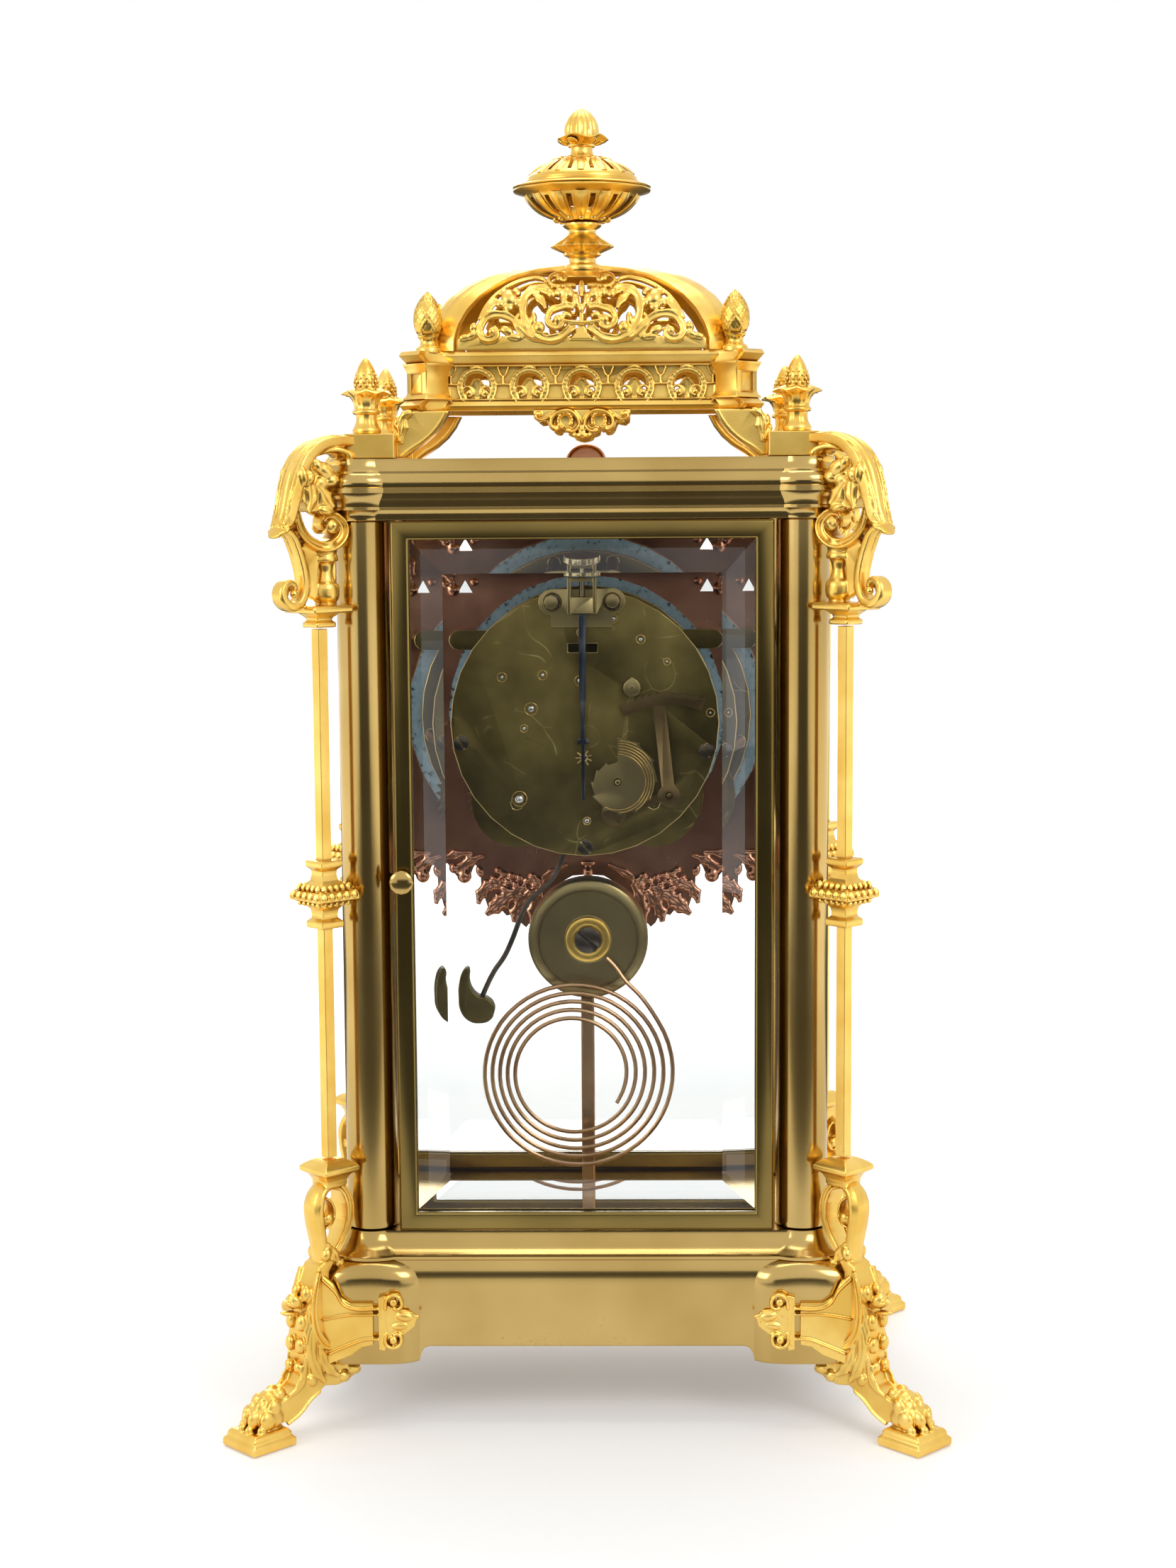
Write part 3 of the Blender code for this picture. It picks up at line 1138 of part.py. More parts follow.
def centre_wheel():
    """Centre arbor with its wheel and the pinion that the second wheel drives."""
    hand = (0, ARBOR_Z)
    toward = line_angle(hand, second_place())
    arbor = rod_along_y(CENTRE_ARBOR, CENTRE_NOSE_Y, BACK_PLATE_Y - PIVOT_END, *hand)
    wheel = rod_along_y(CENTRE_WHEEL_RADIUS, CENTRE_WHEEL_Y, CENTRE_WHEEL_Y + CENTRE_WHEEL_THICK, *hand,
                        PLATE_SIDES)
    pinion = gear(PINION_LEAVES, SECOND_MODULE, *hand, SECOND_WHEEL_Y - GAP,
                  SECOND_WHEEL_THICK + 2 * GAP, toward)
    return union([arbor, wheel, pinion])


def second_wheel():
    place = second_place()
    to_centre = line_angle(place, (0, ARBOR_Z))
    to_barrel = line_angle(place, (BARREL_X, BARREL_Z))
    arbor = rod_along_y(SECOND_ARBOR, FRONT_PLATE_Y + PIVOT_END, BACK_PLATE_Y - PIVOT_END, *place)
    wheel = gear(SECOND_TEETH, SECOND_MODULE, *place, SECOND_WHEEL_Y, SECOND_WHEEL_THICK,
                 to_centre + pi / SECOND_TEETH)
    pinion = gear(PINION_LEAVES, BARREL_MODULE, *place, BARREL_WHEEL_Y - GAP,
                  BARREL_WHEEL_THICK + 2 * GAP, to_barrel)
    return union([arbor, wheel, pinion])


def barrel(side):
    """Spring barrel with its toothed wheel, winding square and rear pivot."""
    place = (side * BARREL_X, BARREL_Z)
    mesh_angle = line_angle((BARREL_X, BARREL_Z), second_place()) + pi / BARREL_TEETH
    wheel_end = BARREL_WHEEL_Y + BARREL_WHEEL_THICK
    if side > 0:
        wheel = gear(BARREL_TEETH, BARREL_MODULE, *place, BARREL_WHEEL_Y, BARREL_WHEEL_THICK, mesh_angle)
    else:
        wheel = rod_along_y(BARREL_TEETH * BARREL_MODULE / 2, BARREL_WHEEL_Y, wheel_end, *place, BOSS_SIDES)
    drum = rod_along_y(BARREL_DRUM, wheel_end - BARREL_WHEEL_THICK / 2, BARREL_DRUM_END_Y, *place, BOSS_SIDES)
    arbor = rod_along_y(BARREL_ARBOR, BARREL_WHEEL_Y - OVERRUN, BARREL_TAIL_Y, *place)
    square = lathe_along_y(((WINDING_SQUARE, WINDING_END_Y), (WINDING_SQUARE, BARREL_WHEEL_Y + GAP)), 4, *place,
                           turn=pi / 4)
    return union([wheel, drum, arbor, square])


# Dial, mask and hands
def dial():
    """Dial with its three feet, which stand on the front plate."""
    back = DIAL_FACE_Y + DIAL_THICK
    shapes = [rod_along_y(DIAL_RADIUS, DIAL_FACE_Y, back, 0, ARBOR_Z, DIAL_SIDES)]
    for angle in (90, 210, 330):
        x = DIAL_FOOT_RING * cos(radians(angle))
        z = ARBOR_Z + DIAL_FOOT_RING * sin(radians(angle))
        shapes.append(rod_along_y(DIAL_FOOT_RADIUS, back - DIAL_THICK / 2, FRONT_PLATE_Y - PLATE_THICK - GAP, x, z))
    holes = ((DIAL_HOLE, 0, ARBOR_Z), (WINDING_HOLE, BARREL_X, BARREL_Z), (WINDING_HOLE, -BARREL_X, BARREL_Z))
    return cut(union(shapes), [rod_along_y(radius, DIAL_FACE_Y - OVERRUN, back + OVERRUN, x, z, KNOB_SIDES)
                               for radius, x, z in holes])


def dial_mask():
    """Sheet round the dial with a scalloped lower edge, a round window and two vents."""
    edge_shares = ((1.0, 0.96), (0.91, 0.8), (0.85, 0.98), (0.795, 1.02), (0.75, 0.84), (0.71, 0.725),
                   (0.665, 0.84), (0.64, 1.0), (0.61, 0.92), (0.605, 0.635), (0.565, 0.285), (0.515, 0.35),
                   (0.463, 0.185), (0.41, 0.23), (0.38, 0.065), (0.353, 0.0), (0.316, 0.125), (0.294, 0.39),
                   (0.176, 0.675), (0.088, 0.815), (0.0, 0.835))
    right = [(MASK_HALF * x, MASK_BOTTOM_Z + MASK_FRINGE * z) for x, z in edge_shares]
    top = CEILING_Z - GAP
    outline = [(MASK_HALF, top)] + right + [(-x, z) for x, z in reversed(right[:-1])] + [(-MASK_HALF, top)]
    back = DIAL_FACE_Y - GAP
    low = back - MASK_THICK - OVERRUN
    high = back + OVERRUN
    shape = slab_xz(outline, back - MASK_THICK, back)
    cutters = [rod_along_y(MASK_HOLE, low, high, 0, ARBOR_Z, DIAL_SIDES)]
    for side in (-1, 1):
        cutters.append(lathe_along_y(((VENT_HALF, low), (VENT_HALF, high)), 3, side * VENT_X, VENT_Z,
                                     turn=pi / 2))
    return cut(shape, cutters)


def hand_blade(shares, reach, y, angle):
    """Flat hand drawn upward from the arbor, then turned clockwise as seen from the front."""
    turn = radians(angle)
    outline = []
    for x, z in shares + [(-x, z) for x, z in reversed(shares[1:-1])]:
        outline.append((reach * (x * cos(turn) + z * sin(turn)),
                        ARBOR_Z + reach * (z * cos(turn) - x * sin(turn))))
    return slab_xz(outline, y, y + HAND_THICK)


def hour_hand():
    blade_shares = [(0.0, -0.1), (0.08, 0.0), (0.05, 0.3), (0.17, 0.42), (0.17, 0.55), (0.05, 0.66),
                    (0.0, 1.0)]
    wheel_end = HOUR_WHEEL_Y + HOUR_WHEEL_THICK
    profile = ((HOUR_PIPE, HOUR_Y + HAND_THICK / 2), (HOUR_PIPE, HOUR_WHEEL_Y), (HOUR_WHEEL_RADIUS, HOUR_WHEEL_Y),
               (HOUR_WHEEL_RADIUS, wheel_end))
    blade = hand_blade(blade_shares, HOUR_REACH, HOUR_Y, HOUR_ANGLE)
    hub = rod_along_y(HAND_HUB, HOUR_Y, HOUR_Y + HAND_THICK, 0, ARBOR_Z, KNOB_SIDES)
    bore = rod_along_y(CENTRE_ARBOR + RUN, HOUR_Y - OVERRUN, wheel_end + OVERRUN, 0, ARBOR_Z)
    return cut(union([blade, hub, lathe_along_y(profile, KNOB_SIDES, 0, ARBOR_Z)]), [bore])


def minute_hand():
    blade_shares = [(0.0, -0.22), (0.05, -0.16), (0.03, 0.0), (0.03, 0.45), (0.1, 0.53), (0.1, 0.61),
                    (0.03, 0.68), (0.05, 0.77), (0.0, 1.0)]
    blade = hand_blade(blade_shares, MINUTE_REACH, MINUTE_Y, MINUTE_ANGLE)
    hub = rod_along_y(HAND_HUB, MINUTE_Y, MINUTE_Y + HAND_THICK, 0, ARBOR_Z, KNOB_SIDES)
    bore = rod_along_y(CENTRE_ARBOR + RUN, MINUTE_Y - OVERRUN, MINUTE_Y + OVERRUN, 0, ARBOR_Z)
    return cut(union([blade, hub]), [bore])


# Suspension and crutch
def suspension_bracket():
    """Foot plate screwed to the back plate, two cheeks, a bridge and the chop block."""
    foot_y = SUSPENSION_FOOT_Y + SUSPENSION_FOOT_THICK
    high_pillars = pillar_places()[:2]
    ears = [rod_along_y(SUSPENSION_EAR_HALF, SUSPENSION_FOOT_Y, foot_y, x, z, KNOB_SIDES) for x, z in high_pillars]
    screws = [rod_along_y(SCREW_RADIUS, foot_y - GAP, foot_y + SCREW_HEAD, x, z) for x, z in high_pillars]
    low_ear = min(z for x, z in high_pillars)
    plate = box((high_pillars[1][0], SUSPENSION_FOOT_Y, SUSPENSION_FOOT_Z),
                (high_pillars[0][0], foot_y, low_ear + SUSPENSION_EAR_HALF))
    top = BRIDGE_Z + BRIDGE_THICK
    cheeks = []
    for side in (-1, 1):
        ends = sorted((SUSPENSION_X + side * CHEEK_HALF, SUSPENSION_X + side * (CHEEK_HALF - CHEEK_THICK)))
        cheeks.append(box((ends[0], foot_y - GAP, CHOP_BOTTOM_Z), (ends[1], CHEEK_END_Y, top)))
    reach = CHEEK_HALF - CHEEK_THICK / 2
    bridge = box((SUSPENSION_X - reach, foot_y, BRIDGE_Z), (SUSPENSION_X + reach, CHEEK_END_Y - GAP, top - GAP))
    chop = box((SUSPENSION_X - reach, SUSPENSION_Y - CHOP_HALF_DEPTH, CHOP_BOTTOM_Z + GAP),
               (SUSPENSION_X + reach, SUSPENSION_Y + CHOP_HALF_DEPTH, CHOP_TOP_Z))
    bore = rod_along_z(RATING_SCREW + RUN, CHOP_BOTTOM_Z - OVERRUN, top + OVERRUN, SUSPENSION_X, SUSPENSION_Y)
    return cut(union([plate] + ears + cheeks + [bridge, chop] + screws), [bore])


def rating_knob():
    """Notched knob on a screw that goes down into the chop block."""
    outline = []
    for i in range(RATING_NOTCHES):
        for share, radius in ((0.0, RATING_RADIUS), (0.55, RATING_RADIUS), (0.775, RATING_RADIUS - RATING_NOTCH_DEPTH)):
            angle = 2 * pi * (i + share) / RATING_NOTCHES
            outline.append((SUSPENSION_X + radius * cos(angle), SUSPENSION_Y + radius * sin(angle)))
    knob = join_rings([at_height(outline, RATING_Z), at_height(outline, RATING_Z + RATING_THICK)])
    screw = rod_along_z(RATING_SCREW, (CHOP_BOTTOM_Z + CHOP_TOP_Z) / 2, RATING_Z + GAP, SUSPENSION_X, SUSPENSION_Y)
    return union([knob, screw])


def suspension_leader():
    """Suspension spring and the rod that hangs from it through the crutch's fork."""
    half = LEADER_WIDTH / 2
    rod = LEADER_ROD / 2
    spring = box((SUSPENSION_X - half, SUSPENSION_Y - LEADER_THICK / 2, LEADER_ROD_Z - GAP),
                 (SUSPENSION_X + half, SUSPENSION_Y + LEADER_THICK / 2, LEADER_TOP_Z))
    bar = box((SUSPENSION_X - rod, SUSPENSION_Y - rod, LEADER_END_Z),
              (SUSPENSION_X + rod, SUSPENSION_Y + rod, LEADER_ROD_Z))
    return union([bar, spring])


def crutch():
    """Pallet arbor, with a wire that leaves through the slot and ends in a fork round the leader."""
    arbor = rod_along_y(CRUTCH_ARBOR, FRONT_PLATE_Y + PIVOT_END, BACK_PLATE_Y - PIVOT_END, SUSPENSION_X, CRUTCH_Z)
    arm = rod_along_z(CRUTCH_WIRE, SLOT_Z, CRUTCH_Z, SUSPENSION_X, CRUTCH_ARM_Y, HINGE_SIDES)
    through = rod_along_y(CRUTCH_WIRE, CRUTCH_ARM_Y - CRUTCH_WIRE, CRUTCH_Y + CRUTCH_WIRE, SUSPENSION_X, SLOT_Z,
                          HINGE_SIDES)
    wire = rod_along_z(CRUTCH_WIRE, CRUTCH_FORK_Z, SLOT_Z, SUSPENSION_X, CRUTCH_Y, HINGE_SIDES)
    inner = LEADER_ROD / 2 + RUN
    outer = inner + CRUTCH_TINE
    low = CRUTCH_FORK_Z - CRUTCH_TINE
    high = CRUTCH_FORK_Z + CRUTCH_TINE
    bar = box((SUSPENSION_X - outer, CRUTCH_Y - CRUTCH_TINE, low), (SUSPENSION_X + outer, CRUTCH_Y + CRUTCH_TINE, high))
    tines = []
    for side in (-1, 1):
        ends = sorted((SUSPENSION_X + side * inner, SUSPENSION_X + side * outer))
        tines.append(box((ends[0], CRUTCH_Y, low + GAP), (ends[1], SUSPENSION_Y + CRUTCH_TINE, high - GAP)))
    return union([arbor, arm, through, wire, bar] + tines)


# Strike work on the back plate
def snail():
    """Twelve-step cam on a wheel, bored for its stud; the steps fall clockwise from the back."""
    outline = []
    for i in range(SNAIL_STEPS):
        radius = SNAIL_HIGH + (SNAIL_LOW - SNAIL_HIGH) * i / (SNAIL_STEPS - 1)
        for share in (0.0, 0.999):
            angle = pi / 2 + 2 * pi * (i + share) / SNAIL_STEPS
            outline.append((SNAIL_X + radius * cos(angle), SNAIL_Z + radius * sin(angle)))
    cam = slab_xz(outline, SNAIL_Y, SNAIL_Y + SNAIL_THICK)
    hub = rod_along_y(SNAIL_HUB, SNAIL_HUB_Y, SNAIL_Y + SNAIL_THICK + GAP, SNAIL_X, SNAIL_Z)
    wheel = rod_along_y(SNAIL_WHEEL_RADIUS, SNAIL_WHEEL_Y, SNAIL_WHEEL_Y + SNAIL_WHEEL_THICK, SNAIL_X, SNAIL_Z,
                        KNOB_SIDES)
    bore = rod_along_y(STUD_RADIUS + RUN, SNAIL_HUB_Y - OVERRUN, STUD_END_Y + OVERRUN, SNAIL_X, SNAIL_Z)
    return cut(union([cam, hub, wheel]), [bore])


def rack_point(radius, angle):
    return RACK_X + radius * cos(radians(angle)), RACK_Z + radius * sin(radians(angle))


def rack():
    """Toothed arc on a stem, and a tail over the snail, on a hub that turns on its stud."""
    span = RACK_END - RACK_START
    outline = []
    for i in range(RACK_TEETH):
        start = RACK_START + span * i / RACK_TEETH
        outline += [rack_point(RACK_RADIUS, start), rack_point(RACK_RADIUS - RACK_TOOTH, start)]
    outline.append(rack_point(RACK_RADIUS, RACK_END))
    inner_steps = 4
    for i in range(inner_steps + 1):
        outline.append(rack_point(RACK_RADIUS - RACK_TOOTH - RACK_RIM, RACK_END - span * i / inner_steps))
    back = RACK_Y + RACK_THICK
    head = slab_xz(outline, RACK_Y, back)
    stem = stroke([rack_point(0, RACK_STEM_ANGLE), rack_point(RACK_RADIUS - RACK_RIM, RACK_STEM_ANGLE)],
                  [RACK_STEM, RACK_STEM], RACK_THICK / 2 - WELD)
    stem = move(stem, Matrix.Translation((0, RACK_Y + RACK_THICK / 2, 0)))
    hub = rod_along_y(RACK_HUB, RACK_HUB_Y, back + WELD, RACK_X, RACK_Z, KNOB_SIDES)
    tail_back = RACK_HUB_Y + RACK_TAIL_THICK
    tail_end = rod_along_y(RACK_TAIL_RADIUS, RACK_HUB_Y + WELD, tail_back, RACK_TAIL_X, RACK_TAIL_Z, KNOB_SIDES)
    tail = stroke([(RACK_X, RACK_Z), (RACK_TAIL_X, RACK_TAIL_Z)], [RACK_TAIL_WIDTH] * 2, RACK_TAIL_THICK / 2 - 2 * WELD)
    tail = move(tail, Matrix.Translation((0, RACK_HUB_Y + RACK_TAIL_THICK / 2, 0)))
    bore = rod_along_y(STUD_RADIUS + RUN, RACK_HUB_Y - OVERRUN, back + OVERRUN, RACK_X, RACK_Z)
    return cut(union([hub, head, stem, tail_end, tail]), [bore])


def gathering_pallet():
    arbor = rod_along_y(GATHER_ARBOR, FRONT_PLATE_Y + PIVOT_END, GATHER_Y + GATHER_THICK + GAP, GATHER_X, GATHER_Z)
    tip_share = 1.25
    turn = pi / 2
    outline = [(GATHER_X + GATHER_RADIUS * cos(a), GATHER_Z + GATHER_RADIUS * sin(a))
               for a in (turn + radians(40) + radians(280) * i / 10 for i in range(11))]
    outline.append((GATHER_X, GATHER_Z + GATHER_RADIUS * tip_share))
    return union([slab_xz(outline, GATHER_Y, GATHER_Y + GATHER_THICK), arbor])


# Hammer and gong
def hammer():
    wire_shares = ((0.0, 0.0), (0.04, -0.07), (0.072, -0.14), (0.109, -0.222), (0.145, -0.258), (0.196, -0.304),
                   (0.228, -0.364), (0.266, -0.46), (0.293, -0.516), (0.331, -0.571), (0.39, -0.69))
    head_shares = ((0.431, -0.552), (0.444, -0.561), (0.461, -0.608), (0.464, -0.663), (0.456, -0.719),
                   (0.424, -0.756), (0.383, -0.764), (0.346, -0.752), (0.33, -0.724), (0.332, -0.691),
                   (0.359, -0.665), (0.386, -0.66), (0.413, -0.636), (0.424, -0.598), (0.422, -0.561))
    wire = [(HAMMER_X + x, z) for x, z in on_sheet(wire_shares, HAMMER_SHEET, HAMMER_Z)]
    head = [(HAMMER_X + x, z) for x, z in on_sheet(head_shares, HAMMER_SHEET, HAMMER_Z)]
    rod = stroke(wire, [2 * HAMMER_WIRE] * len(wire), HAMMER_WIRE, 0.55)
    block = slab_xz(head, -HAMMER_HEAD_HALF_DEPTH, HAMMER_HEAD_HALF_DEPTH)
    arm = move(union([rod, block]), Matrix.Translation((0, HAMMER_Y, 0)))
    arbor = rod_along_y(HAMMER_ARBOR, FRONT_PLATE_Y + PIVOT_END, BACK_PLATE_Y - PIVOT_END, HAMMER_X, HAMMER_Z)
    return union([arbor, arm])


def gong_boss():
    """Heavy round block with a raised washer, bored for its screw."""
    c = BOSS_ROUND
    front = BOSS_FRONT_Y - BOSS_THICK
    bore = GONG_SCREW_SHANK + GAP
    profile = ((bore, front), (BOSS_RADIUS - c, front), (BOSS_RADIUS, front + c), (BOSS_RADIUS, BOSS_FRONT_Y - c),
               (BOSS_RADIUS - c, BOSS_FRONT_Y), (WASHER_RADIUS, BOSS_FRONT_Y),
               (WASHER_RADIUS, BOSS_FRONT_Y + WASHER_HEIGHT), (bore, BOSS_FRONT_Y + WASHER_HEIGHT))
    return lathe_along_y(profile, BOSS_SIDES, BOSS_X, BOSS_Z, bored=True)


def gong_screw():
    under = BOSS_FRONT_Y + WASHER_HEIGHT + GAP
    top = under + GONG_SCREW_HEIGHT
    shape = lathe_along_y(((GONG_SCREW_SHANK, BOSS_FRONT_Y - BOSS_THICK + GAP), (GONG_SCREW_SHANK, under),
                           (GONG_SCREW_RADIUS, under), (GONG_SCREW_RADIUS, top)), KNOB_SIDES, BOSS_X, BOSS_Z)
    slot = box((BOSS_X - GONG_SCREW_RADIUS - OVERRUN, (under + top) / 2, BOSS_Z - GONG_SCREW_SLOT / 2),
               (BOSS_X + GONG_SCREW_RADIUS + OVERRUN, top + OVERRUN, BOSS_Z + GONG_SCREW_SLOT / 2))
    tilt = Matrix.Rotation(radians(35), 4, "Y")
    place = Matrix.Translation((BOSS_X, 0, BOSS_Z))
    return cut(shape, [move(slot, place @ tilt @ place.inverted())])


def gong_post():
    return box((-POST_HALF, POST_Y - POST_HALF_DEPTH, FLOOR_Z + GAP),
               (POST_HALF, POST_Y + POST_HALF_DEPTH, BOSS_Z - BOSS_RADIUS - GAP))


def gong_path():
    """Lead-in from the washer, then a flat spiral that winds inward."""
    lead_shares = ((-0.508, 0.937, 0.55), (-0.639, 0.811, 0.85))
    rim = radians(225)
    clear = WASHER_RADIUS + GONG_WIRE_RADIUS + GAP
    seat_y = BOSS_FRONT_Y + GAP + GONG_WIRE_RADIUS
    rise = GONG_Y - seat_y
    start = (BOSS_X + clear * cos(rim), seat_y, BOSS_Z + clear * sin(rim))
    lead = [start, (start[0] + clear * cos(rim) / 2, seat_y + rise * 0.2, start[2] + clear * sin(rim) / 2)]
    lead += [(GONG_X + GONG_RADIUS * x, seat_y + rise * up, GONG_Z + GONG_RADIUS * z) for x, z, up in lead_shares]
    count = round(GONG_TURNS * GONG_TURN_POINTS)
    spiral = []
    for i in range(count + 1):
        turned = i / GONG_TURN_POINTS
        angle = radians(GONG_START) - 2 * pi * turned
        radius = GONG_RADIUS - GONG_PITCH * turned
        drift = GONG_DRIFT * turned / GONG_TURNS
        spiral.append((GONG_X + drift - radius * cos(angle), GONG_Y, GONG_Z + radius * sin(angle)))
    smooth = curve_through(lead + spiral[:2], 3)
    return smooth[:-4] + spiral


def least_gap(path, neighbours):
    """Smallest free space between parts of the path that lie more than some points apart."""
    points = [Vector(point) for point in path]
    nearest = min((a - b).length for i, a in enumerate(points) for b in points[i + neighbours:])
    return nearest - 2 * GONG_WIRE_RADIUS


def add_gong_coil():
    path = gong_path()
    curve = bpy.data.curves.new("gong_coil", "CURVE")
    curve.dimensions = "3D"
    curve.bevel_depth = GONG_WIRE_RADIUS
    curve.bevel_resolution = 1
    curve.use_fill_caps = True
    line = curve.splines.new("POLY")
    line.points.add(len(path) - 1)
    for point, place in zip(line.points, path):
        point.co = (*place, 1.0)
    curve.materials.append(finish_material(GONG_METAL))
    coil = bpy.data.objects.new("gong_coil", curve)
    bpy.context.collection.objects.link(coil)
    print("gong coil: least gap to itself", round(least_gap(path, GONG_TURN_POINTS // 2), 5), "m")


# Assembly
clear_scene()

add_piece("base_moulding", base_moulding(), BRASS)
add_piece("cornice", cornice(), BRASS)
add_corner_set("column", column(), BRASS)
add_piece("left_side_glass", side_glass(-1), GLASS)
add_piece("right_side_glass", side_glass(1), GLASS)
add_door("back_door", Matrix.Identity(4))
add_door("front_door", Matrix.Rotation(pi, 4, "Z"))

add_corner_set("corner_rod", corner_rod(), GILT)
add_corner_set("corner_bracket", corner_bracket(), GILT)
add_corner_set("foot", foot(), GILT)
add_corner_set("gallery_leg", gallery_leg(), GILT)
add_corner_set("urn_finial", urn_finial(), GILT)
add_piece("gallery_frieze", gallery_frieze(), GILT)
add_piece("dome", dome(), GILT)
add_piece("finial_bowl", finial_bowl(), GILT)
add_piece("finial_lid", finial_lid(), GILT)

HAND_AXIS = (0, 0, ARBOR_Z)
add_piece("back_plate", back_plate(), DARK_BRASS)
add_piece("front_plate", front_plate(), DARK_BRASS)
add_piece("centre_wheel", centre_wheel(), BRASS, HAND_AXIS)
second_x, second_z = second_place()
add_piece("second_wheel", second_wheel(), BRASS, (second_x, 0, second_z))
add_piece("time_barrel", barrel(1), BRASS, (BARREL_X, 0, BARREL_Z))
add_piece("strike_barrel", barrel(-1), BRASS, (-BARREL_X, 0, BARREL_Z))
add_piece("dial", dial(), ENAMEL)
add_piece("dial_mask", dial_mask(), COPPER)
add_piece("hour_hand", hour_hand(), BLUED, HAND_AXIS)
add_piece("minute_hand", minute_hand(), BLUED, HAND_AXIS)

add_piece("suspension_bracket", suspension_bracket(), BRASS)
add_piece("rating_knob", rating_knob(), BRASS, (SUSPENSION_X, SUSPENSION_Y, RATING_Z))
add_piece("suspension_leader", suspension_leader(), STEEL, (SUSPENSION_X, SUSPENSION_Y, FLEX_Z))
add_piece("crutch", crutch(), STEEL, (SUSPENSION_X, CRUTCH_Y, CRUTCH_Z))

add_piece("snail", snail(), STEEL, (SNAIL_X, SNAIL_Y, SNAIL_Z))
add_piece("rack", rack(), STEEL, (RACK_X, RACK_Y, RACK_Z))
add_piece("gathering_pallet", gathering_pallet(), STEEL, (GATHER_X, GATHER_Y, GATHER_Z))
add_piece("hammer", hammer(), STEEL, (HAMMER_X, HAMMER_Y, HAMMER_Z))
add_piece("gong_post", gong_post(), GONG_METAL)
add_piece("gong_boss", gong_boss(), GONG_METAL)
add_piece("gong_screw", gong_screw(), STEEL)
add_gong_coil()
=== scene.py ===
import json
import math

import bpy
from mathutils import Matrix, Vector

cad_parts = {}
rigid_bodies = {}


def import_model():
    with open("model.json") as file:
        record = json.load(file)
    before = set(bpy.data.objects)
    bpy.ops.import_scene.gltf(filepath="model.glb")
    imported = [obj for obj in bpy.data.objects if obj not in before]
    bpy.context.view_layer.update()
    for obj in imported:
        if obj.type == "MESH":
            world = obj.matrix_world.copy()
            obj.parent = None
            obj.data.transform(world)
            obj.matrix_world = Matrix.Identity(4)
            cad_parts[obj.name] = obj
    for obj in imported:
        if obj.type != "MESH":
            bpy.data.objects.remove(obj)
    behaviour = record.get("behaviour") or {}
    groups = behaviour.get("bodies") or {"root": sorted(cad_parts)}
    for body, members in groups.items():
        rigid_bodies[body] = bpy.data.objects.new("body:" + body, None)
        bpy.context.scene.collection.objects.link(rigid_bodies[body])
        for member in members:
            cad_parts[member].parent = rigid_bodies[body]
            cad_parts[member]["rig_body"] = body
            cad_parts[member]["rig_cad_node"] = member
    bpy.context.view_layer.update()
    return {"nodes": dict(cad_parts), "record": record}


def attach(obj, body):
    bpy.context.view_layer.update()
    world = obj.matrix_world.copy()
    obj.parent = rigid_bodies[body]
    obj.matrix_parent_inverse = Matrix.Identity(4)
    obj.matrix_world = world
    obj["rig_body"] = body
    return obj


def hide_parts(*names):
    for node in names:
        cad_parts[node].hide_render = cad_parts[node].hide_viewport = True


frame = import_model()
mm = 0.001
corners = {"back_right": (1, 1), "back_left": (-1, 1), "front_left": (-1, -1), "front_right": (1, -1)}
column = {"x": 77.6, "y": 36.0}  # axis of a column, mm
print("frame loaded")


# picking and finishing
def nothingPicked():
    if bpy.context.object and bpy.context.object.mode != "OBJECT":
        bpy.ops.object.mode_set(mode="OBJECT")
    bpy.ops.object.select_all(action="DESELECT")


def pick(*pieces):
    nothingPicked()
    for piece in pieces:
        piece.select_set(True)
    bpy.context.view_layer.objects.active = pieces[0]


def applyAll(piece):  # modifiers, in their order
    pick(piece)
    for modifier in list(piece.modifiers):
        bpy.ops.object.modifier_apply(modifier=modifier.name)
    return piece


def settle(piece, smooth=35, merge=0.00002):  # one clean surface, normals out, soft shading
    pick(piece)
    bpy.ops.object.transform_apply(location=True, rotation=True, scale=True)
    bpy.ops.object.mode_set(mode="EDIT")
    bpy.ops.mesh.select_all(action="SELECT")
    if merge:
        bpy.ops.mesh.remove_doubles(threshold=merge)
    bpy.ops.mesh.normals_make_consistent(inside=False)
    bpy.ops.object.mode_set(mode="OBJECT")
    bpy.ops.object.shade_smooth_by_angle(angle=math.radians(smooth))
    return piece


def joined(name, parts):
    pick(*parts)
    if len(parts) > 1:
        bpy.ops.object.join()
    piece = bpy.context.object
    piece.name = name
    piece.data.name = name
    return piece


def twin(piece, matrix, name=None):  # a copy with its own mesh, carried by a matrix
    copy = piece.copy()
    copy.data = piece.data.copy()
    bpy.context.collection.objects.link(copy)
    copy.data.transform(matrix)
    if matrix.determinant() < 0:
        copy.data.flip_normals()
    if name:
        copy.name = name
        copy.data.name = name
    return copy


def drop(*pieces):
    for piece in pieces:
        bpy.data.objects.remove(piece, do_unlink=True)


def mount(piece, body, nodes, finish):
    piece.data.materials.clear()
    piece.data.materials.append(finish)
    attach(piece, body)
    if nodes:
        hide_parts(*nodes)
    return piece


def bevelled(piece, width, segments=2, angle=30):
    edges = piece.modifiers.new("edges", "BEVEL")
    edges.width = width
    edges.segments = segments
    edges.limit_method = "ANGLE"
    edges.angle_limit = math.radians(angle)
    return applyAll(piece)


def gilded(piece, *nodes):
    return mount(piece, "case", list(nodes), finishes["gilt"])


def gildFront(piece):  # the dial side of a copper sheet is gilt
    piece.data.materials.append(finishes["gilt"])
    for face in piece.data.polygons:
        face.material_index = 1 if face.normal.y < -0.2 else 0


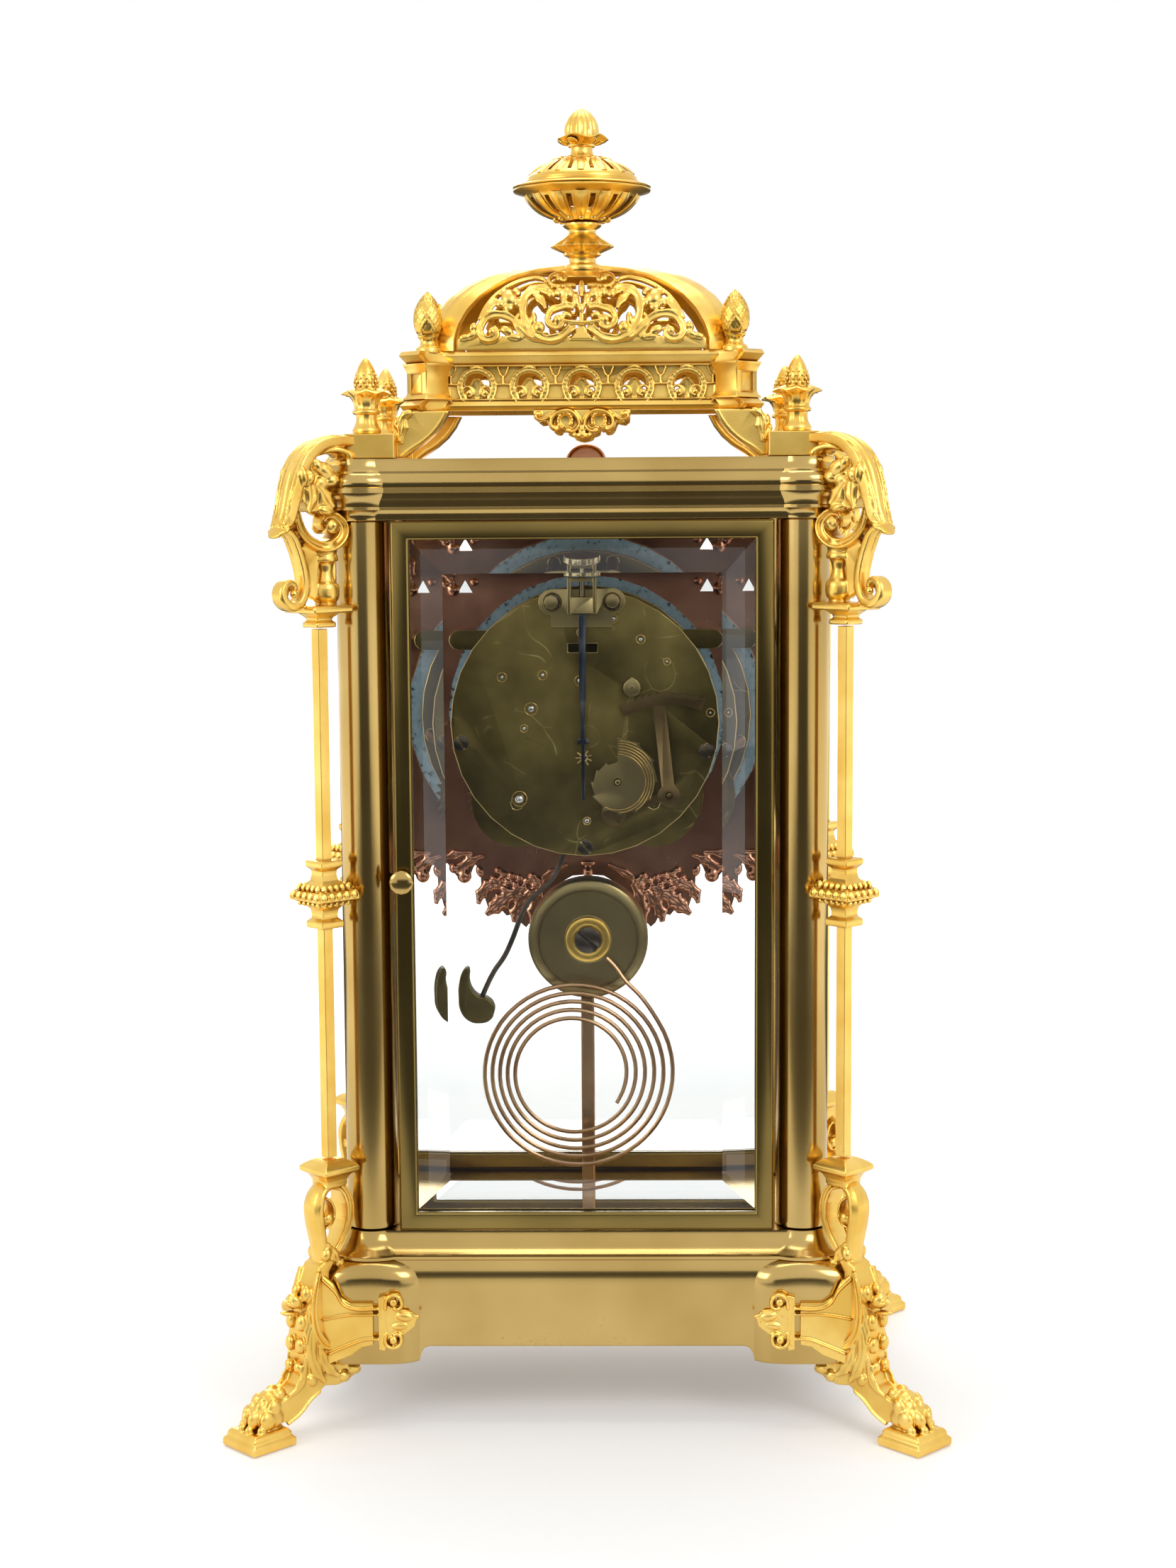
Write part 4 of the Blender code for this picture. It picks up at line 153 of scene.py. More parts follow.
# finishes
def addNode(tree, kind, inputs=None, **settings):
    made = tree.nodes.new(kind)
    for key, value in settings.items():
        setattr(made, key, value)
    for key, value in (inputs or {}).items():
        if hasattr(value, "is_output"):
            tree.links.new(value, made.inputs[key])
        else:
            made.inputs[key].default_value = value
    return made


def ramp(tree, fac, stops):
    made = addNode(tree, "ShaderNodeValToRGB", {"Fac": fac})
    elements = made.color_ramp.elements
    while len(elements) < len(stops):
        elements.new(0.5)
    for element, (place, colour) in zip(elements, stops):
        element.position = place
        element.color = (*colour, 1) if len(colour) == 3 else colour
    return made.outputs["Color"]


def blank(name):
    made = bpy.data.materials.new(name)
    made.use_nodes = True
    tree = made.node_tree
    shader = tree.nodes["Principled BSDF"]
    place = addNode(tree, "ShaderNodeTexCoord").outputs["Object"]
    return made, tree, shader, place


# reach of the occlusion that paints patina and shade into hollows
wear = {"grainScale": 2600.0, "grainDepth": 0.05 * mm, "specksFrom": 0.38, "specksFull": 0.54,
        "patinaShadeReach": 1.6 * mm,
        "scratchScale": 55.0, "scratchWidth": (0.004, 0.014), "scratchPatch": (0.54, 0.66)}


def wearGroup():  # cloudy tone, worn specks and fine grain, shared by the metals
    group = bpy.data.node_groups.new("metal wear", "ShaderNodeTree")
    for name, kind in (("Place", "NodeSocketVector"), ("Cloud Scale", "NodeSocketFloat"),
                       ("Speck Scale", "NodeSocketFloat")):
        group.interface.new_socket(name, in_out="INPUT", socket_type=kind)
    for name in ("Cloud", "Specks", "Grain"):
        group.interface.new_socket(name, in_out="OUTPUT", socket_type="NodeSocketFloat")
    given = addNode(group, "NodeGroupInput").outputs
    leave = addNode(group, "NodeGroupOutput")
    cloud = addNode(group, "ShaderNodeTexNoise", {"Vector": given["Place"], "Scale": given["Cloud Scale"],
                                                  "Detail": 3.0})
    speck = addNode(group, "ShaderNodeTexNoise", {"Vector": given["Place"], "Scale": given["Speck Scale"],
                                                  "Detail": 5.0, "Roughness": 0.65})
    patch = addNode(group, "ShaderNodeMath", {0: speck.outputs["Fac"], 1: cloud.outputs["Fac"]},
                    operation="MULTIPLY")
    mask = addNode(group, "ShaderNodeMapRange", {"Value": patch.outputs[0], "From Min": wear["specksFrom"],
                                                 "From Max": wear["specksFull"]})
    grain = addNode(group, "ShaderNodeTexNoise", {"Vector": given["Place"], "Scale": wear["grainScale"],
                                                  "Detail": 2.0})
    group.links.new(cloud.outputs["Fac"], leave.inputs["Cloud"])
    group.links.new(mask.outputs["Result"], leave.inputs["Specks"])
    group.links.new(grain.outputs["Fac"], leave.inputs["Grain"])
    return group


def blend(tree, mask, colour, other):
    return addNode(tree, "ShaderNodeMix", {"Factor": mask, "A": colour, "B": (*other, 1)},
                   data_type="RGBA").outputs["Result"]


def scratches(tree, place, cloud):  # mask of fine crossing lines, in patches
    wobble = addNode(tree, "ShaderNodeTexNoise", {"Vector": place, "Scale": 35.0, "Detail": 1.0})
    bent = addNode(tree, "ShaderNodeMix", {"Factor": 0.035, "A": place, "B": wobble.outputs["Color"]},
                   data_type="VECTOR")
    lines = addNode(tree, "ShaderNodeTexVoronoi",
                    {"Vector": bent.outputs["Result"], "Scale": wear["scratchScale"]},
                    feature="DISTANCE_TO_EDGE")
    inner, outer = wear["scratchWidth"]
    thin = addNode(tree, "ShaderNodeMapRange", {"Value": lines.outputs["Distance"], "From Min": inner,
                                                "From Max": outer, "To Min": 1.0, "To Max": 0.0})
    least, full = wear["scratchPatch"]
    some = addNode(tree, "ShaderNodeMapRange", {"Value": cloud, "From Min": least, "From Max": full,
                                                "To Max": 0.7})
    return addNode(tree, "ShaderNodeMath", {0: thin.outputs["Result"], 1: some.outputs["Result"]},
                   operation="MULTIPLY").outputs[0]


wearNodes = wearGroup()


# tones: dark and light of the cloud; rough: bare metal and specks; scales: cloud and specks; the hollow
# colour is patina with painted shade, laid into occluded hollows
def metal(title, tones, specks, rough, scales, grain, hollowPatinaShade=None, scratch=None):
    made, tree, shader, place = blank(title)
    worn = addNode(tree, "ShaderNodeGroup", node_tree=wearNodes)
    tree.links.new(place, worn.inputs["Place"])
    worn.inputs["Cloud Scale"].default_value, worn.inputs["Speck Scale"].default_value = scales
    colour = ramp(tree, worn.outputs["Cloud"], [(0.35, tones[0]), (0.65, tones[1])])
    colour = blend(tree, worn.outputs["Specks"], colour, specks)
    # patina and painted shade: hollows found by ambient occlusion are blended to a dark brown, part real
    # patina, part painted shade
    if hollowPatinaShade:
        shade = addNode(tree, "ShaderNodeAmbientOcclusion", {"Distance": wear["patinaShadeReach"]}, samples=6,
                        only_local=True)
        depth = addNode(tree, "ShaderNodeMapRange", {"Value": shade.outputs["AO"], "From Min": 0.3,
                                                     "From Max": 0.85, "To Min": 0.9, "To Max": 0.0})
        colour = blend(tree, depth.outputs["Result"], colour, hollowPatinaShade)
    if scratch:
        colour = blend(tree, scratches(tree, place, worn.outputs["Cloud"]), colour, scratch)
    tree.links.new(colour, shader.inputs["Base Color"])
    roughness = addNode(tree, "ShaderNodeMapRange", {"Value": worn.outputs["Specks"], "To Min": rough[0],
                                                     "To Max": rough[1]})
    tree.links.new(roughness.outputs["Result"], shader.inputs["Roughness"])
    shader.inputs["Metallic"].default_value = 1.0
    relief = addNode(tree, "ShaderNodeBump", {"Height": worn.outputs["Grain"], "Strength": grain,
                                              "Distance": wear["grainDepth"]})
    tree.links.new(relief.outputs["Normal"], shader.inputs["Normal"])
    return made


metals = {
    "gilt": {"title": "gilt bronze", "tones": ((0.80, 0.50, 0.10), (0.93, 0.64, 0.17)),
             "specks": (0.50, 0.24, 0.06),
             "rough": (0.30, 0.45), "scales": (60, 900), "grain": 0.4, "hollowPatinaShade": (0.32, 0.13, 0.03)},
    "brass": {"title": "satin brass", "tones": ((0.47, 0.315, 0.10), (0.60, 0.42, 0.15)),
              "specks": (0.38, 0.25, 0.085), "rough": (0.18, 0.27), "scales": (18, 900), "grain": 0.12},
    "doorBrass": {"title": "dull door brass", "tones": ((0.20, 0.140, 0.042), (0.28, 0.20, 0.060)),
                  "specks": (0.17, 0.115, 0.036), "rough": (0.22, 0.32), "scales": (20, 900), "grain": 0.12},
    "plate": {"title": "plate brass", "tones": ((0.105, 0.080, 0.026), (0.20, 0.155, 0.052)),
              "specks": (0.07, 0.05, 0.018), "rough": (0.42, 0.5), "scales": (45, 900), "grain": 0.3,
              "scratch": (0.60, 0.46, 0.18)},
    "rackBrass": {"title": "rack brass", "tones": ((0.15, 0.10, 0.045), (0.22, 0.15, 0.065)),
                  "specks": (0.10, 0.07, 0.035), "rough": (0.36, 0.45), "scales": (70, 900), "grain": 0.2},
    # painted highlight: a lighter brass laid on bevel faces in place of light caught on the edges
    "edgeHighlightBrass": {"title": "painted edge highlight brass", "tones": ((0.60, 0.45, 0.18), (0.74, 0.57, 0.25)),
                  "specks": (0.45, 0.32, 0.12), "rough": (0.3, 0.4), "scales": (90, 900), "grain": 0.1},
    "paleBrass": {"title": "pale brass", "tones": ((0.45, 0.38, 0.22), (0.58, 0.49, 0.30)),
                  "specks": (0.28, 0.2, 0.1),
                  "rough": (0.25, 0.4), "scales": (70, 900), "grain": 0.15},
    "bossBrass": {"title": "boss brass", "tones": ((0.29, 0.225, 0.10), (0.38, 0.30, 0.14)),
                  "specks": (0.2, 0.15, 0.07), "rough": (0.34, 0.5), "scales": (30, 900), "grain": 0.2},
    "copper": {"title": "copper back", "tones": ((0.46, 0.21, 0.13), (0.66, 0.34, 0.22)),
               "specks": (0.18, 0.07, 0.05),
               "rough": (0.22, 0.45), "scales": (50, 500), "grain": 0.3, "hollowPatinaShade": (0.16, 0.06, 0.04)},
    "steel": {"title": "dark steel", "tones": ((0.07, 0.06, 0.05), (0.13, 0.11, 0.09)),
              "specks": (0.05, 0.03, 0.02),
              "rough": (0.3, 0.5), "scales": (80, 900), "grain": 0.3},
    "brightSteel": {"title": "bright steel", "tones": ((0.42, 0.42, 0.40), (0.60, 0.60, 0.58)),
                    "specks": (0.25, 0.22, 0.18), "rough": (0.18, 0.4), "scales": (120, 900), "grain": 0.1},
    "leader": {"title": "blue wire", "tones": ((0.05, 0.065, 0.10), (0.15, 0.16, 0.19)),
               "specks": (0.05, 0.04, 0.04),
               "rough": (0.22, 0.4), "scales": (120, 900), "grain": 0.1},
    "blued": {"title": "blued steel", "tones": ((0.012, 0.028, 0.10), (0.03, 0.05, 0.16)),
              "specks": (0.01, 0.01, 0.03), "rough": (0.2, 0.4), "scales": (120, 900), "grain": 0.1},
    "gong": {"title": "gong bronze", "tones": ((0.40, 0.235, 0.13), (0.56, 0.37, 0.21)),
             "specks": (0.20, 0.10, 0.05),
             "rough": (0.3, 0.5), "scales": (60, 500), "grain": 0.3},
}
finishes = {name: metal(**look) for name, look in metals.items()}


def glassFinish():
    made, tree, shader, place = blank("clear glass")
    smear = addNode(tree, "ShaderNodeTexNoise", {"Vector": place, "Scale": 70.0, "Detail": 4.0})
    rough = addNode(tree, "ShaderNodeMapRange",
                    {"Value": smear.outputs["Fac"], "From Min": 0.45, "From Max": 0.8,
                     "To Min": 0.0, "To Max": 0.03})
    tint = ramp(tree, smear.outputs["Fac"], [(0.3, (0.985, 0.995, 0.99)), (0.7, (0.965, 0.985, 0.975))])
    tree.links.new(tint, shader.inputs["Base Color"])
    tree.links.new(rough.outputs["Result"], shader.inputs["Roughness"])
    shader.inputs["Transmission Weight"].default_value = 1.0
    shader.inputs["IOR"].default_value = 1.5
    return made


def enamelFinish():  # white glaze in front, pale blue counter enamel behind with a speckled rim
    look = {"centre": 0.2494, "rimFrom": 0.0505, "rimTo": 0.0530, "rimWear": 0.12, "gloss": 0.22}
    made, tree, shader, place = blank("dial enamel")
    normal = addNode(tree, "ShaderNodeNewGeometry").outputs["Normal"]
    face = addNode(tree, "ShaderNodeSeparateXYZ", {"Vector": normal})
    back = addNode(tree, "ShaderNodeMapRange", {"Value": face.outputs["Y"], "From Min": 0.2, "From Max": 0.6})
    speck = addNode(tree, "ShaderNodeTexNoise",
                    {"Vector": place, "Scale": 420.0, "Detail": 6.0, "Roughness": 0.7})
    around = addNode(tree, "ShaderNodeVectorMath", {0: place, 1: (0, 0, -look["centre"])}, operation="ADD")
    flat = addNode(tree, "ShaderNodeVectorMath", {0: around.outputs[0], 1: (1, 0, 1)}, operation="MULTIPLY")
    reach = addNode(tree, "ShaderNodeVectorMath", {0: flat.outputs[0]}, operation="LENGTH")
    rim = addNode(tree, "ShaderNodeMapRange", {"Value": reach.outputs["Value"], "From Min": look["rimFrom"],
                                               "From Max": look["rimTo"], "To Max": look["rimWear"]})
    worn = addNode(tree, "ShaderNodeMath", {0: speck.outputs["Fac"], 1: rim.outputs["Result"]},
                   operation="SUBTRACT")
    blue = ramp(tree, worn.outputs[0], [(0.33, (0.03, 0.04, 0.05)), (0.39, (0.33, 0.50, 0.60)),
                                        (0.62, (0.45, 0.63, 0.73))])
    cream = ramp(tree, speck.outputs["Fac"], [(0.3, (0.74, 0.72, 0.63)), (0.7, (0.82, 0.80, 0.71))])
    colour = addNode(tree, "ShaderNodeMix", {"Factor": back.outputs["Result"], "A": cream, "B": blue},
                     data_type="RGBA")
    tree.links.new(colour.outputs["Result"], shader.inputs["Base Color"])
    shader.inputs["Roughness"].default_value = look["gloss"]
    return made


def inkFinish():
    made, tree, shader, place = blank("dial ink")
    fade = addNode(tree, "ShaderNodeTexNoise", {"Vector": place, "Scale": 300.0})
    tree.links.new(ramp(tree, fade.outputs["Fac"], [(0.3, (0.008, 0.008, 0.01)), (0.7, (0.02, 0.02, 0.024))]),
                   shader.inputs["Base Color"])
    shader.inputs["Roughness"].default_value = 0.3
    return made


finishes["glass"] = glassFinish()
finishes["enamel"] = enamelFinish()
finishes["ink"] = inkFinish()

slotFinish = {"satin_brass": "brass", "clear_glass": "glass", "gilt_bronze": "gilt", "dark_brass": "plate",
              "enamel": "enamel", "copper_back": "copper", "blued_steel": "blued", "dark_steel": "steel",
              "gong_bronze": "gong"}
for part in frame["record"]["subparts"]:
    piece = frame["nodes"][part["node"]]
    piece.data.materials.clear()
    piece.data.materials.append(finishes[slotFinish[part["material_slot"]]])
print("finishes made")


# camera, floor, backdrop and lamps
def makeCamera():
    view = {"place": (-0.0174, 0.913, 0.3294), "lens": 56.92, "down": 0.1133, "aside": 0.0182,
            "lean": -0.0067}
    bpy.ops.object.camera_add(location=view["place"])
    camera = bpy.context.object
    turn = (Matrix.Rotation(math.pi + view["aside"], 4, "Z")
            @ Matrix.Rotation(math.pi / 2 - view["down"], 4, "X") @ Matrix.Rotation(view["lean"], 4, "Z"))
    camera.rotation_euler = turn.to_euler()
    camera.data.lens = view["lens"]
    camera.data.sensor_width = 36
    bpy.context.scene.camera = camera


def seenRays(tree):  # camera, mirror and glass rays
    path = addNode(tree, "ShaderNodeLightPath")
    first = addNode(tree, "ShaderNodeMath",
                    {0: path.outputs["Is Camera Ray"], 1: path.outputs["Is Glossy Ray"]},
                    operation="MAXIMUM")
    return addNode(tree, "ShaderNodeMath", {0: first.outputs[0], 1: path.outputs["Is Transmission Ray"]},
                   operation="MAXIMUM").outputs[0]


def makeFloor():
    look = {"size": 8.0, "colour": 0.78, "lift": 0.24, "whiteFrom": 0.45, "whiteBy": 1.3}
    nothingPicked()
    bpy.ops.mesh.primitive_plane_add(size=look["size"], location=(0, 0, -0.0002))
    floor = bpy.context.object
    floor.name = "floor"
    made, tree, shader, place = blank("pale floor")
    tone = addNode(tree, "ShaderNodeTexNoise", {"Vector": place, "Scale": 3.0})
    colour = ramp(tree, tone.outputs["Fac"],
                  [(0.3, (look["colour"],) * 3), (0.7, (look["colour"] + 0.01,) * 3)])
    tree.links.new(colour, shader.inputs["Base Color"])
    shader.inputs["Roughness"].default_value = 0.8
    lift = addNode(tree, "ShaderNodeEmission")
    reach = addNode(tree, "ShaderNodeVectorMath", {0: place}, operation="LENGTH")
    away = addNode(tree, "ShaderNodeMapRange",
                   {"Value": reach.outputs["Value"], "From Min": look["whiteFrom"],
                    "From Max": look["whiteBy"], "To Min": look["lift"], "To Max": 1.0})
    strength = addNode(tree, "ShaderNodeMath", {0: seenRays(tree), 1: away.outputs["Result"]},
                       operation="MULTIPLY")
    tree.links.new(strength.outputs[0], lift.inputs["Strength"])
    lit = addNode(tree, "ShaderNodeAddShader", {0: shader.outputs[0], 1: lift.outputs[0]})
    tree.links.new(lit.outputs[0], tree.nodes["Material Output"].inputs["Surface"])
    floor.data.materials.append(made)


def makeWorld():
    look = {"ambient": 0.55, "seen": 1.0}
    world = bpy.data.worlds.new("studio")
    bpy.context.scene.world = world
    world.use_nodes = True
    tree = world.node_tree
    back = tree.nodes["Background"]
    back.inputs["Color"].default_value = (1, 1, 1, 1)
    strength = addNode(tree, "ShaderNodeMapRange", {"Value": seenRays(tree), "To Min": look["ambient"],
                                                    "To Max": look["seen"]})
    tree.links.new(strength.outputs["Result"], back.inputs["Strength"])


def makeLamps():
    aim = Vector((0, 0, 0.22))
    lamps = {"key": ((-0.9, 1.1, 1.1), 0.7, 8.0), "fill": ((1.1, 0.8, 0.7), 0.6, 4.5),  # place, size, watts
             "top": ((0.0, -0.2, 1.6), 0.9, 8.0), "back": ((0.2, -1.3, 0.9), 0.8, 6.0)}
    for name, (place, size, power) in lamps.items():
        bpy.ops.object.light_add(type="AREA", location=place)
        lamp = bpy.context.object
        lamp.name = "lamp " + name
        lamp.data.size = size
        lamp.data.energy = power
        lamp.rotation_euler = (aim - Vector(place)).to_track_quat("-Z", "Y").to_euler()


def makeCards():  # dark studio cards that only reflections see
    look = {"tones": (0.035, 0.06),
            "cards": {"behind camera": ((0.0, 2.4, 0.19), (1.9, 0.4), 90),
                      "on the floor": ((0.0, 1.4, 0.0008), (1.9, 2.08), 0),
                      "before the dial": ((0.0, -2.4, 0.19), (1.9, 0.4), 90),
                      "on the front floor": ((0.0, -1.4, 0.0008), (1.9, 2.08), 0)}}
    made, tree, shader, place = blank("dark card")
    felt = addNode(tree, "ShaderNodeTexNoise", {"Vector": place, "Scale": 40.0})
    low, high = look["tones"]
    tree.links.new(ramp(tree, felt.outputs["Fac"], [(0.3, (low,) * 3), (0.7, (high,) * 3)]),
                   shader.inputs["Base Color"])
    shader.inputs["Roughness"].default_value = 1.0
    clear = addNode(tree, "ShaderNodeBsdfTransparent")
    inMirror = addNode(tree, "ShaderNodeMath",
                       {0: addNode(tree, "ShaderNodeLightPath").outputs["Glossy Depth"],
                        1: 0.5}, operation="GREATER_THAN")
    mixed = addNode(tree, "ShaderNodeMixShader", {0: inMirror.outputs[0], 1: clear.outputs[0],
                                                  2: shader.outputs[0]})
    tree.links.new(mixed.outputs[0], tree.nodes["Material Output"].inputs["Surface"])
    for name, (place, size, tilt) in look["cards"].items():
        nothingPicked()
        bpy.ops.mesh.primitive_plane_add(size=1, location=place, rotation=(math.radians(tilt), 0, 0))
        card = bpy.context.object
        card.name = "card " + name
        card.scale = (*size, 1)
        card.data.materials.append(made)
        card.visible_camera = False
        card.visible_diffuse = False
        card.visible_shadow = False


makeCamera()
makeFloor()
makeWorld()
makeLamps()
makeCards()
bpy.context.scene.view_settings.view_transform = "Standard"
print("studio ready")


# a merged copy of a CAD node with softened edges
def softened(node, width=0.25, smooth=35):
    copy = frame["nodes"][node].copy()
    copy.data = copy.data.copy()
    bpy.context.collection.objects.link(copy)
    copy.parent = None
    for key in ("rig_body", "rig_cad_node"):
        if key in copy:
            del copy[key]
    copy.name = "soft_" + node
    settle(copy, smooth)
    if width:
        bevelled(copy, width * mm, 2, smooth)
        bpy.ops.object.shade_smooth_by_angle(angle=math.radians(smooth))
    return copy


door = {"frameEdge": 0.3, "knobEdge": 0.2}
for side in ("back", "front"):
    frameSkin = softened(side + "_door_frame", door["frameEdge"])
    mount(frameSkin, side + "_door", [side + "_door_frame"], finishes["doorBrass"])
    knobSkin = softened(side + "_door_knob", door["knobEdge"])
    mount(knobSkin, side + "_knob", [side + "_door_knob"], finishes["brass"])
print("doors softened")


# casting tools: parts are drawn in mm on an upright sheet (x out, y up, z sideways), then carried into place
def sheetPart(name):
    piece = bpy.context.object
    piece.name = name
    bpy.ops.object.transform_apply(location=True, rotation=True, scale=True)
    return piece


def curveObject(points, closed, smooth):
    nothingPicked()
    bpy.ops.curve.primitive_bezier_curve_add()
    line = bpy.context.object
    line.data.dimensions = "2D"
    line.data.fill_mode = "NONE"
    spline = line.data.splines[0]
    spline.bezier_points.add(len(points) - 2)
    for knot, point in zip(spline.bezier_points, points):
        knot.co = (point[0], point[1], 0)
        knot.radius = point[2] if len(point) > 2 else 1
        knot.handle_left_type = knot.handle_right_type = "AUTO" if smooth else "VECTOR"
    spline.use_cyclic_u = closed
    return line


# bar along a path; its section gives outward and sideways shares of half the width and of the depth
def bar(path, width, depth, section, closed=False, steps=5, at=0):
    line = curveObject(path, closed, True)
    line.data.resolution_u = steps
    sides = [(-n * width / 2, t * depth) for n, t in section]
    profile = curveObject(sides, True, False)
    profile.data.resolution_u = 1
    line.data.bevel_mode = "OBJECT"
    line.data.bevel_object = profile
    line.data.use_fill_caps = True
    pick(line)
    bpy.ops.object.convert(target="MESH")
    drop(profile)
    line.location.z = at
    return sheetPart("bar")


def both(half):  # a section drawn for one side, closed over the other
    return half + [(n, -t) for n, t in reversed(half) if abs(t) > 0.001]


roundSection = [(math.cos(i * math.pi / 5), math.sin(i * math.pi / 5)) for i in range(10)]
channelSection = both([(1, 0), (1, 0.85), (0.8, 1), (0.45, 1), (0.25, 0.68), (-0.45, 0.62), (-0.6, 0.85),
                       (-0.85, 0.85), (-1, 0.6), (-1, 0)])
strapSection = both([(1, 0), (0.8, 0.5), (0.7, 0.62), (1, 0.8), (0.8, 1), (-0.6, 1), (-1, 0.7), (-1, 0)])


def ball(x, y, z, size, turn=0, sides=14):
    nothingPicked()
    size = size if isinstance(size, tuple) else (size,) * 3
    bpy.ops.mesh.primitive_uv_sphere_add(segments=sides, ring_count=sides // 2, location=(x, y, z),
                                         rotation=(0, 0, math.radians(turn)))
    bpy.context.object.scale = size
    return sheetPart("ball")


def plate(outline, low, high):  # filled outline, extruded across the sheet
    nothingPicked()
    bpy.ops.mesh.primitive_circle_add(vertices=len(outline), fill_type="NGON")
    piece = bpy.context.object
    for corner, (x, y) in zip(piece.data.vertices, outline):
        corner.co = (x, y, low)
    bpy.ops.object.mode_set(mode="EDIT")
    bpy.ops.mesh.select_all(action="SELECT")
    bpy.ops.mesh.extrude_region_move(TRANSFORM_OT_translate={"value": (0, 0, high - low)})
    bpy.ops.object.mode_set(mode="OBJECT")
    return sheetPart("plate")


# profile of radius and height, spun round an upright axis; wave ripples it before it is placed
def turned(profile, x=0, sides=24, wave=None):
    nothingPicked()
    bpy.ops.mesh.primitive_plane_add(size=1)
    piece = bpy.context.object
    bpy.ops.object.mode_set(mode="EDIT")
    bpy.ops.mesh.select_all(action="SELECT")
    bpy.ops.mesh.merge(type="CENTER")
    r, y = profile[0]
    bpy.ops.transform.translate(value=(r, y, 0))
    for (r, y), (nextR, nextY) in zip(profile, profile[1:]):
        bpy.ops.mesh.extrude_region_move(TRANSFORM_OT_translate={"value": (nextR - r, nextY - y, 0)})
    bpy.ops.mesh.select_all(action="SELECT")
    bpy.ops.mesh.spin(steps=sides, angle=2 * math.pi, center=(0, 0, 0), axis=(0, 1, 0))
    bpy.ops.mesh.select_all(action="SELECT")
    bpy.ops.mesh.remove_doubles(threshold=0.01)
    bpy.ops.mesh.select_all(action="DESELECT")
    bpy.ops.mesh.select_non_manifold(extend=False)
    bpy.ops.mesh.edge_face_add()
    bpy.ops.object.mode_set(mode="OBJECT")
    if wave:
        wave(piece)
    piece.location = (x, 0, 0)
    return sheetPart("turned")


def stacked(levels, x=0, z=0):  # square mouldings: (half width, height) from below
    nothingPicked()
    half, y = levels[0]
    bpy.ops.mesh.primitive_plane_add(size=2 * half, location=(0, y, 0), rotation=(math.pi / 2, 0, 0))
    bpy.ops.object.transform_apply(location=True, rotation=True)
    bpy.ops.object.mode_set(mode="EDIT")
    bpy.ops.mesh.select_all(action="SELECT")
    for (half, y), (nextHalf, nextY) in zip(levels, levels[1:]):
        bpy.ops.mesh.extrude_region_move(TRANSFORM_OT_translate={"value": (0, nextY - y, 0)})
        bpy.ops.transform.resize(value=(nextHalf / half, 1, nextHalf / half), center_override=(0, nextY, 0))
    bpy.ops.object.mode_set(mode="OBJECT")
    piece = bpy.context.object
    piece.location = (x, 0, z)
    return sheetPart("stack")


# cast leaf along a spine, with lobed edges, a hollow midrib and a lifted body
def leaf(spine, widths, rise, at, lobes, thick=1.0):
    look = {"along": 6, "across": 8, "notch": 0.28, "vein": 0.18, "cup": 0.3, "midrib": 0.22}
    along = look["along"] * (len(spine) - 1)
    line = curveObject(spine, False, True)
    line.data.resolution_u = look["along"]
    pick(line)
    bpy.ops.object.convert(target="MESH")
    track = [v.co.copy() for v in line.data.vertices]
    drop(line)
    nothingPicked()
    bpy.ops.mesh.primitive_grid_add(x_subdivisions=along, y_subdivisions=look["across"], size=2)
    piece = bpy.context.object
    last = len(track) - 1
    for v in piece.data.vertices:
        u, side = (v.co.x + 1) / 2, v.co.y
        i = min(int(u * last), last - 1)
        here = track[i].lerp(track[i + 1], u * last - i)
        ahead = (track[i + 1] - track[i]).normalized()
        w = u * (len(widths) - 1)
        k = min(int(w), len(widths) - 2)
        wide = widths[k] * (k + 1 - w) + widths[k + 1] * (w - k)
        notch = 1 - look["notch"] * abs(math.sin(math.pi * lobes * u)) ** 0.7
        vein = look["vein"] * math.cos(2 * math.pi * lobes * u) * abs(side)
        fold = look["cup"] * math.exp(-(side / look["midrib"]) ** 2)
        lift = rise * (1 - side * side * (1 - look["cup"]) - fold + vein)
        v.co = here + Vector((-ahead.y, ahead.x, 0)) * side * wide * (1 + (notch - 1) * abs(side))
        v.co.z = at + lift
    wall = piece.modifiers.new("wall", "SOLIDIFY")
    wall.thickness = thick
    wall.offset = -1
    applyAll(piece)
    return sheetPart("leaf")


def mirrored(parts):  # the same parts on the far side of the sheet
    flip = Matrix.Scale(-1, 4, (0, 0, 1))
    return parts + [twin(part, flip) for part in parts]


def cast(name, parts, voxel, keep, soften=2):  # parts melted into one skin, thinned to a share of its faces
    piece = joined(name, parts)
    melt = piece.modifiers.new("melt", "REMESH")
    melt.mode = "VOXEL"
    melt.voxel_size = voxel
    calm = piece.modifiers.new("calm", "SMOOTH")
    calm.factor = 0.5
    calm.iterations = soften
    thin = piece.modifiers.new("thin", "DECIMATE")
    thin.ratio = keep
    applyAll(piece)
    bpy.ops.object.shade_smooth()
    return piece


# carrying sheets into place: each matrix turns mm on the sheet into metres on the clock
def carried(xRow, yRow, zRow=(0, 1, 0, 0)):
    return Matrix.Scale(mm, 4) @ Matrix((xRow, yRow, zRow, (0, 0, 0, 1)))


def cornerMatrix(corner):  # out along that corner's diagonal, from the column's axis
    sx, sy = corners[corner]
    d = math.sqrt(0.5)
    return carried((sx * d, 0, -sx * d, sx * column["x"]), (sy * d, 0, sy * d, sy * column["y"]))


def planted(sx, sy, x, y):  # upright, mirrored by the signs and set down at x, y
    return carried((sx, 0, 0, sx * x), (0, 0, sy, sy * y))


def longWall(side, out):  # onto a long wall's face
    return carried((-side, 0, 0, 0), (0, 0, side, side * out))


def shortWall(side, out):
    return carried((0, 0, side, side * out), (side, 0, 0, 0))


def facing(x, z):  # a turned part's upright axis becomes the clock's depth
    return Matrix.Scale(mm, 4) @ Matrix.Translation((x, 0, z))


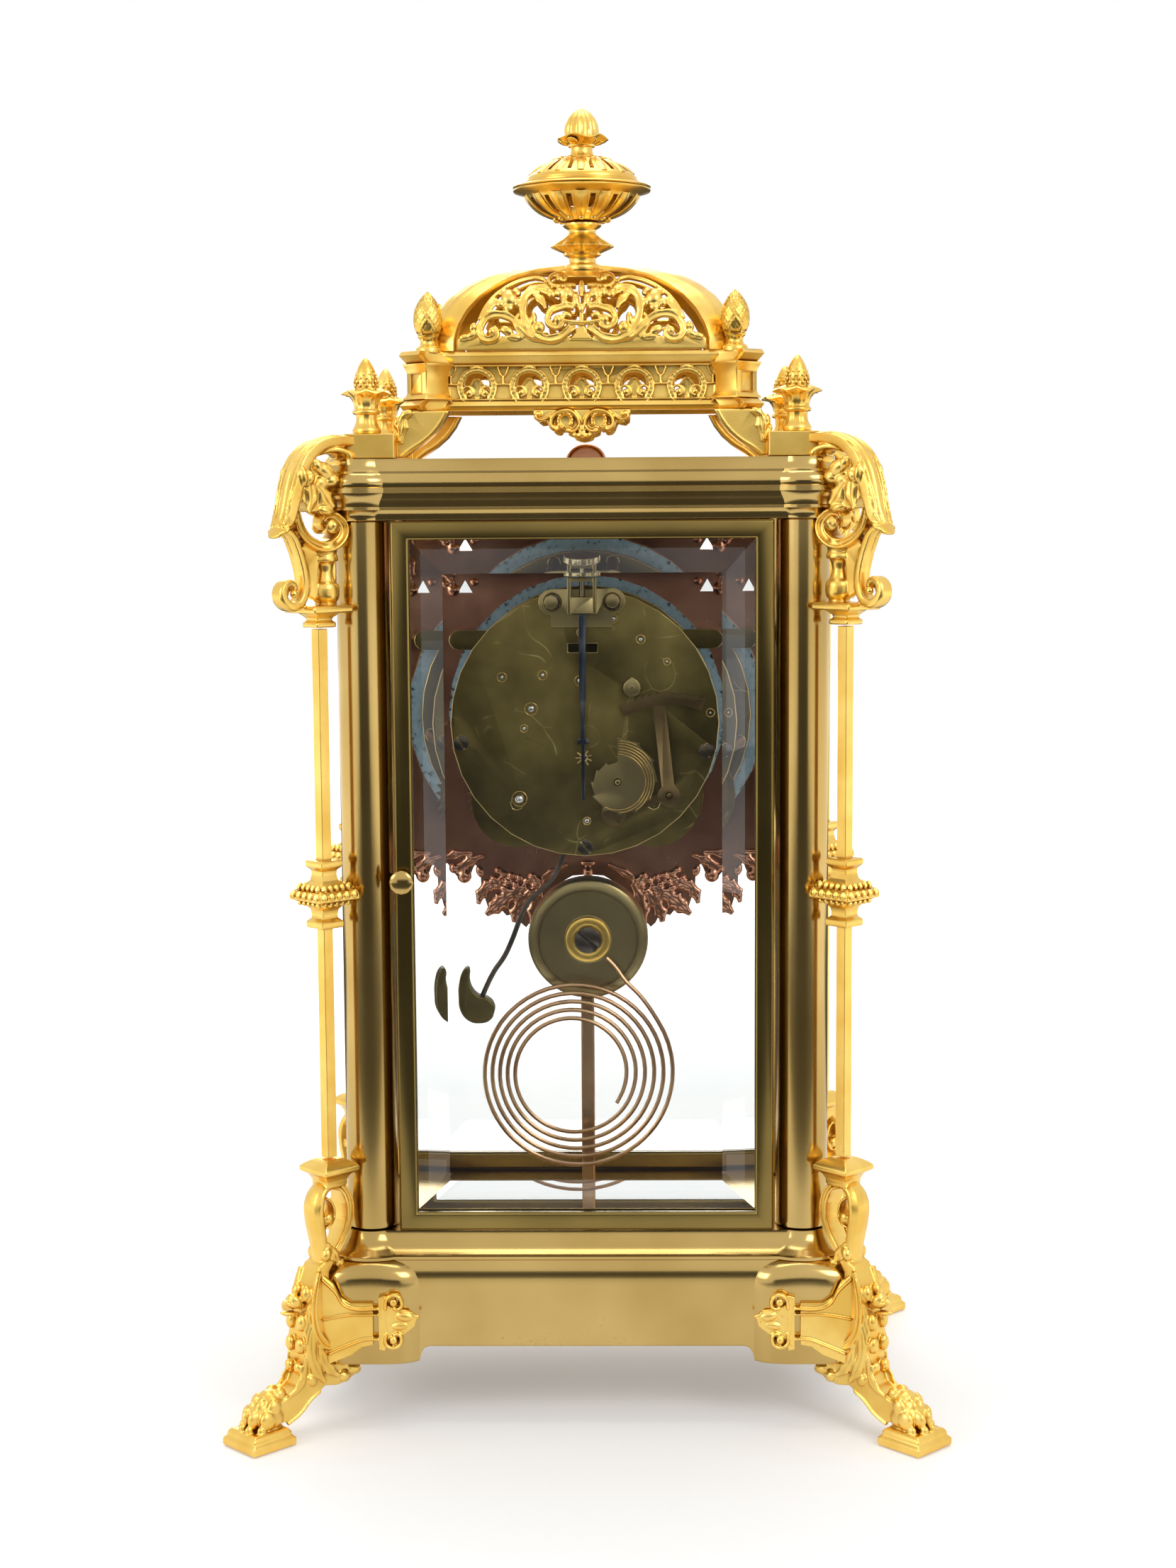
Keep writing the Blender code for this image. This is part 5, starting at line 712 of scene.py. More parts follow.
def flipped(parts):  # the same parts on the other side of x = 0
    return parts + [twin(part, Matrix.Scale(-1, 4, (1, 0, 0))) for part in parts]


def ringed(part, count, turn=0):  # copies round the sheet's upright axis, the first one kept
    step = 2 * math.pi / count
    part.data.transform(Matrix.Rotation(turn, 4, "Y"))
    return [part] + [twin(part, Matrix.Rotation(step * i, 4, "Y")) for i in range(1, count)]


def hatched(points, low=0.78):  # a path whose thickness goes up and down, for chased bands
    return [(x, y, 1 if i % 2 else low) for i, (x, y) in enumerate(points)]


def arcPath(x, y, radius, start, end, steps):
    turns = [math.radians(start + (end - start) * i / steps) for i in range(steps + 1)]
    return [(x + radius * math.cos(a), y + radius * math.sin(a)) for a in turns]


# case castings: mouldings that wrap each column as a turret; power 2 makes it round, a higher one squarer
def turretRing(half, face, power, heights):
    look = {"steps": 28, "blend": ((3.6, 0.0), (1.9, 0.12), (0.7, 0.45))}  # off the turret, share of the rise

    def reach(angle):
        return half / (abs(math.cos(angle)) ** power + abs(math.sin(angle)) ** power) ** (1 / power)
    low, high = math.pi / 2, math.pi
    for _ in range(30):  # where the turret meets the straight face
        middle = (low + high) / 2
        if reach(middle) * math.sin(middle) > face:
            low = middle
        else:
            high = middle
    start, end = low, math.pi / 2 - low
    arc = [start + (end - start) * i / look["steps"] for i in range(look["steps"] + 1)]
    arc = [(reach(a) * math.cos(a), reach(a) * math.sin(a)) for a in arc]
    run = [(arc[0][0] - out, face) for out, share in look["blend"]]
    quadrant = run + arc + [(face, arc[-1][1] - out) for out, share in reversed(look["blend"])]
    shares = [share for out, share in look["blend"]]
    rises = shares + [1.0] * len(arc) + shares[::-1]
    skirt, block = heights
    points = [(column["x"] + u, column["y"] + v, skirt + (block - skirt) * share)
              for (u, v), share in zip(quadrant, rises)]
    ring = points + [(x, -y, z) for x, y, z in reversed(points)]
    return ring + [(-x, -y, z) for x, y, z in points] + [(-x, y, z) for x, y, z in reversed(points)]


def lofted(name, rings):  # rings in mm, each extruded from the one before and moved into place
    nothingPicked()
    bpy.ops.mesh.primitive_circle_add(vertices=len(rings[0]), fill_type="NGON")
    piece = bpy.context.object
    for corner, place in zip(piece.data.vertices, rings[0]):
        corner.co = place
    lift = 1000.0
    for ring, nextRing in zip(rings, rings[1:]):
        bpy.ops.object.mode_set(mode="EDIT")
        bpy.ops.mesh.extrude_region_move(TRANSFORM_OT_translate={"value": (0, 0, lift)})
        bpy.ops.object.mode_set(mode="OBJECT")
        for corner in piece.data.vertices:
            if corner.co.z > lift / 2:
                x, y, z = corner.co
                nearest = min(range(len(ring)), key=lambda i: (ring[i][0] - x) ** 2 + (ring[i][1] - y) ** 2)
                corner.co = nextRing[nearest]
    piece.data.transform(Matrix.Scale(mm, 4))
    piece.name = name
    piece.data.name = name
    return settle(piece, 28, 0)


def cornicePiece():  # half width and straight face at the neck and the fillet; each level is a share between
    look = {"neck": (10.9, 9.3), "fillet": (15.0, 12.1),
            "levels": [(323.5, 0.0), (324.4, 0.0), (325.6, 0.08), (326.5, 0.26), (327.0, 0.4), (327.05, 0.52),
                       (328.0, 0.52), (328.05, 0.42), (329.2, 0.47), (330.6, 0.64), (331.9, 0.84),
                       (332.9, 0.9), (333.0, 1.0), (334.7, 1.0), (334.75, 0.86), (335.6, 0.93), (336.8, 0.95),
                       (338.0, 0.87), (339.1, 0.7), (339.6, 0.58), (339.65, 0.5), (340.4, 0.5), (340.45, 0.4),
                       (341.2, 0.26), (342.4, 0.12), (343.6, 0.05),
                       (344.7, 0.04)]}
    rings = []
    for z, out in look["levels"]:
        size = [a + (b - a) * out for a, b in zip(look["neck"], look["fillet"])]
        rings.append(turretRing(size[0], size[1], 2.0, (z, z)))
    return lofted("cornice_skin", rings)


def basePiece():  # height of the skirt and of the blocks, half width, straight face, squareness
    outside = [(69.0, 69.0, 10.4, 9.1, 2.0), (68.2, 68.2, 10.6, 9.2, 2.0), (66.4, 66.4, 11.3, 9.8, 2.0),
               (64.6, 64.6, 12.7, 10.9, 2.0), (63.0, 63.0, 14.7, 12.5, 2.0), (61.9, 61.9, 16.6, 14.1, 2.0),
               (61.3, 61.3, 17.4, 15.0, 2.0), (61.2, 61.2, 17.7, 15.4, 2.0), (60.5, 60.5, 17.7, 15.4, 2.0),
               (60.4, 60.4, 17.1, 14.9, 2.0), (60.0, 60.0, 17.1, 14.9, 2.0), (59.9, 59.9, 17.4, 15.2, 2.1),
               (59.0, 59.0, 18.5, 15.6, 2.4), (57.6, 57.6, 19.7, 16.2, 2.8), (55.8, 55.8, 20.5, 16.7, 3.2),
               (53.6, 53.6, 20.9, 16.95, 3.5), (50.5, 50.5, 21.0, 17.0, 3.6), (29.2, 23.9, 21.0, 17.0, 3.6),
               (28.7, 23.3, 20.7, 16.7, 3.6)]
    inside = [(28.7, 23.3, 18.4, 14.4, 3.6), (30.5, 25.2, 18.2, 14.2, 3.6), (56.0, 56.0, 17.6, 14.0, 3.6)]
    rings = [turretRing(half, face, power, (skirt, block))
             for skirt, block, half, face, power in outside + inside]
    return lofted("base_skin", rings)


def crestPiece():  # cast shell over the front of the cornice
    look = {"middle": 341, "face": -46.7, "rim": 0.93, "rays": (-70, -35, 0, 35, 70), "rayReach": 4.8}
    outline = [(0, 351.8), (3.6, 351.0), (6.4, 348.8), (7.9, 345.4), (8.4, 341), (7.4, 336.4),
               (4.6, 332.6), (0, 330.2)]
    outline += [(-x, y) for x, y in reversed(outline[1:-1])]
    inner = [(x * look["rim"], look["middle"] + (y - look["middle"]) * look["rim"]) for x, y in outline]
    parts = [plate(outline, -1.6, 0.0), bar(inner, 1.3, 1.7, roundSection, closed=True)]
    for turn in look["rays"]:
        lean, reach = math.radians(turn), look["rayReach"]
        x, y = reach * math.sin(lean), look["middle"] + 0.5 + reach * math.cos(lean)
        parts.append(ball(x, y, -1.6, (1.4, 3.6, 1.3), -turn))
    parts += [ball(0, 339.4, -1.8, (3.0, 2.6, 1.4)), ball(0, 334.4, -1.7, (2.2, 3.2, 1.2))]
    skin = cast("crest", parts, 0.3, 0.5)
    skin.data.transform(carried((1, 0, 0, 0), (0, 0, 1, look["face"])))
    return settle(skin, 60, 0)


mount(basePiece(), "case", ["base_moulding"], finishes["brass"])
mount(cornicePiece(), "case", ["cornice"], finishes["brass"])
gildFront(mount(crestPiece(), "case", [], finishes["copper"]))
shaft = turned([(0.3, 69.3), (8.9, 69.3), (9.3, 69.7), (9.3, 322.8), (8.9, 323.2), (0.3, 323.2)], sides=72)
for corner, (sx, sy) in corners.items():
    piece = twin(shaft, planted(sx, sy, column["x"], column["y"]), "shaft_" + corner)
    mount(settle(piece, 40, 0.000005), "case", ["column_" + corner], finishes["brass"])
drop(shaft)
print("case cast")


# corner brackets
bracket = {"crownWidth": 5.4, "crownDepth": 5.0, "voluteWidth": 3.4, "voluteDepth": 4.2, "armWidth": 2.9,
           "armDepth": 3.0, "curlWidth": 3.4, "curlDepth": 5.0, "bodyHalf": 4, "webHalf": 1.6,
           "axis": 19.8, "vaseAxis": 16.8, "voxel": 0.36, "keep": 0.42}
crownSection = both([(1, 0), (0.97, 0.2), (0.75, 0.36), (0.42, 0.44), (0.42, 0.5), (0.8, 0.57), (0.86, 0.66),
                     (0.7, 0.73), (0.34, 0.77), (0.34, 0.85), (0.78, 0.9), (0.7, 1.0), (-0.5, 1.0),
                     (-0.8, 0.8), (-0.9, 0)])


def bracketMaster():
    crown = bar([(3, 350.7, 0.8), (9, 351.0, 0.85), (15, 350.6, 0.9), (20.5, 349.0, 0.95), (25, 346, 1),
                 (28.5, 341.3, 1.05), (30.8, 335.5, 1.05), (32.4, 329.5, 1), (34.0, 324.5, 0.95),
                 (36.4, 320.8, 0.75)], bracket["crownWidth"], bracket["crownDepth"], crownSection)
    curlLeaf = bar([(20, 346.6, 0.6), (16, 347.8, 0.85), (11.5, 347.6, 1.1), (8.6, 345.6, 1.25),
                    (9.2, 343.6, 1.1), (11.4, 343.4, 0.7)],
                   bracket["curlWidth"], bracket["curlDepth"], roundSection)
    tip = [ball(36.4, 320.4, 0, (3.2, 1.3, 5.6), -38), ball(38.2, 318.7, 0, (1.6, 1.0, 3.6), -30)]
    side = [
        # upper leaf of three lobes, beside the cornice
        ball(19.4, 340.6, 4.6, (4.4, 2.6, 2.2), 35), ball(16.8, 337.4, 4.8, (2.7, 2.3, 2.2), -10),
        ball(22.6, 342.2, 4.4, (2.6, 1.9, 1.9), 60), ball(20.5, 336.6, 4.0, (3.2, 2.2, 1.8), 10),
        # ball and leaf beside the crown
        ball(26.6, 338.2, 4.7, (2.2, 2.6, 2.1), 20), ball(29.6, 338.6, 5.2, (1.5, 3.4, 1.9), -8),
        leaf([(28.6, 342.0), (26.2, 336.6), (25.6, 331.0), (27.4, 326.4)], [1.2, 2.8, 2.9, 1.2], 1.5, 4.0, 2),
        # veined lower leaf
        leaf([(23.4, 336.2), (20.4, 333.0), (18.2, 330.0), (16.4, 327.8)], [1.4, 3.4, 3.6, 1.6], 1.6, 3.8, 2),
        ball(24.4, 331.4, 3.9, (1.6, 2.6, 1.7), 10),
        ball(18.6, 326.8, 3.9, (3.4, 1.6, 1.6), 12),
        # eyes of the scrolls
        ball(16.3, 321.6, 4.0, (2.7, 2.7, 1.2)), ball(16.0, 321.9, 4.9, (1.3, 1.3, 0.9)),
        ball(32.5, 298.6, 2.6, (1.5, 1.5, 1.4)),
    ]
    body = plate([(29.5, 341), (26, 343), (21, 342.5), (17.5, 339.5), (17, 336.5), (19, 334), (18, 330),
                  (19.5, 327.5), (24, 326.5), (29, 330)], -bracket["bodyHalf"], bracket["bodyHalf"])
    volute = bar([(30.6, 335.5, 0.75), (31, 330, 0.9), (30.3, 324, 1), (27.6, 318.6, 1.05),
                  (23.4, 315.6, 1.1), (18.3, 314.6, 1.15), (13.6, 316.4, 1.2), (11.3, 320.0, 1.2),
                  (12.8, 323.6, 1.1), (16.4, 325.0, 0.9), (19.0, 322.8, 0.65), (17.6, 320.4, 0.45)],
                 bracket["voluteWidth"], bracket["voluteDepth"], channelSection)
    arm = bar([(36.0, 321.0, 0.9), (32.4, 318.8, 0.95), (30.0, 314.6, 1), (28.2, 309.6, 1), (27.0, 304.6, 1),
               (26.9, 300.2, 1), (28.2, 296.4, 1.05), (31.2, 294.2, 1.1), (34.9, 295.0, 1.1),
               (36.8, 298.4, 1.05), (35.2, 301.8, 0.95), (31.9, 301.9, 0.8), (30.5, 299.5, 0.6)],
              bracket["armWidth"], bracket["armDepth"], strapSection)
    web = plate([(27.8, 318), (27.2, 311), (25.5, 303), (26.2, 298), (22, 296), (21, 303), (20.5, 309),
                 (22, 314.5)], -bracket["webHalf"], bracket["webHalf"])
    vase = turned([(0.1, 292), (3.6, 292), (3.7, 295.4), (4.5, 296), (4.9, 297.4), (4.9, 300.2), (4.5, 301.5),
                   (3.5, 302.4), (2.9, 304), (2.6, 306), (3.0, 308), (3.6, 309), (4.7, 309.6), (4.6, 311.0),
                   (4.1, 311.6), (4.4, 313), (4.2, 316), (0.1, 316)], bracket["vaseAxis"])
    shelf = stacked([(8.3, 291.7), (8.6, 292.2), (8.6, 293.6), (8.0, 294.2)], bracket["axis"])
    socket = stacked([(4.1, 286.6), (4.3, 286.9), (4.3, 288.2), (3.3, 288.9), (3.3, 289.8), (4.2, 290.6),
                      (5.6, 291.9)], bracket["axis"])
    return cast("bracket",
                [crown, curlLeaf, *tip, *mirrored(side), body, volute, arm, web, vase, shelf, socket],
                bracket["voxel"], bracket["keep"])


def cornerBlock(corner):  # square block over the column
    look = {"x": 74.0, "y": 34.5, "middle": 349.25, "side": 17.6, "height": 8.5, "edge": 0.35}
    sx, sy = corners[corner]
    nothingPicked()
    bpy.ops.mesh.primitive_cube_add(size=1,
                                    location=(sx * look["x"] * mm, sy * look["y"] * mm, look["middle"] * mm))
    block = bpy.context.object
    block.scale = (look["side"] * mm, look["side"] * mm, look["height"] * mm)
    bpy.ops.object.transform_apply(location=True, rotation=True, scale=True)
    return bevelled(block, look["edge"] * mm)


bracketSkin = bracketMaster()
for corner in corners:
    piece = joined("bracket_" + corner, [twin(bracketSkin, cornerMatrix(corner)), cornerBlock(corner)])
    gilded(piece, "corner_bracket_" + corner)
drop(bracketSkin)
print("brackets cast")


# corner rods with their knop
def rodMaster():
    look = {"half": 2.0, "axis": 19.8, "edge": 0.15, "beadsASide": 5, "pitch": 3.3, "reach": 8.6,
            # height, share of the reach, size of each row of beads
            "rows": [(192.6, 1, (1.3, 1.5, 1.3)), (195.2, 0.8, (1.2, 1.5, 1.0)),
                     (189.8, 0.78, (1.1, 1.1, 1.0))]}
    half = look["half"]
    rod = stacked([(half, 97.8), (half, 180.6), (4.5, 180.7), (4.7, 181.2), (4.7, 183.0),
                   (3.4, 184.2), (3.3, 185.4), (3.6, 187.2), (4.8, 188.6), (6.6, 189.8), (7.4, 190.4),
                   (8.7, 190.9), (8.8, 191.8), (8.6, 193.4), (6.8, 194.6), (5.2, 196.0), (3.6, 197.6),
                   (3.2, 199.6), (3.3, 201.2), (4.4, 202.2), (4.7, 202.8), (4.7, 204.2), (4.4, 204.7),
                   (half, 204.8), (half, 286.0)],
                  look["axis"])
    beads = []
    for i in range(4 * look["beadsASide"]):  # pearls and leaf tips round the widest part
        side, step = divmod(i, look["beadsASide"])
        along, out = (step - 2) * look["pitch"], look["reach"]
        x, z = ((along, out), (out, -along), (-along, -out), (-out, along))[side]
        beads += [ball(look["axis"] + x * share, y, z * share, size, 0, 8) for y, share, size in look["rows"]]
    bevelled(rod, look["edge"], 1)
    bpy.ops.object.shade_smooth_by_angle(angle=math.radians(30))
    return joined("rod", [rod, *beads])


rodSkin = rodMaster()
for corner in corners:
    gilded(twin(rodSkin, cornerMatrix(corner), "rod_" + corner), "corner_rod_" + corner)
drop(rodSkin)
print("rods made")


# paw feet with their straps
foot = {"voxel": 0.36, "keep": 0.42, "bodyDepth": 4.6, "axis": 19.8, "paw": 53,
        "toes": ((-5.2, 54.6), (-1.8, 57.4), (1.8, 57.4), (5.2, 54.6)),
        "strap": 2.4, "strapVoxel": 0.26, "strapKeep": 0.5, "baseHalf": (98.6, 57.0)}


def footMaster():
    body = plate([(24.2, 62), (28.5, 60), (31.6, 53.3), (34.2, 46), (35.6, 38), (35.6, 30), (35.8, 23),
                  (38.0, 18.5), (46, 15), (50, 9), (43, 6.6), (37, 9), (32.5, 13), (27, 16), (21.4, 14.8),
                  (16, 15.6), (12, 17.9), (11, 20), (12, 22.6), (24.3, 23), (24.3, 57), (22, 60.5)],
                 -foot["bodyDepth"], foot["bodyDepth"])
    harp = bar([(21.5, 88, 0.9), (17.0, 86.6, 1), (14.4, 82.6, 1.15), (13.6, 77.5, 1.2), (14.6, 72, 1.15),
                (17.2, 66.8, 1), (21, 62.8, 0.95), (24.6, 60.4, 0.9)], 3.2, 4.0, channelSection)
    harpBack = bar([(21.0, 88.2, 0.9), (24.8, 86.2, 1), (27.0, 81.6, 1.15), (27.0, 76, 1.15), (26, 70.4, 1.1),
                    (25.2, 65, 1), (25.0, 60, 0.9)], 4.6, 4.4, roundSection)
    spiral = bar([(26, 84.4, 0.7), (22.8, 83.2, 0.8), (20.4, 80.2, 0.9), (20.4, 76.2, 1), (22.6, 73.4, 1),
                  (25.4, 73.6, 0.9), (26.2, 76.4, 0.8), (24.2, 78.2, 0.6)], 1.9, 3.6, roundSection)
    backLimb = bar([(24.6, 86, 0.6), (27.8, 82, 1), (28.4, 77, 1.1), (27.4, 71, 1), (26.6, 66, 0.8)],
                   1.6, 2.4, roundSection)
    side = [
        ball(23.2, 76.3, 3.6, (2.0, 2.0, 1.1)),
        # fold at the waist
        leaf([(24.5, 67.5), (22.0, 64.2), (20.4, 61.2), (18.6, 58.6)], [0.8, 2.2, 2.4, 0.8], 1.3, 3.4, 2),
        ball(25.0, 63.6, 4.0, (1.8, 2.6, 1.7), 20), ball(18.6, 59.4, 3.4, (2.3, 1.3, 1.4), -15),
        # big hatched scroll of the body
        bar([(29.4, 58.4, 0.6), (31.0, 53, 0.8), (32.2, 47, 1), (32.0, 40, 1.1), (29.6, 34.2, 1.15),
             (25.6, 30.8, 1.1), (21.6, 31.2, 1), (19.8, 34.4, 0.9), (21.4, 37.8, 0.8), (24.6, 37.4, 0.65),
             (25.2, 34.8, 0.5)], 2.7, 1.5, channelSection, at=5.1),
        ball(22.6, 34.6, 5.6, (1.9, 1.9, 1.2)), ball(22.6, 34.6, 6.6, (0.9, 0.9, 0.7)),
        # sprays of acanthus
        leaf([(31.8, 44), (33.4, 36), (33.0, 28), (30.2, 21.5), (27.6, 17.6)],
             [0.8, 2.6, 3.0, 2.4, 0.8], 1.5, 4.7, 3),
        leaf([(30.0, 33), (28.6, 27), (25.4, 22), (21.4, 18.6)], [0.8, 2.6, 2.6, 1.0], 1.5, 4.9, 3),
        leaf([(27.4, 31), (23.4, 26.4), (18.8, 23.8), (14.4, 23.2)], [0.8, 2.3, 2.3, 0.9], 1.4, 4.8, 2),
        ball(14.0, 19.2, 4.6, (3.2, 2.2, 1.9), 15), ball(18.6, 17.6, 4.9, (2.6, 2.2, 1.7), 30),
        leaf([(35.6, 29), (36.6, 22.6), (39.4, 18.2), (43.6, 16.4)], [0.8, 2.0, 2.2, 0.8], 1.3, 4.2, 2),
        ball(33.2, 19.6, 4.7, (2.6, 2.0, 1.4), 40),
        # nubs of the outer edge, seen past the body
        ball(33.6, 51, 2.6, (1.8, 3.0, 2.0), 14), ball(36.2, 41, 2.8, (1.7, 3.2, 2.0), 6),
        ball(36.8, 32.6, 2.8, (1.5, 3.0, 2.0)), ball(37.4, 24.4, 2.6, (1.6, 2.6, 1.9), -10),
        # hatched inner edge of the leg
        bar([(29, 14.6, 0.8), (33.6, 12.4, 1), (38.4, 8.6, 1), (44, 6.2, 0.9)], 1.4, 0.9,
            roundSection, at=4.3),
    ]
    spikes = [ball(38.6, 47.6, 0, (1.2, 3.6, 2.2), -60), ball(39.2, 44.6, 0, (1.0, 3.8, 2.0), -78),
              ball(36.6, 48.4, 0, (2.2, 3.4, 3.0), -35)]
    cap = stacked([(4.3, 87.4), (4.5, 89.6), (5.4, 91.4), (7.6, 92.9), (7.8, 93.3), (7.8, 94.4), (7.0, 95.2),
                   (4.8, 96.6), (3.2, 97.3)], foot["axis"])
    plinth = stacked([(9.0, 0.15), (9.3, 0.5), (9.3, 2.8), (8.8, 3.3), (8.2, 3.8), (8.1, 5.0), (7.6, 5.8),
                      (7.2, 6.2), (6.8, 6.4)], foot["paw"])
    paw = [ball(50.5, 10, 0, (7.0, 6.0, 6.6), 15), ball(48.0, 14.5, 0, (5.2, 4.6, 4.8), 30),
           ball(44.5, 12.5, 0, (6.0, 4.4, 4.6), 20)]
    for t, reach in foot["toes"]:  # each with its claw
        paw += [ball(reach - 1.6, 10.2, t, (3.4, 3.6, 1.9), -20),
                ball(reach - 4.6, 14.0, t * 0.9, (2.8, 3.2, 1.8), 20),
                ball(reach + 1.2, 7.2, t, (1.9, 1.8, 1.3), -10)]
    paw += [ball(45.6, 17.2, t, (2.6, 2.4, 2.0), 20) for t in (-2.2, 2.2)]
    return cast("foot", [body, harp, harpBack, spiral, backLimb, *mirrored(side), *spikes, cap, plinth, *paw],
                foot["voxel"], foot["keep"])


def strapMaster():  # trefoil strap: x along the block's face, y up, z off the face
    face = plate([(95, 58), (90, 53.5), (87.4, 48.6), (84, 46.4), (76, 46.4), (76, 31.2), (80, 30.4),
                  (84, 27.4), (95, 23)], 0, foot["strap"] - 0.5)
    parts = [
        face,
        bar([(94, 55.6), (89, 50.4), (86.6, 46.4), (83, 44.6), (74, 44.6)], 1.1, 1.4, roundSection, at=1.6),
        bar([(94, 40.6), (84, 42.2), (74, 42.4)], 0.9, 1.3, roundSection, at=1.5),
        bar([(92, 28), (84, 31.4), (79, 33.2), (74, 33.4)], 1.1, 1.3, roundSection, at=1.5),
        plate([(74, 48.6), (74, 29.6), (71.6, 29.2), (71.6, 49.4)], 0, foot["strap"]),
        plate([(71.8, 46.5), (68.5, 44.6), (62, 43.2), (60.4, 41), (61.2, 38), (64.4, 35.4),
               (68.5, 33.4), (71.8, 33)], 0, 1.9),
        bar([(71.6, 44.4, 0.8), (70.9, 48.2, 1), (68.2, 49.6, 1), (65.8, 47.6, 1), (66.4, 44.8, 0.9),
             (68.8, 44.6, 0.7)], 1.7, 1.5, roundSection, at=1.8),
        bar([(71.6, 35.4, 0.8), (71.2, 31.4, 1), (68.2, 30.4, 1), (66.0, 32.6, 1), (66.8, 35.2, 0.9),
             (69.0, 35.0, 0.7)], 1.7, 1.5, roundSection, at=1.8),
        ball(68.6, 46.9, 2.2, (1.5, 1.5, 1.0)), ball(68.8, 33.0, 2.2, (1.5, 1.5, 1.0)),
        ball(64.8, 41.6, 1.7, (3.2, 1.8, 1.2), 10), ball(60.6, 41.4, 1.2, (1.2, 0.9, 0.9)),
        ball(66.4, 38.2, 1.5, (3.4, 1.6, 1.2), -6),
    ]
    return cast("strap", parts, foot["strapVoxel"], foot["strapKeep"])


def strapMatrix(corner, across):
    sx, sy = corners[corner]
    halfX, halfY = foot["baseHalf"]
    if across:  # reflected over the corner's diagonal: x and y trade places round the column axis
        return carried((0, 0, sx, sx * halfX), (sy, 0, 0, sy * (column["y"] - column["x"])))
    return planted(sx, sy, 0, halfY)


footSkin, strapSkin = footMaster(), strapMaster()
for corner in corners:
    parts = [twin(footSkin, cornerMatrix(corner)), twin(strapSkin, strapMatrix(corner, False)),
             twin(strapSkin, strapMatrix(corner, True))]
    gilded(joined("paw_foot_" + corner, parts), "foot_" + corner)
drop(footSkin, strapSkin)
print("feet cast")

# gallery: legs, urns, arcade, pinecones and pendants
gallery = {"legDepth": 4.4, "wallY": 24.2, "wallX": 52.2, "pendantY": 25.4, "legY": 30, "urn": (75.5, 35),
           "urnTurn": 8, "cone": (54.2, 26.2), "archPitch": 18.6, "archZ": 369.9, "archVoxel": 0.24,
           "archesLong": 5, "archesShort": 2, "railLong": 46, "railShort": 18}


def rippled(piece, bands):  # (low, high, least radius, angle -> widening and lift), for turned parts
    for v in piece.data.vertices:
        r, angle = math.hypot(v.co.x, v.co.z), math.atan2(v.co.z, v.co.x)
        for low, high, least, change in bands:
            if low < v.co.y < high and r > least:
                grow, lift = change(angle)
                v.co.x *= grow
                v.co.z *= grow
                v.co.y += lift
                break


def legMaster():
    body = plate([(65.2, 345.3), (65.4, 352.5), (64.0, 356.5), (62.6, 361.5), (46.5, 361.5), (48.6, 357.4),
                  (51.6, 353.5), (55.4, 350.2), (60, 347.2), (62.5, 345.3)], -gallery["legDepth"],
                 gallery["legDepth"])
    lip = bar([(47.6, 361.4), (49.6, 357.8), (52.5, 354.1), (56.2, 350.9), (60.6, 348.1), (63.6, 345.6)],
              1.1, 4.8, roundSection)
    side = [leaf([(62.0, 361.2), (63.2, 357.6), (63.6, 354.2), (64.2, 350.6)],
                 [1.2, 2.5, 2.0, 0.8], 1.5, 3.9, 2),
            ball(61.6, 360.4, 4.3, (2.6, 1.3, 1.2), -30), ball(65.0, 357.6, 3.6, (1.4, 2.4, 1.6), 10),
            ball(65.6, 352.6, 3.4, (1.1, 2.2, 1.5), 12), ball(66.2, 354.8, 3.2, (0.9, 1.4, 1.2))]
    return cast("leg", [body, lip, *mirrored(side)], 0.3, 0.4)


def urnMaster():
    look = {"leaves": 7, "rimWave": 0.06, "rimLift": 0.45, "flutes": 12, "fluteWave": 0.035,
            "beads": 10, "beadRadii": (3.9, 4.0, 3.8, 3.4, 2.9, 2.3, 1.6), "beadPitch": 1.25}

    def rim(angle):
        wave = math.cos(look["leaves"] * angle)
        return 1 - look["rimWave"] * wave, look["rimLift"] * wave + 0.2 * math.sin(4 * angle)

    def flute(angle):
        return 1 + look["fluteWave"] * math.cos(look["flutes"] * angle), 0

    def frill(piece):
        rippled(piece, [(367.3, 368.2, 6, rim), (362.5, 367, 0, flute), (356.5, 360, 0, flute)])
    body = turned([(0.2, 353.7), (4.8, 353.7), (5.0, 354.3), (5.0, 355.0), (4.7, 355.7), (4.1, 356.5),
                   (3.7, 357.6), (3.5, 359), (3.7, 360.2), (4.6, 360.5), (5.0, 361), (4.9, 361.6),
                   (4.3, 362.1), (4.1, 362.8), (4.4, 364), (5.0, 365.4), (5.9, 366.5), (8.2, 367.4),
                   (8.4, 367.7), (8.1, 368.1), (5.8, 368.6), (4.2, 369.4), (3.8, 370.6), (3.9, 372),
                   (3.6, 374), (2.9, 376.2), (1.9, 378.2), (0.9, 379.6),
                   (0.2, 380)], sides=48, wave=frill)
    beads = []
    for row, r in enumerate(look["beadRadii"]):  # bead scales of the bud
        y, size = 370.4 + row * look["beadPitch"], 0.82 - row * 0.06
        bead = ball(r, y, 0, (size * 0.7, size, size), 0, 8)
        beads += ringed(bead, look["beads"], math.pi / look["beads"] * (row % 2))
    leaves = ringed(ball(6.0, 368.6, 0, (1.9, 0.5, 1.5), -22, 10), look["leaves"])
    return joined("urn", [body, *beads, *leaves])


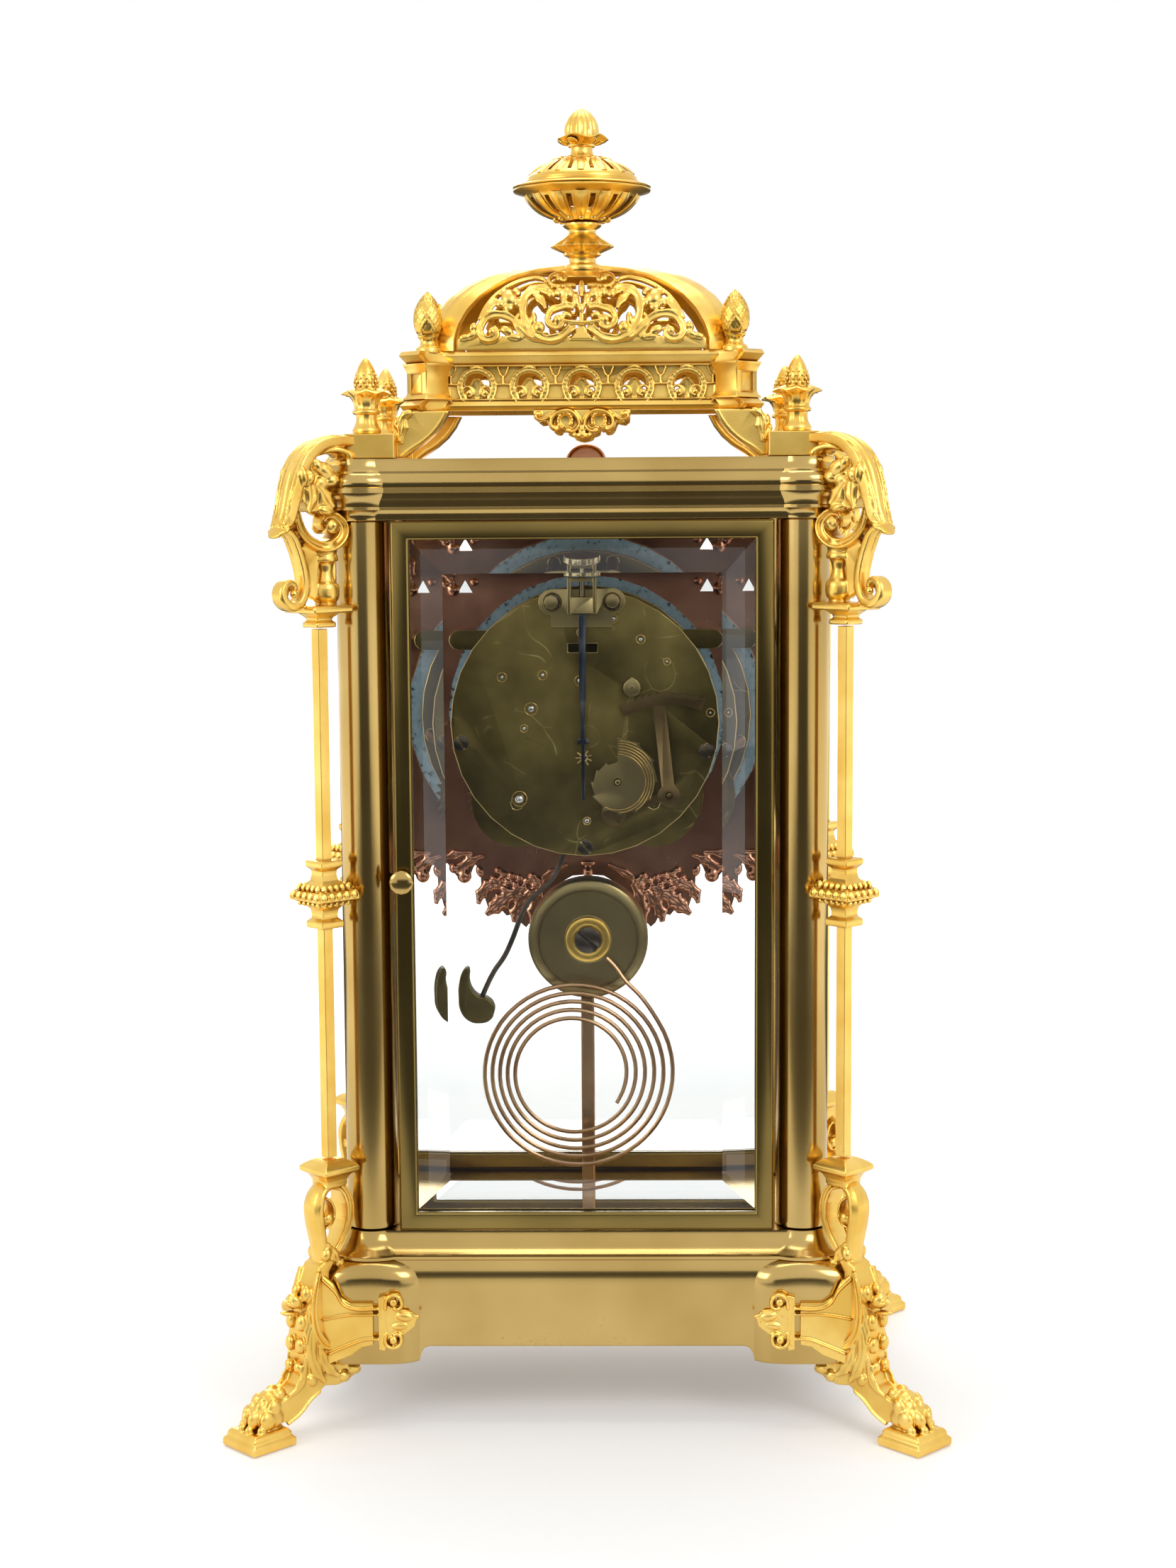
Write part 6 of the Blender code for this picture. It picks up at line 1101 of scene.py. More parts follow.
def archUnit(x):  # one horseshoe of the arcade with its gothic leaf and scrolls
    z = gallery["archZ"]
    ring = bar(hatched(arcPath(x, z, 5.9, -52, 232, 40), 0.86), 2.0, 0.75, roundSection, at=0.35, steps=2)
    rim = bar(arcPath(x, z, 6.9, -50, 230, 24), 0.5, 1.0, roundSection, at=0.3, steps=2)
    parts = [ring, rim]
    for side in (-1, 1):
        parts += [
            bar([(x + side * 4.4, z - 3.4), (x + side * 4.9, z - 0.8), (x + side * 3.6, z + 0.3),
                 (x + side * 1.9, z - 0.8), (x + side * 1.7, z - 2.6), (x + side * 3.0, z - 3.2)], 0.9, 0.8,
                roundSection, at=0.3),
            ball(x + side * 3.0, z - 1.8, 0.4, (1.1, 1.1, 0.9)),
            ball(x + side * 4.6, z - 3.3, 0.3, (1.2, 0.8, 0.7)),
        ]
    parts += [plate([(x - 1.0, z - 3.9), (x + 1.0, z - 3.9), (x + 0.9, z - 1.2),
                     (x + 2.2, z + 0.8), (x, z + 3.0),
                     (x - 2.2, z + 0.8), (x - 0.9, z - 1.2)], -0.9, 0.5),
              bar([(x - 2.6, z + 0.6), (x, z + 3.1), (x + 2.6, z + 0.6)], 0.5, 0.6, roundSection, at=0.4)]
    return parts


def spandrel(x):  # Y piece between two arches, over its dark slit
    z = gallery["archZ"]
    return [bar([(x - 1.9, z + 6.9), (x, z + 3.9), (x + 1.9, z + 6.9)], 0.7, 0.7, roundSection, at=0.3),
            bar([(x, z + 4.0), (x, z + 1.2)], 0.9, 0.8, roundSection, at=0.3),
            bar([(x - 2.4, z + 1.0), (x + 2.4, z + 1.0)], 1.0, 0.9, roundSection, at=0.3)]


def arcade(count, reach):
    middles = [(i - (count - 1) / 2) * gallery["archPitch"] for i in range(count)]
    parts = [part for x in middles for part in archUnit(x)]
    for x in [middles[0] - gallery["archPitch"] / 2] + [m + gallery["archPitch"] / 2 for m in middles]:
        parts += spandrel(x)
    z = gallery["archZ"]
    parts += [bar([(-reach, z + 7.6), (reach, z + 7.6)], 0.8, 0.8, roundSection, at=0.3),
              bar([(-reach, z - 4.3), (reach, z - 4.3)], 0.8, 0.9, roundSection, at=0.3)]
    return cast("arcade", parts, gallery["archVoxel"], 0.35, 1)


def postMaster():  # concave post with its framed panel, on the corner sheet
    look = {"along": -23.2, "across": 9.62,  # from the column's axis, by the corner's diagonal
            "edge": 0.3, "panelHalf": 3.0, "panelLow": 367.8, "panelHigh": 374.6, "overlap": 0.2,
            "panelOff": 5.3, "bead": 0.55}
    body = stacked([(6.5, 365.6), (6.3, 366.2), (5.7, 366.8), (5.3, 368.2), (5.15, 370), (5.1, 372),
                    (5.25, 374), (5.6, 375.8), (6.2, 377.2), (6.6, 378.2)], look["along"], look["across"])
    bevelled(body, look["edge"])
    half, low, high, over = (look[key] for key in ("panelHalf", "panelLow", "panelHigh", "overlap"))
    rails = [[(-half, y), (half, y)] for y in (low, high)]
    rails += [[(x, low - over), (x, high + over)] for x in (-half, half)]
    panel = [bar(rail, look["bead"], look["bead"], roundSection) for rail in rails]
    turn = Matrix(((0, 0, 1, look["along"] + look["panelOff"]), (0, 1, 0, 0), (1, 0, 0, look["across"]),
                   (0, 0, 0, 1)))
    for part in panel:
        part.data.transform(turn)
    return joined("post", [body, *panel])


def coneMaster():  # pinecone with diamond scales on a turned foot
    look = {"scalesAbove": 388.6, "spirals": 8, "pitch": 1.25, "relief": 0.5, "sunk": 0.2,
            "rows": 30, "low": 388.9, "high": 14.4, "tip": 0.25, "swell": 4.65, "widest": 0.3}

    def scales(piece):
        for v in piece.data.vertices:
            r, angle = math.hypot(v.co.x, v.co.z), math.atan2(v.co.z, v.co.x)
            if v.co.y > look["scalesAbove"] and r > 0.3:
                up, around = look["pitch"] * v.co.y, look["spirals"] * angle
                lift = math.sqrt(abs(math.sin(around + up) * math.sin(around - up)))
                grow = 1 + (look["relief"] * lift - look["sunk"]) / max(r, 1.5)
                v.co.x *= grow
                v.co.z *= grow
    profile = [(0.2, 382.0), (4.3, 382.0), (4.4, 383.4), (4.0, 384.0), (3.1, 384.5), (2.7, 385.6),
               (2.9, 386.8), (3.6, 387.3), (3.7, 387.9), (3.2, 388.4)]
    for i in range(look["rows"]):
        u = i / (look["rows"] - 1)
        if u < look["widest"]:
            share = math.sin(math.pi * min(0.5, 0.28 + u * 0.75))
        else:
            share = math.cos(math.pi / 2 * ((u - look["widest"]) / (1 - look["widest"])) ** 1.25)
        profile.append((look["tip"] + look["swell"] * share, look["low"] + look["high"] * u))
    return turned(profile, sides=64, wave=scales)


def pendantMaster():
    outline = [(17.2, 361.9), (17.0, 358.8), (15.4, 357.6), (12.6, 358.2), (11.6, 355.6), (9.6, 354.2),
                (7.8, 355.2), (6.4, 356.4), (6.0, 354.6), (4.6, 353.6), (2.8, 353.0),
               (1.8, 351.8), (0, 351.4)]
    body = plate(outline + [(-x, y) for x, y in reversed(outline[:-1])], -0.9, 0.5)
    half = [
        bar([(0.9, 353.6, 0.7), (0.9, 356.4, 0.9), (1.8, 359.2, 1), (4.0, 361.3, 1.05), (7.0, 361.4, 1.1),
             (10.0, 359.8, 1.1), (11.0, 357.0, 1.15), (9.6, 355.0, 1.2), (8.6, 355.2, 0.9)], 1.5, 1.5,
            roundSection, at=0.7),
        bar([(0.7, 357.6, 0.7), (1.9, 355.2, 0.9), (4.2, 354.2, 1.1), (5.4, 355.0, 1.0)],
            1.4, 1.4, roundSection, at=0.8),
        bar(hatched(arcPath(6.0, 358.0, 2.6, -75, 215, 22)), 1.2, 1.2, roundSection, at=0.8, steps=2),
        bar([(11.0, 360.2, 0.7), (12.8, 358.8, 0.9), (15.0, 358.4, 1), (16.4, 359.6, 1), (15.6, 361.2, 0.8)],
            1.1, 1.3, roundSection, at=0.6),
        ball(15.2, 360.4, 0.7, (1.0, 1.0, 1.3)), ball(9.4, 355.4, 1.0, (1.6, 1.2, 1.3), 30),
        ball(4.9, 354.7, 1.0, (1.2, 1.0, 1.2)),
        ball(2.2, 352.9, 0.8, (1.5, 1.0, 1.2), 20),
    ]
    middle = [ball(0, 353.0, 0.9, (2.2, 1.5, 1.6)), ball(0, 355.0, 0.8, (1.0, 1.6, 1.3))]
    return cast("pendant", [body, *flipped(half), *middle], 0.22, 0.4, 1)


legSkin, urnSkin, postSkin, coneSkin = legMaster(), urnMaster(), postMaster(), coneMaster()
urnSkin.data.transform(Matrix.Rotation(math.radians(gallery["urnTurn"]), 4, "Y"))
for corner, (sx, sy) in corners.items():
    leg = twin(legSkin, planted(sx, sy, 0, gallery["legY"]), "leg_" + corner)
    gilded(settle(leg, 60, 0), "gallery_leg_" + corner)
    urn = twin(urnSkin, planted(sx, sy, *gallery["urn"]), "urn_" + corner)
    gilded(settle(urn, 50), "urn_finial_" + corner)
longArcade = arcade(gallery["archesLong"], gallery["railLong"])
shortArcade = arcade(gallery["archesShort"], gallery["railShort"])
pendantSkin = pendantMaster()
parts = []
for side in (-1, 1):
    parts += [twin(longArcade, longWall(side, gallery["wallY"])),
              twin(shortArcade, shortWall(side, gallery["wallX"])),
              twin(pendantSkin, longWall(side, gallery["pendantY"]))]
for corner, (sx, sy) in corners.items():
    parts += [twin(coneSkin, planted(sx, sy, *gallery["cone"])), twin(postSkin, cornerMatrix(corner))]
ornament = settle(joined("gallery_ornament", parts), 50, 0)
gilded(joined("frieze", [softened("gallery_frieze", 0.2), ornament]), "gallery_frieze")
drop(legSkin, urnSkin, postSkin, coneSkin, longArcade, shortArcade, pendantSkin)
print("gallery made")


# dome: hips, sill and pierced scrollwork wrapped over its curve
dome = {"wall": 1.8, "voxel": 0.3, "keep": 0.5, "hipRows": 26, "hipColumns": 10,
        "rib": 0.05, "ribHalf": 0.08, "bulge": 0.10, "bulgeOut": 0.8,
        "levels": [(382.7, 53, 25.6, 44.5, 17.5), (386.2, 53, 25.6, 44.5, 17.5), (391, 52, 24.8, 43, 16.8),
                   (396, 50.2, 23.4, 40.2, 15.2), (400.8, 46.8, 20.8, 36, 12.8), (405, 41.6, 17.2, 30.5, 10),
                   (408.6, 35.2, 13, 23.6, 7), (411, 26.5, 8.6, 15.5, 4), (412.3, 12, 5, 6, 2)]}


def domeRow(z):  # (X, Y, hip x, hip y) at a height
    rows = dome["levels"]
    z = min(max(z, rows[0][0]), rows[-1][0])
    for low, high in zip(rows, rows[1:]):
        if z <= high[0]:
            u = (z - low[0]) / (high[0] - low[0])
            return [a + (b - a) * u for a, b in zip(low[1:], high[1:])]


def wrapped(piece, face):  # sheet part bent over the dome's long (1) or short (0) face
    near = 1.2
    for v in piece.data.vertices:
        z = v.co.y
        out = domeRow(z)[face]
        above, below = domeRow(z + near)[face], domeRow(z - near)[face]
        lean = Vector((2 * near, below - above)).normalized()
        v.co = (v.co.x, z + v.co.z * lean.y, out + v.co.z * lean.x)
    return piece


def hipMaster():  # smooth band between two faces, with a raised rib, in world mm
    nothingPicked()
    bpy.ops.mesh.primitive_grid_add(x_subdivisions=dome["hipRows"], y_subdivisions=dome["hipColumns"], size=2)
    band = bpy.context.object
    bottom, top = dome["levels"][0][0], dome["levels"][-1][0]
    for v in band.data.vertices:
        u, w = (v.co.x + 1) / 2, (v.co.y + 1) / 2
        z = bottom + (top - bottom) * math.sin(u * math.pi / 2)
        x, y, hipX, hipY = domeRow(z)
        rib = dome["rib"] if abs(w - 0.5) < dome["ribHalf"] else 0
        bulge = 4 * w * (1 - w) * dome["bulge"] + rib
        v.co = (hipX + (x - hipX) * min(1, w * (1 + bulge)), y + (hipY - y) * w, z)
        reach = Vector((x - hipX, y - hipY)) * bulge
        v.co.x += reach.x * dome["bulgeOut"]
        v.co.y += reach.y * dome["bulgeOut"]
    wall = band.modifiers.new("wall", "SOLIDIFY")
    wall.thickness = dome["wall"]
    wall.offset = 1
    applyAll(band)
    return sheetPart("hip")


def longFace():
    half = [
        # outer hatched scroll and its leaf
        bar(hatched([(14.6, 387.0), (17.2, 387.8), (19.6, 389.4), (21.6, 391.4), (23.8, 393.2), (26.2, 394.6),
                     (28.8, 395.2), (31.6, 395.0), (34.0, 393.6), (35.6, 391.2), (35.8, 388.8), (34.4, 387.0),
                     (32.2, 386.6), (30.4, 387.6), (30.2, 389.4), (31.4, 390.4)], 0.85), 2.6, 1.5,
            channelSection, at=0.2),
        ball(31.6, 389.2, 1.1, (1.5, 1.5, 1.3)), ball(38.6, 388.2, 0.4, (2.4, 1.3, 1.2), -25),
        ball(41.4, 387.4, 0.2, (2.0, 1.2, 1.0), -10), ball(38.4, 391.0, 0.2, (1.2, 1.8, 1.0), 30),
        ball(26.4, 389.6, 0.4, (2.6, 1.6, 1.3), 24), ball(24.0, 387.4, 0.2, (3.0, 1.2, 1.0), 8),
        # rosette ball and petals
        ball(25.6, 400.8, 1.0, (2.9, 2.8, 2.2)), ball(23.0, 403.2, 0.4, (1.8, 1.4, 1.4), 40),
        ball(27.6, 403.2, 0.2, (1.8, 1.4, 1.4), -30), ball(22.6, 399.2, 0.6, (1.5, 1.6, 1.4)),
        ball(28.8, 399.0, 0.4, (1.7, 1.5, 1.4)), ball(25.8, 397.6, 0.6, (1.9, 1.4, 1.3)),
        leaf([(29.6, 400.6), (31.8, 398.6), (33.6, 396.6), (35.4, 394.2)],
             [0.8, 1.7, 1.6, 0.7], 1.0, 0.0, 2, 1.4),
        bar([(36.4, 393.6, 0.7), (34.4, 397.6, 0.9), (31.6, 401.2, 1), (28.2, 404.2, 1), (24.0, 406.8, 1),
             (19.6, 408.4, 0.9), (15.4, 408.8, 0.9), (13.0, 407.6, 0.9), (13.4, 406.2, 0.7)], 1.3, 1.1,
            roundSection),
        # tall hatched scroll with its ball
        bar(hatched([(10.6, 401.8), (12.6, 403.6), (15.2, 404.2), (17.8, 403.4), (19.8, 401.4), (20.6, 398.6),
                     (20.6, 395.8), (19.8, 393.0), (18.2, 390.4), (15.8, 388.2), (12.8, 386.8), (9.6, 386.8),
                     (6.6, 388.0), (4.2, 389.8), (2.4, 391.0)], 0.84), 2.9, 1.6, channelSection, at=0.3),
        ball(14.9, 390.4, 1.2, (2.1, 2.1, 1.6)), ball(17.0, 393.4, 0.8, (1.3, 2.4, 1.3), 10),
        ball(10.8, 402.4, 0.9, (1.9, 1.6, 1.5), 30), ball(7.6, 402.8, 1.1, (1.7, 1.7, 1.5)),
        leaf([(18.4, 404.0), (15.6, 401.6), (13.6, 399.4), (12.6, 397.0)],
             [0.8, 1.9, 1.8, 0.6], 1.1, 0.2, 2, 1.4),
        leaf([(21.2, 396.2), (23.0, 393.8), (22.6, 390.4), (20.6, 387.2)],
             [0.7, 1.5, 1.6, 0.9], 1.0, 0.0, 2, 1.4),
        # small centre scroll
        bar(hatched([(2.6, 397.6), (5.0, 398.0), (7.6, 397.4), (10.2, 396.6), (11.8, 394.6), (11.6, 392.2),
                     (9.8, 390.8), (7.6, 391.2), (6.8, 393.0), (7.8, 394.2)], 0.84), 2.3, 1.4, channelSection,
            at=0.4),
        ball(8.4, 393.2, 1.2, (1.5, 1.5, 1.2)), ball(5.0, 394.8, 0.8, (1.9, 1.1, 1.1), 20),
        # lobes of the palmette
        ball(4.7, 402.6, 1.2, (1.9, 2.2, 1.6), -20), ball(2.0, 399.8, 1.3, (1.4, 2.7, 1.5), -8),
        ball(6.0, 399.4, 0.8, (1.3, 1.9, 1.3), -30),
        # top scroll
        bar([(2.0, 405.4), (4.6, 405.6, 1), (8.0, 405.2, 1), (10.8, 406.0, 1), (11.4, 408.2, 1),
             (9.4, 409.8, 1), (6.4, 409.6, 0.9), (5.8, 408.0, 0.8),
             (7.4, 407.4, 0.6)], 1.5, 1.2, roundSection, at=0.3),
        ball(8.0, 408.2, 0.8, (1.3, 1.2, 1.2)),
        ball(12.2, 405.0, 0.4, (2.0, 1.1, 1.1), 30),
    ]
    middle = [
        plate([(-44.0, 382.9), (44.0, 382.9), (43.9, 386.6), (42.6, 387.4), (-42.6, 387.4), (-43.9, 386.6)],
              -1.6, 0.4),
        plate([(-3.8, 386.6), (3.8, 386.6), (1.4, 389.6), (0.8, 392.4), (0.6, 396.0),
               (-0.6, 396.0), (-0.8, 392.4),
               (-1.4, 389.6)], -1.2, 1.0),
        bar([(-6.4, 392.6, 1), (-2.4, 392.0, 1), (2.4, 392.0, 1), (6.4, 392.6, 1)], 1.3, 1.2,
            roundSection, at=1.2),
        ball(0, 404.0, 0.8, (1.2, 3.2, 1.3)), ball(0, 397.2, 1.0, (1.3, 1.6, 1.3)),
        plate([(-8, 409.4), (8, 409.4), (7, 411.6), (-7, 411.6)], -1.4, 0.3),
    ]
    return wrapped(cast("long face", [*flipped(half), *middle], dome["voxel"], dome["keep"], 1), 1)


def shortFace():
    half = [
        bar(hatched([(0.8, 387.4), (4.4, 388.2), (7.4, 387.4), (10.4, 388.2), (12.6, 391.0), (12.6, 394.6),
                     (10.4, 397.2), (7.2, 397.6), (5.0, 395.6), (5.4, 393.0), (7.6, 392.6)], 0.84), 2.5, 1.5,
            channelSection, at=0.3),
        ball(7.6, 394.8, 1.2, (1.7, 1.7, 1.4)),
        bar([(0.8, 399.4, 1), (3.8, 399.0, 1), (6.6, 400.4, 1), (7.6, 403.2, 1),
             (5.6, 405.4, 1), (3.0, 405.0, 0.8),
             (2.8, 403.0, 0.6)], 1.8, 1.3, roundSection, at=0.3),
        ball(4.8, 403.2, 0.8, (1.3, 1.3, 1.2)), ball(9.6, 398.8, 0.6, (1.6, 2.2, 1.3), -30),
        bar([(15.4, 389.0, 0.8), (14.2, 394.6, 1), (12.0, 400.0, 1), (9.0, 405.0, 0.9), (5.4, 408.6, 0.8)],
            1.3, 1.1, roundSection),
    ]
    middle = [
        plate([(-17.2, 382.9), (17.2, 382.9), (17.2, 386.6), (16.6, 387.2), (-16.6, 387.2), (-17.2, 386.6)],
              -1.6, 0.4),
        ball(0, 392.0, 0.6, (1.6, 5.6, 1.5)), ball(0, 402.0, 0.6, (1.4, 5.0, 1.3)),
        plate([(-5, 406.4), (5, 406.4), (3, 411.6), (-3, 411.6)], -1.4, 0.3),
    ]
    return wrapped(cast("short face", [*flipped(half), *middle], dome["voxel"], dome["keep"], 1), 0)


def domeCap():
    outline = [(16, 1.2), (8, 6), (-8, 6), (-16, 1.2), (-16, -1.2), (-8, -6), (8, -6), (16, -1.2)]
    return bevelled(plate(outline, 410.6, 412.4), 0.5)


hipSkin, longSkin, shortSkin, cap = hipMaster(), longFace(), shortFace(), domeCap()
parts = [twin(cap, Matrix.Scale(mm, 4))]
for sx, sy in corners.values():
    parts.append(settle(twin(hipSkin, Matrix.Scale(mm, 4) @ Matrix.Diagonal((sx, sy, 1, 1))), 50))
for side in (-1, 1):
    parts += [twin(longSkin, longWall(side, 0)), twin(shortSkin, shortWall(side, 0))]
gilded(settle(joined("pierced_dome", parts), 50, 0), "dome")
drop(hipSkin, longSkin, shortSkin, cap)
print("dome made")


# finial: fluted bud, ribbed lid and pierced bowl
finial = {"slots": 14, "budFlutes": 7, "lidLeaves": 5, "bowlPetals": 12, "sides": 84}


def pierced(shell, cutter):
    comb = joined("comb", ringed(cutter, finial["slots"]))
    cut = shell.modifiers.new("slots", "BOOLEAN")
    cut.operation = "DIFFERENCE"
    cut.solver = "EXACT"
    cut.object = comb
    applyAll(shell)
    drop(comb)
    return shell


def betweenSlots(part):
    return ringed(part, finial["slots"], math.pi / finial["slots"])


def lidMaster():
    def bud(angle):
        return 1 + 0.09 * abs(math.cos(finial["budFlutes"] * angle)) - 0.05, 0

    def leafy(angle):
        wave = math.cos(finial["lidLeaves"] * angle)
        return 1 - 0.07 * wave, 0.7 * wave

    def flutes(piece):
        rippled(piece, [(460.2, 480, 0.4, bud), (458.2, 480, 7, leafy)])
    shell = turned([(0.3, 449.8), (9.6, 449.0), (14.6, 446.6), (17.6, 444.8), (18.2, 442.4), (19.6, 441.6),
                    (24.5, 441.6), (24.9, 442.0), (24.3, 442.5), (21.2, 443.0), (20.6, 443.3), (20.6, 443.9),
                    (20.0, 444.2), (19.9, 445.2), (19.2, 446.0), (16.8, 447.9), (14.4, 449.5), (11.8, 451.0),
                    (8.6, 452.1), (7.4, 452.2), (7.2, 452.7), (4.6, 453.1), (4.2, 453.8), (3.9, 455),
                    (4.0, 456.0), (4.8, 456.4), (4.9, 457.0), (5.4, 457.4), (7.6, 458.3), (9.1, 459.4),
                    (8.9, 459.8), (6.4, 459.7), (5.9, 460.6), (6.0, 462.4), (5.6, 464.4), (4.7, 466.4),
                    (3.3, 468.2), (1.6, 469.4),
                    (0.3, 469.9)],
                   sides=finial["sides"], wave=flutes)
    slot = plate([(11.5, 447.0), (16.6, 444.6), (18.4, 446.9), (13.0, 452.4), (10.8, 451.6)], -0.75, 0.75)
    shell = pierced(shell, slot)
    rib = bar([(10.4, 450.8, 0.8), (13.6, 449.7, 1), (16.8, 447.8, 1.1), (19.0, 445.9, 1)],
              1.2, 1.35, roundSection)
    petals = betweenSlots(ball(9.4, 451.8, 0, (1.8, 0.6, 1.2), -14, 10))
    leaves = ringed(ball(6.6, 457.9, 0, (2.4, 0.8, 2.3), 22, 10), 6)
    return joined("lid", [shell, *betweenSlots(rib), *petals, *leaves])


def bowlMaster():
    def petal(angle):
        return 1 + 0.05 * math.cos(finial["bowlPetals"] * angle), 0

    def petals(piece):
        rippled(piece, [(419.6, 421.6, 8, petal)])
    shell = turned([(0.3, 412.5), (6.2, 412.5), (6.4, 413.4), (6.2, 414.4), (5.0, 415.2), (4.8, 416.6),
                    (5.4, 417.4), (6.6, 417.9), (6.9, 418.8), (9.2, 419.9), (11.0, 420.9), (10.8, 421.4),
                    (7.8, 423.6), (6.6, 424.6), (5.2, 425.4), (4.9, 426.4), (5.3, 427.2), (6.4, 427.8),
                    (7.0, 428.4), (6.9, 429.2), (6.1, 429.7), (8.6, 430.2), (10.2, 431.2), (15.1, 433.4),
                    (18.6, 436.2), (20.4, 438.4), (21.2, 439.5), (24.6, 440.4), (24.9, 440.9), (24.6, 441.3),
                    (19.8, 441.3), (19.2, 439.4), (18.2, 437.6), (13.6, 434.6), (8.6, 432.6),
                    (0.3, 432.2)], sides=finial["sides"],
                   wave=petals)
    slot = plate([(12.4, 431.0), (16.0, 432.6), (20.6, 436.8), (19.8, 438.0), (16.6, 438.0), (12.0, 434.0)],
                 -0.95, 0.95)
    shell = pierced(shell, slot)
    rib = bar([(9.6, 431.0, 0.7), (12.8, 432.2, 0.9), (16.4, 434.3, 1.1),
               (19.2, 437.0, 1.2), (20.6, 439.0, 1.1)],
              1.3, 1.9, roundSection)
    gadroons = betweenSlots(ball(9.6, 430.6, 0, (1.2, 0.9, 1.1), 20, 10))
    return joined("bowl", [shell, *betweenSlots(rib), *gadroons])


for master, node in ((lidMaster(), "finial_lid"), (bowlMaster(), "finial_bowl")):
    gilded(settle(twin(master, planted(1, 1, 0, 0), "turned_" + node), 45, 0.000005), node)
    drop(master)
print("finial made")


# movement: plate fittings, suspension and strike work
def halfDisc(x, y, radius, cut, turn, low, high):
    steps = 12
    lean = math.radians(turn)
    start = math.asin(cut / radius)
    outline = []
    for i in range(steps + 1):
        angle = start + (math.pi - 2 * start) * i / steps + lean
        outline.append((x + radius * math.cos(angle), y + radius * math.sin(angle)))
    return plate(outline, low, high)


def screwHead(x, y, radius, high, turn, low=0.0):  # two rounded halves over the bottom of the slot
    look = {"slot": 0.12, "core": 0.96, "slotDepth": 0.5, "edge": 0.18}
    parts = []
    for side in (turn, turn + 180):
        parts.append(bevelled(halfDisc(x, y, radius, radius * look["slot"], side, low, high), look["edge"]))
        parts.append(halfDisc(x, y, radius * look["core"], 0, side, low, high - look["slotDepth"]))
    return parts


def hoop(x, y, radius, width, height, at=0.0, sides=24):
    return bar(arcPath(x, y, radius, 0, 360 - 360 / sides, sides - 1), width, height,
               roundSection, closed=True, steps=1, at=at)


fittings = {
    "face": 12.0,
    # x, height, outer ring, pin
    "pivots": [(30.0, 266.3, 1.7, 0.7), (15.2, 267.0, 1.7, 0.7), (1.6, 264.9, 1.9, 1.0),
               (22.1, 247.6, 1.4, 0.7), (-20.5, 279.8, 1.6, 0.8), (-30.0, 271.7, 1.3, 0.6),
               (-10.6, 287.3, 1.5, 0.9), (1.4, 282.4, 1.3, 0.8), (19.5, 254.7, 2.3, 1.2),
               (-0.6, 213.5, 1.4, 1.0), (-45.7, 253.0, 1.5, 0.5)],
    # x, height, radius, turn of the slot
    "screws": [(45.0, 242.3, 2.6, 62), (-44.4, 239.1, 2.6, 70), (0.0, 203.8, 2.6, 50)],
    "ears": [(11.4, 293.5, 2.9, 20), (-10.2, 293.5, 2.9, 55)],
    "star": {"x": 0.4, "z": 236.7, "rays": 9, "inner": 0.9, "outer": 3.0},
    "pin": (24.0, 221.8),
}
rings, pins = [], []
for x, z, ring, pin in fittings["pivots"]:
    rings.append(hoop(x, z, ring, 0.4, 0.22, 0.02))
    pins.append(ball(x, z, 0.0, (pin, pin, 0.45), 0, 12))
star = fittings["star"]
for i in range(star["rays"]):  # small engraved star
    turn = 2 * math.pi * i / star["rays"]
    ray = [(star["x"] + reach * math.cos(turn), star["z"] + reach * math.sin(turn))
           for reach in (star["inner"], star["outer"])]
    rings.append(bar(ray, 0.5, 0.12, roundSection, at=0.02))
rings.append(hoop(*fittings["pin"], 2.7, 0.6, 0.3, 0.0))
pins += [ball(*fittings["pin"], 0.6, 2.0, 0, 24), hoop(star["x"], star["z"], 1.2, 0.3, 0.15, 0.0)]
heads = []
for x, z, radius, turn in fittings["screws"]:
    heads += screwHead(x, z, radius + 0.15, 1.5, turn)
for x, z, radius, turn in fittings["ears"]:
    heads += screwHead(x, z, radius, 2.6, turn, 1.2)
cheeks = [hoop(x, z, radius + 0.35, 0.5, 0.3, 1.5) for x, z, radius, turn in fittings["ears"]]
onPlate = planted(1, 1, 0, fittings["face"])
for name, parts, finish, slotName in (("plate_rings", rings + cheeks, "brass", "dark_brass"),
                                      ("plate_pins", pins, "brightSteel", "dark_steel"),
                                      ("plate_screws", heads, "steel", "dark_steel")):
    sheet = joined(name + "_sheet", parts)
    mount(settle(twin(sheet, onPlate, name), 40), "case", [], finishes[finish])
    drop(sheet)

# finish and edge of each dressed node
looks = {"back_plate": ("plate", 0.25), "front_plate": ("plate", 0.2),
         "suspension_bracket": ("bossBrass", 0.14),
         "rating_knob": ("paleBrass", 0.15), "suspension_leader": ("leader", 0.1), "crutch": ("leader", 0.1),
         "snail": ("bossBrass", 0.16), "rack": ("rackBrass", 0.16), "gathering_pallet": ("bossBrass", 0.1),
         "centre_wheel": ("brass", 0.08), "second_wheel": ("brass", 0.06), "time_barrel": ("plate", 0.08),
         "strike_barrel": ("plate", 0.08), "hour_hand": ("blued", 0.1), "minute_hand": ("blued", 0.1)}
bodyOf = {node: body for body, nodes in frame["record"]["behaviour"]["bodies"].items() for node in nodes}
# parts whose bevel faces get the painted edge highlight
highlightEdged = ("back_plate", "front_plate", "snail", "rack", "suspension_bracket", "gathering_pallet")
for node, (finish, width) in looks.items():
    piece = mount(softened(node, width), bodyOf[node], [node], finishes[finish])
    if node in highlightEdged:  # painted highlight: the faces between a flat and its rim get a lighter brass in place of light caught on the edges
        piece.data.materials.append(finishes["edgeHighlightBrass"])
        for face in piece.data.polygons:
            face.material_index = 1 if 0.2 < abs(face.normal.y) < 0.97 else 0


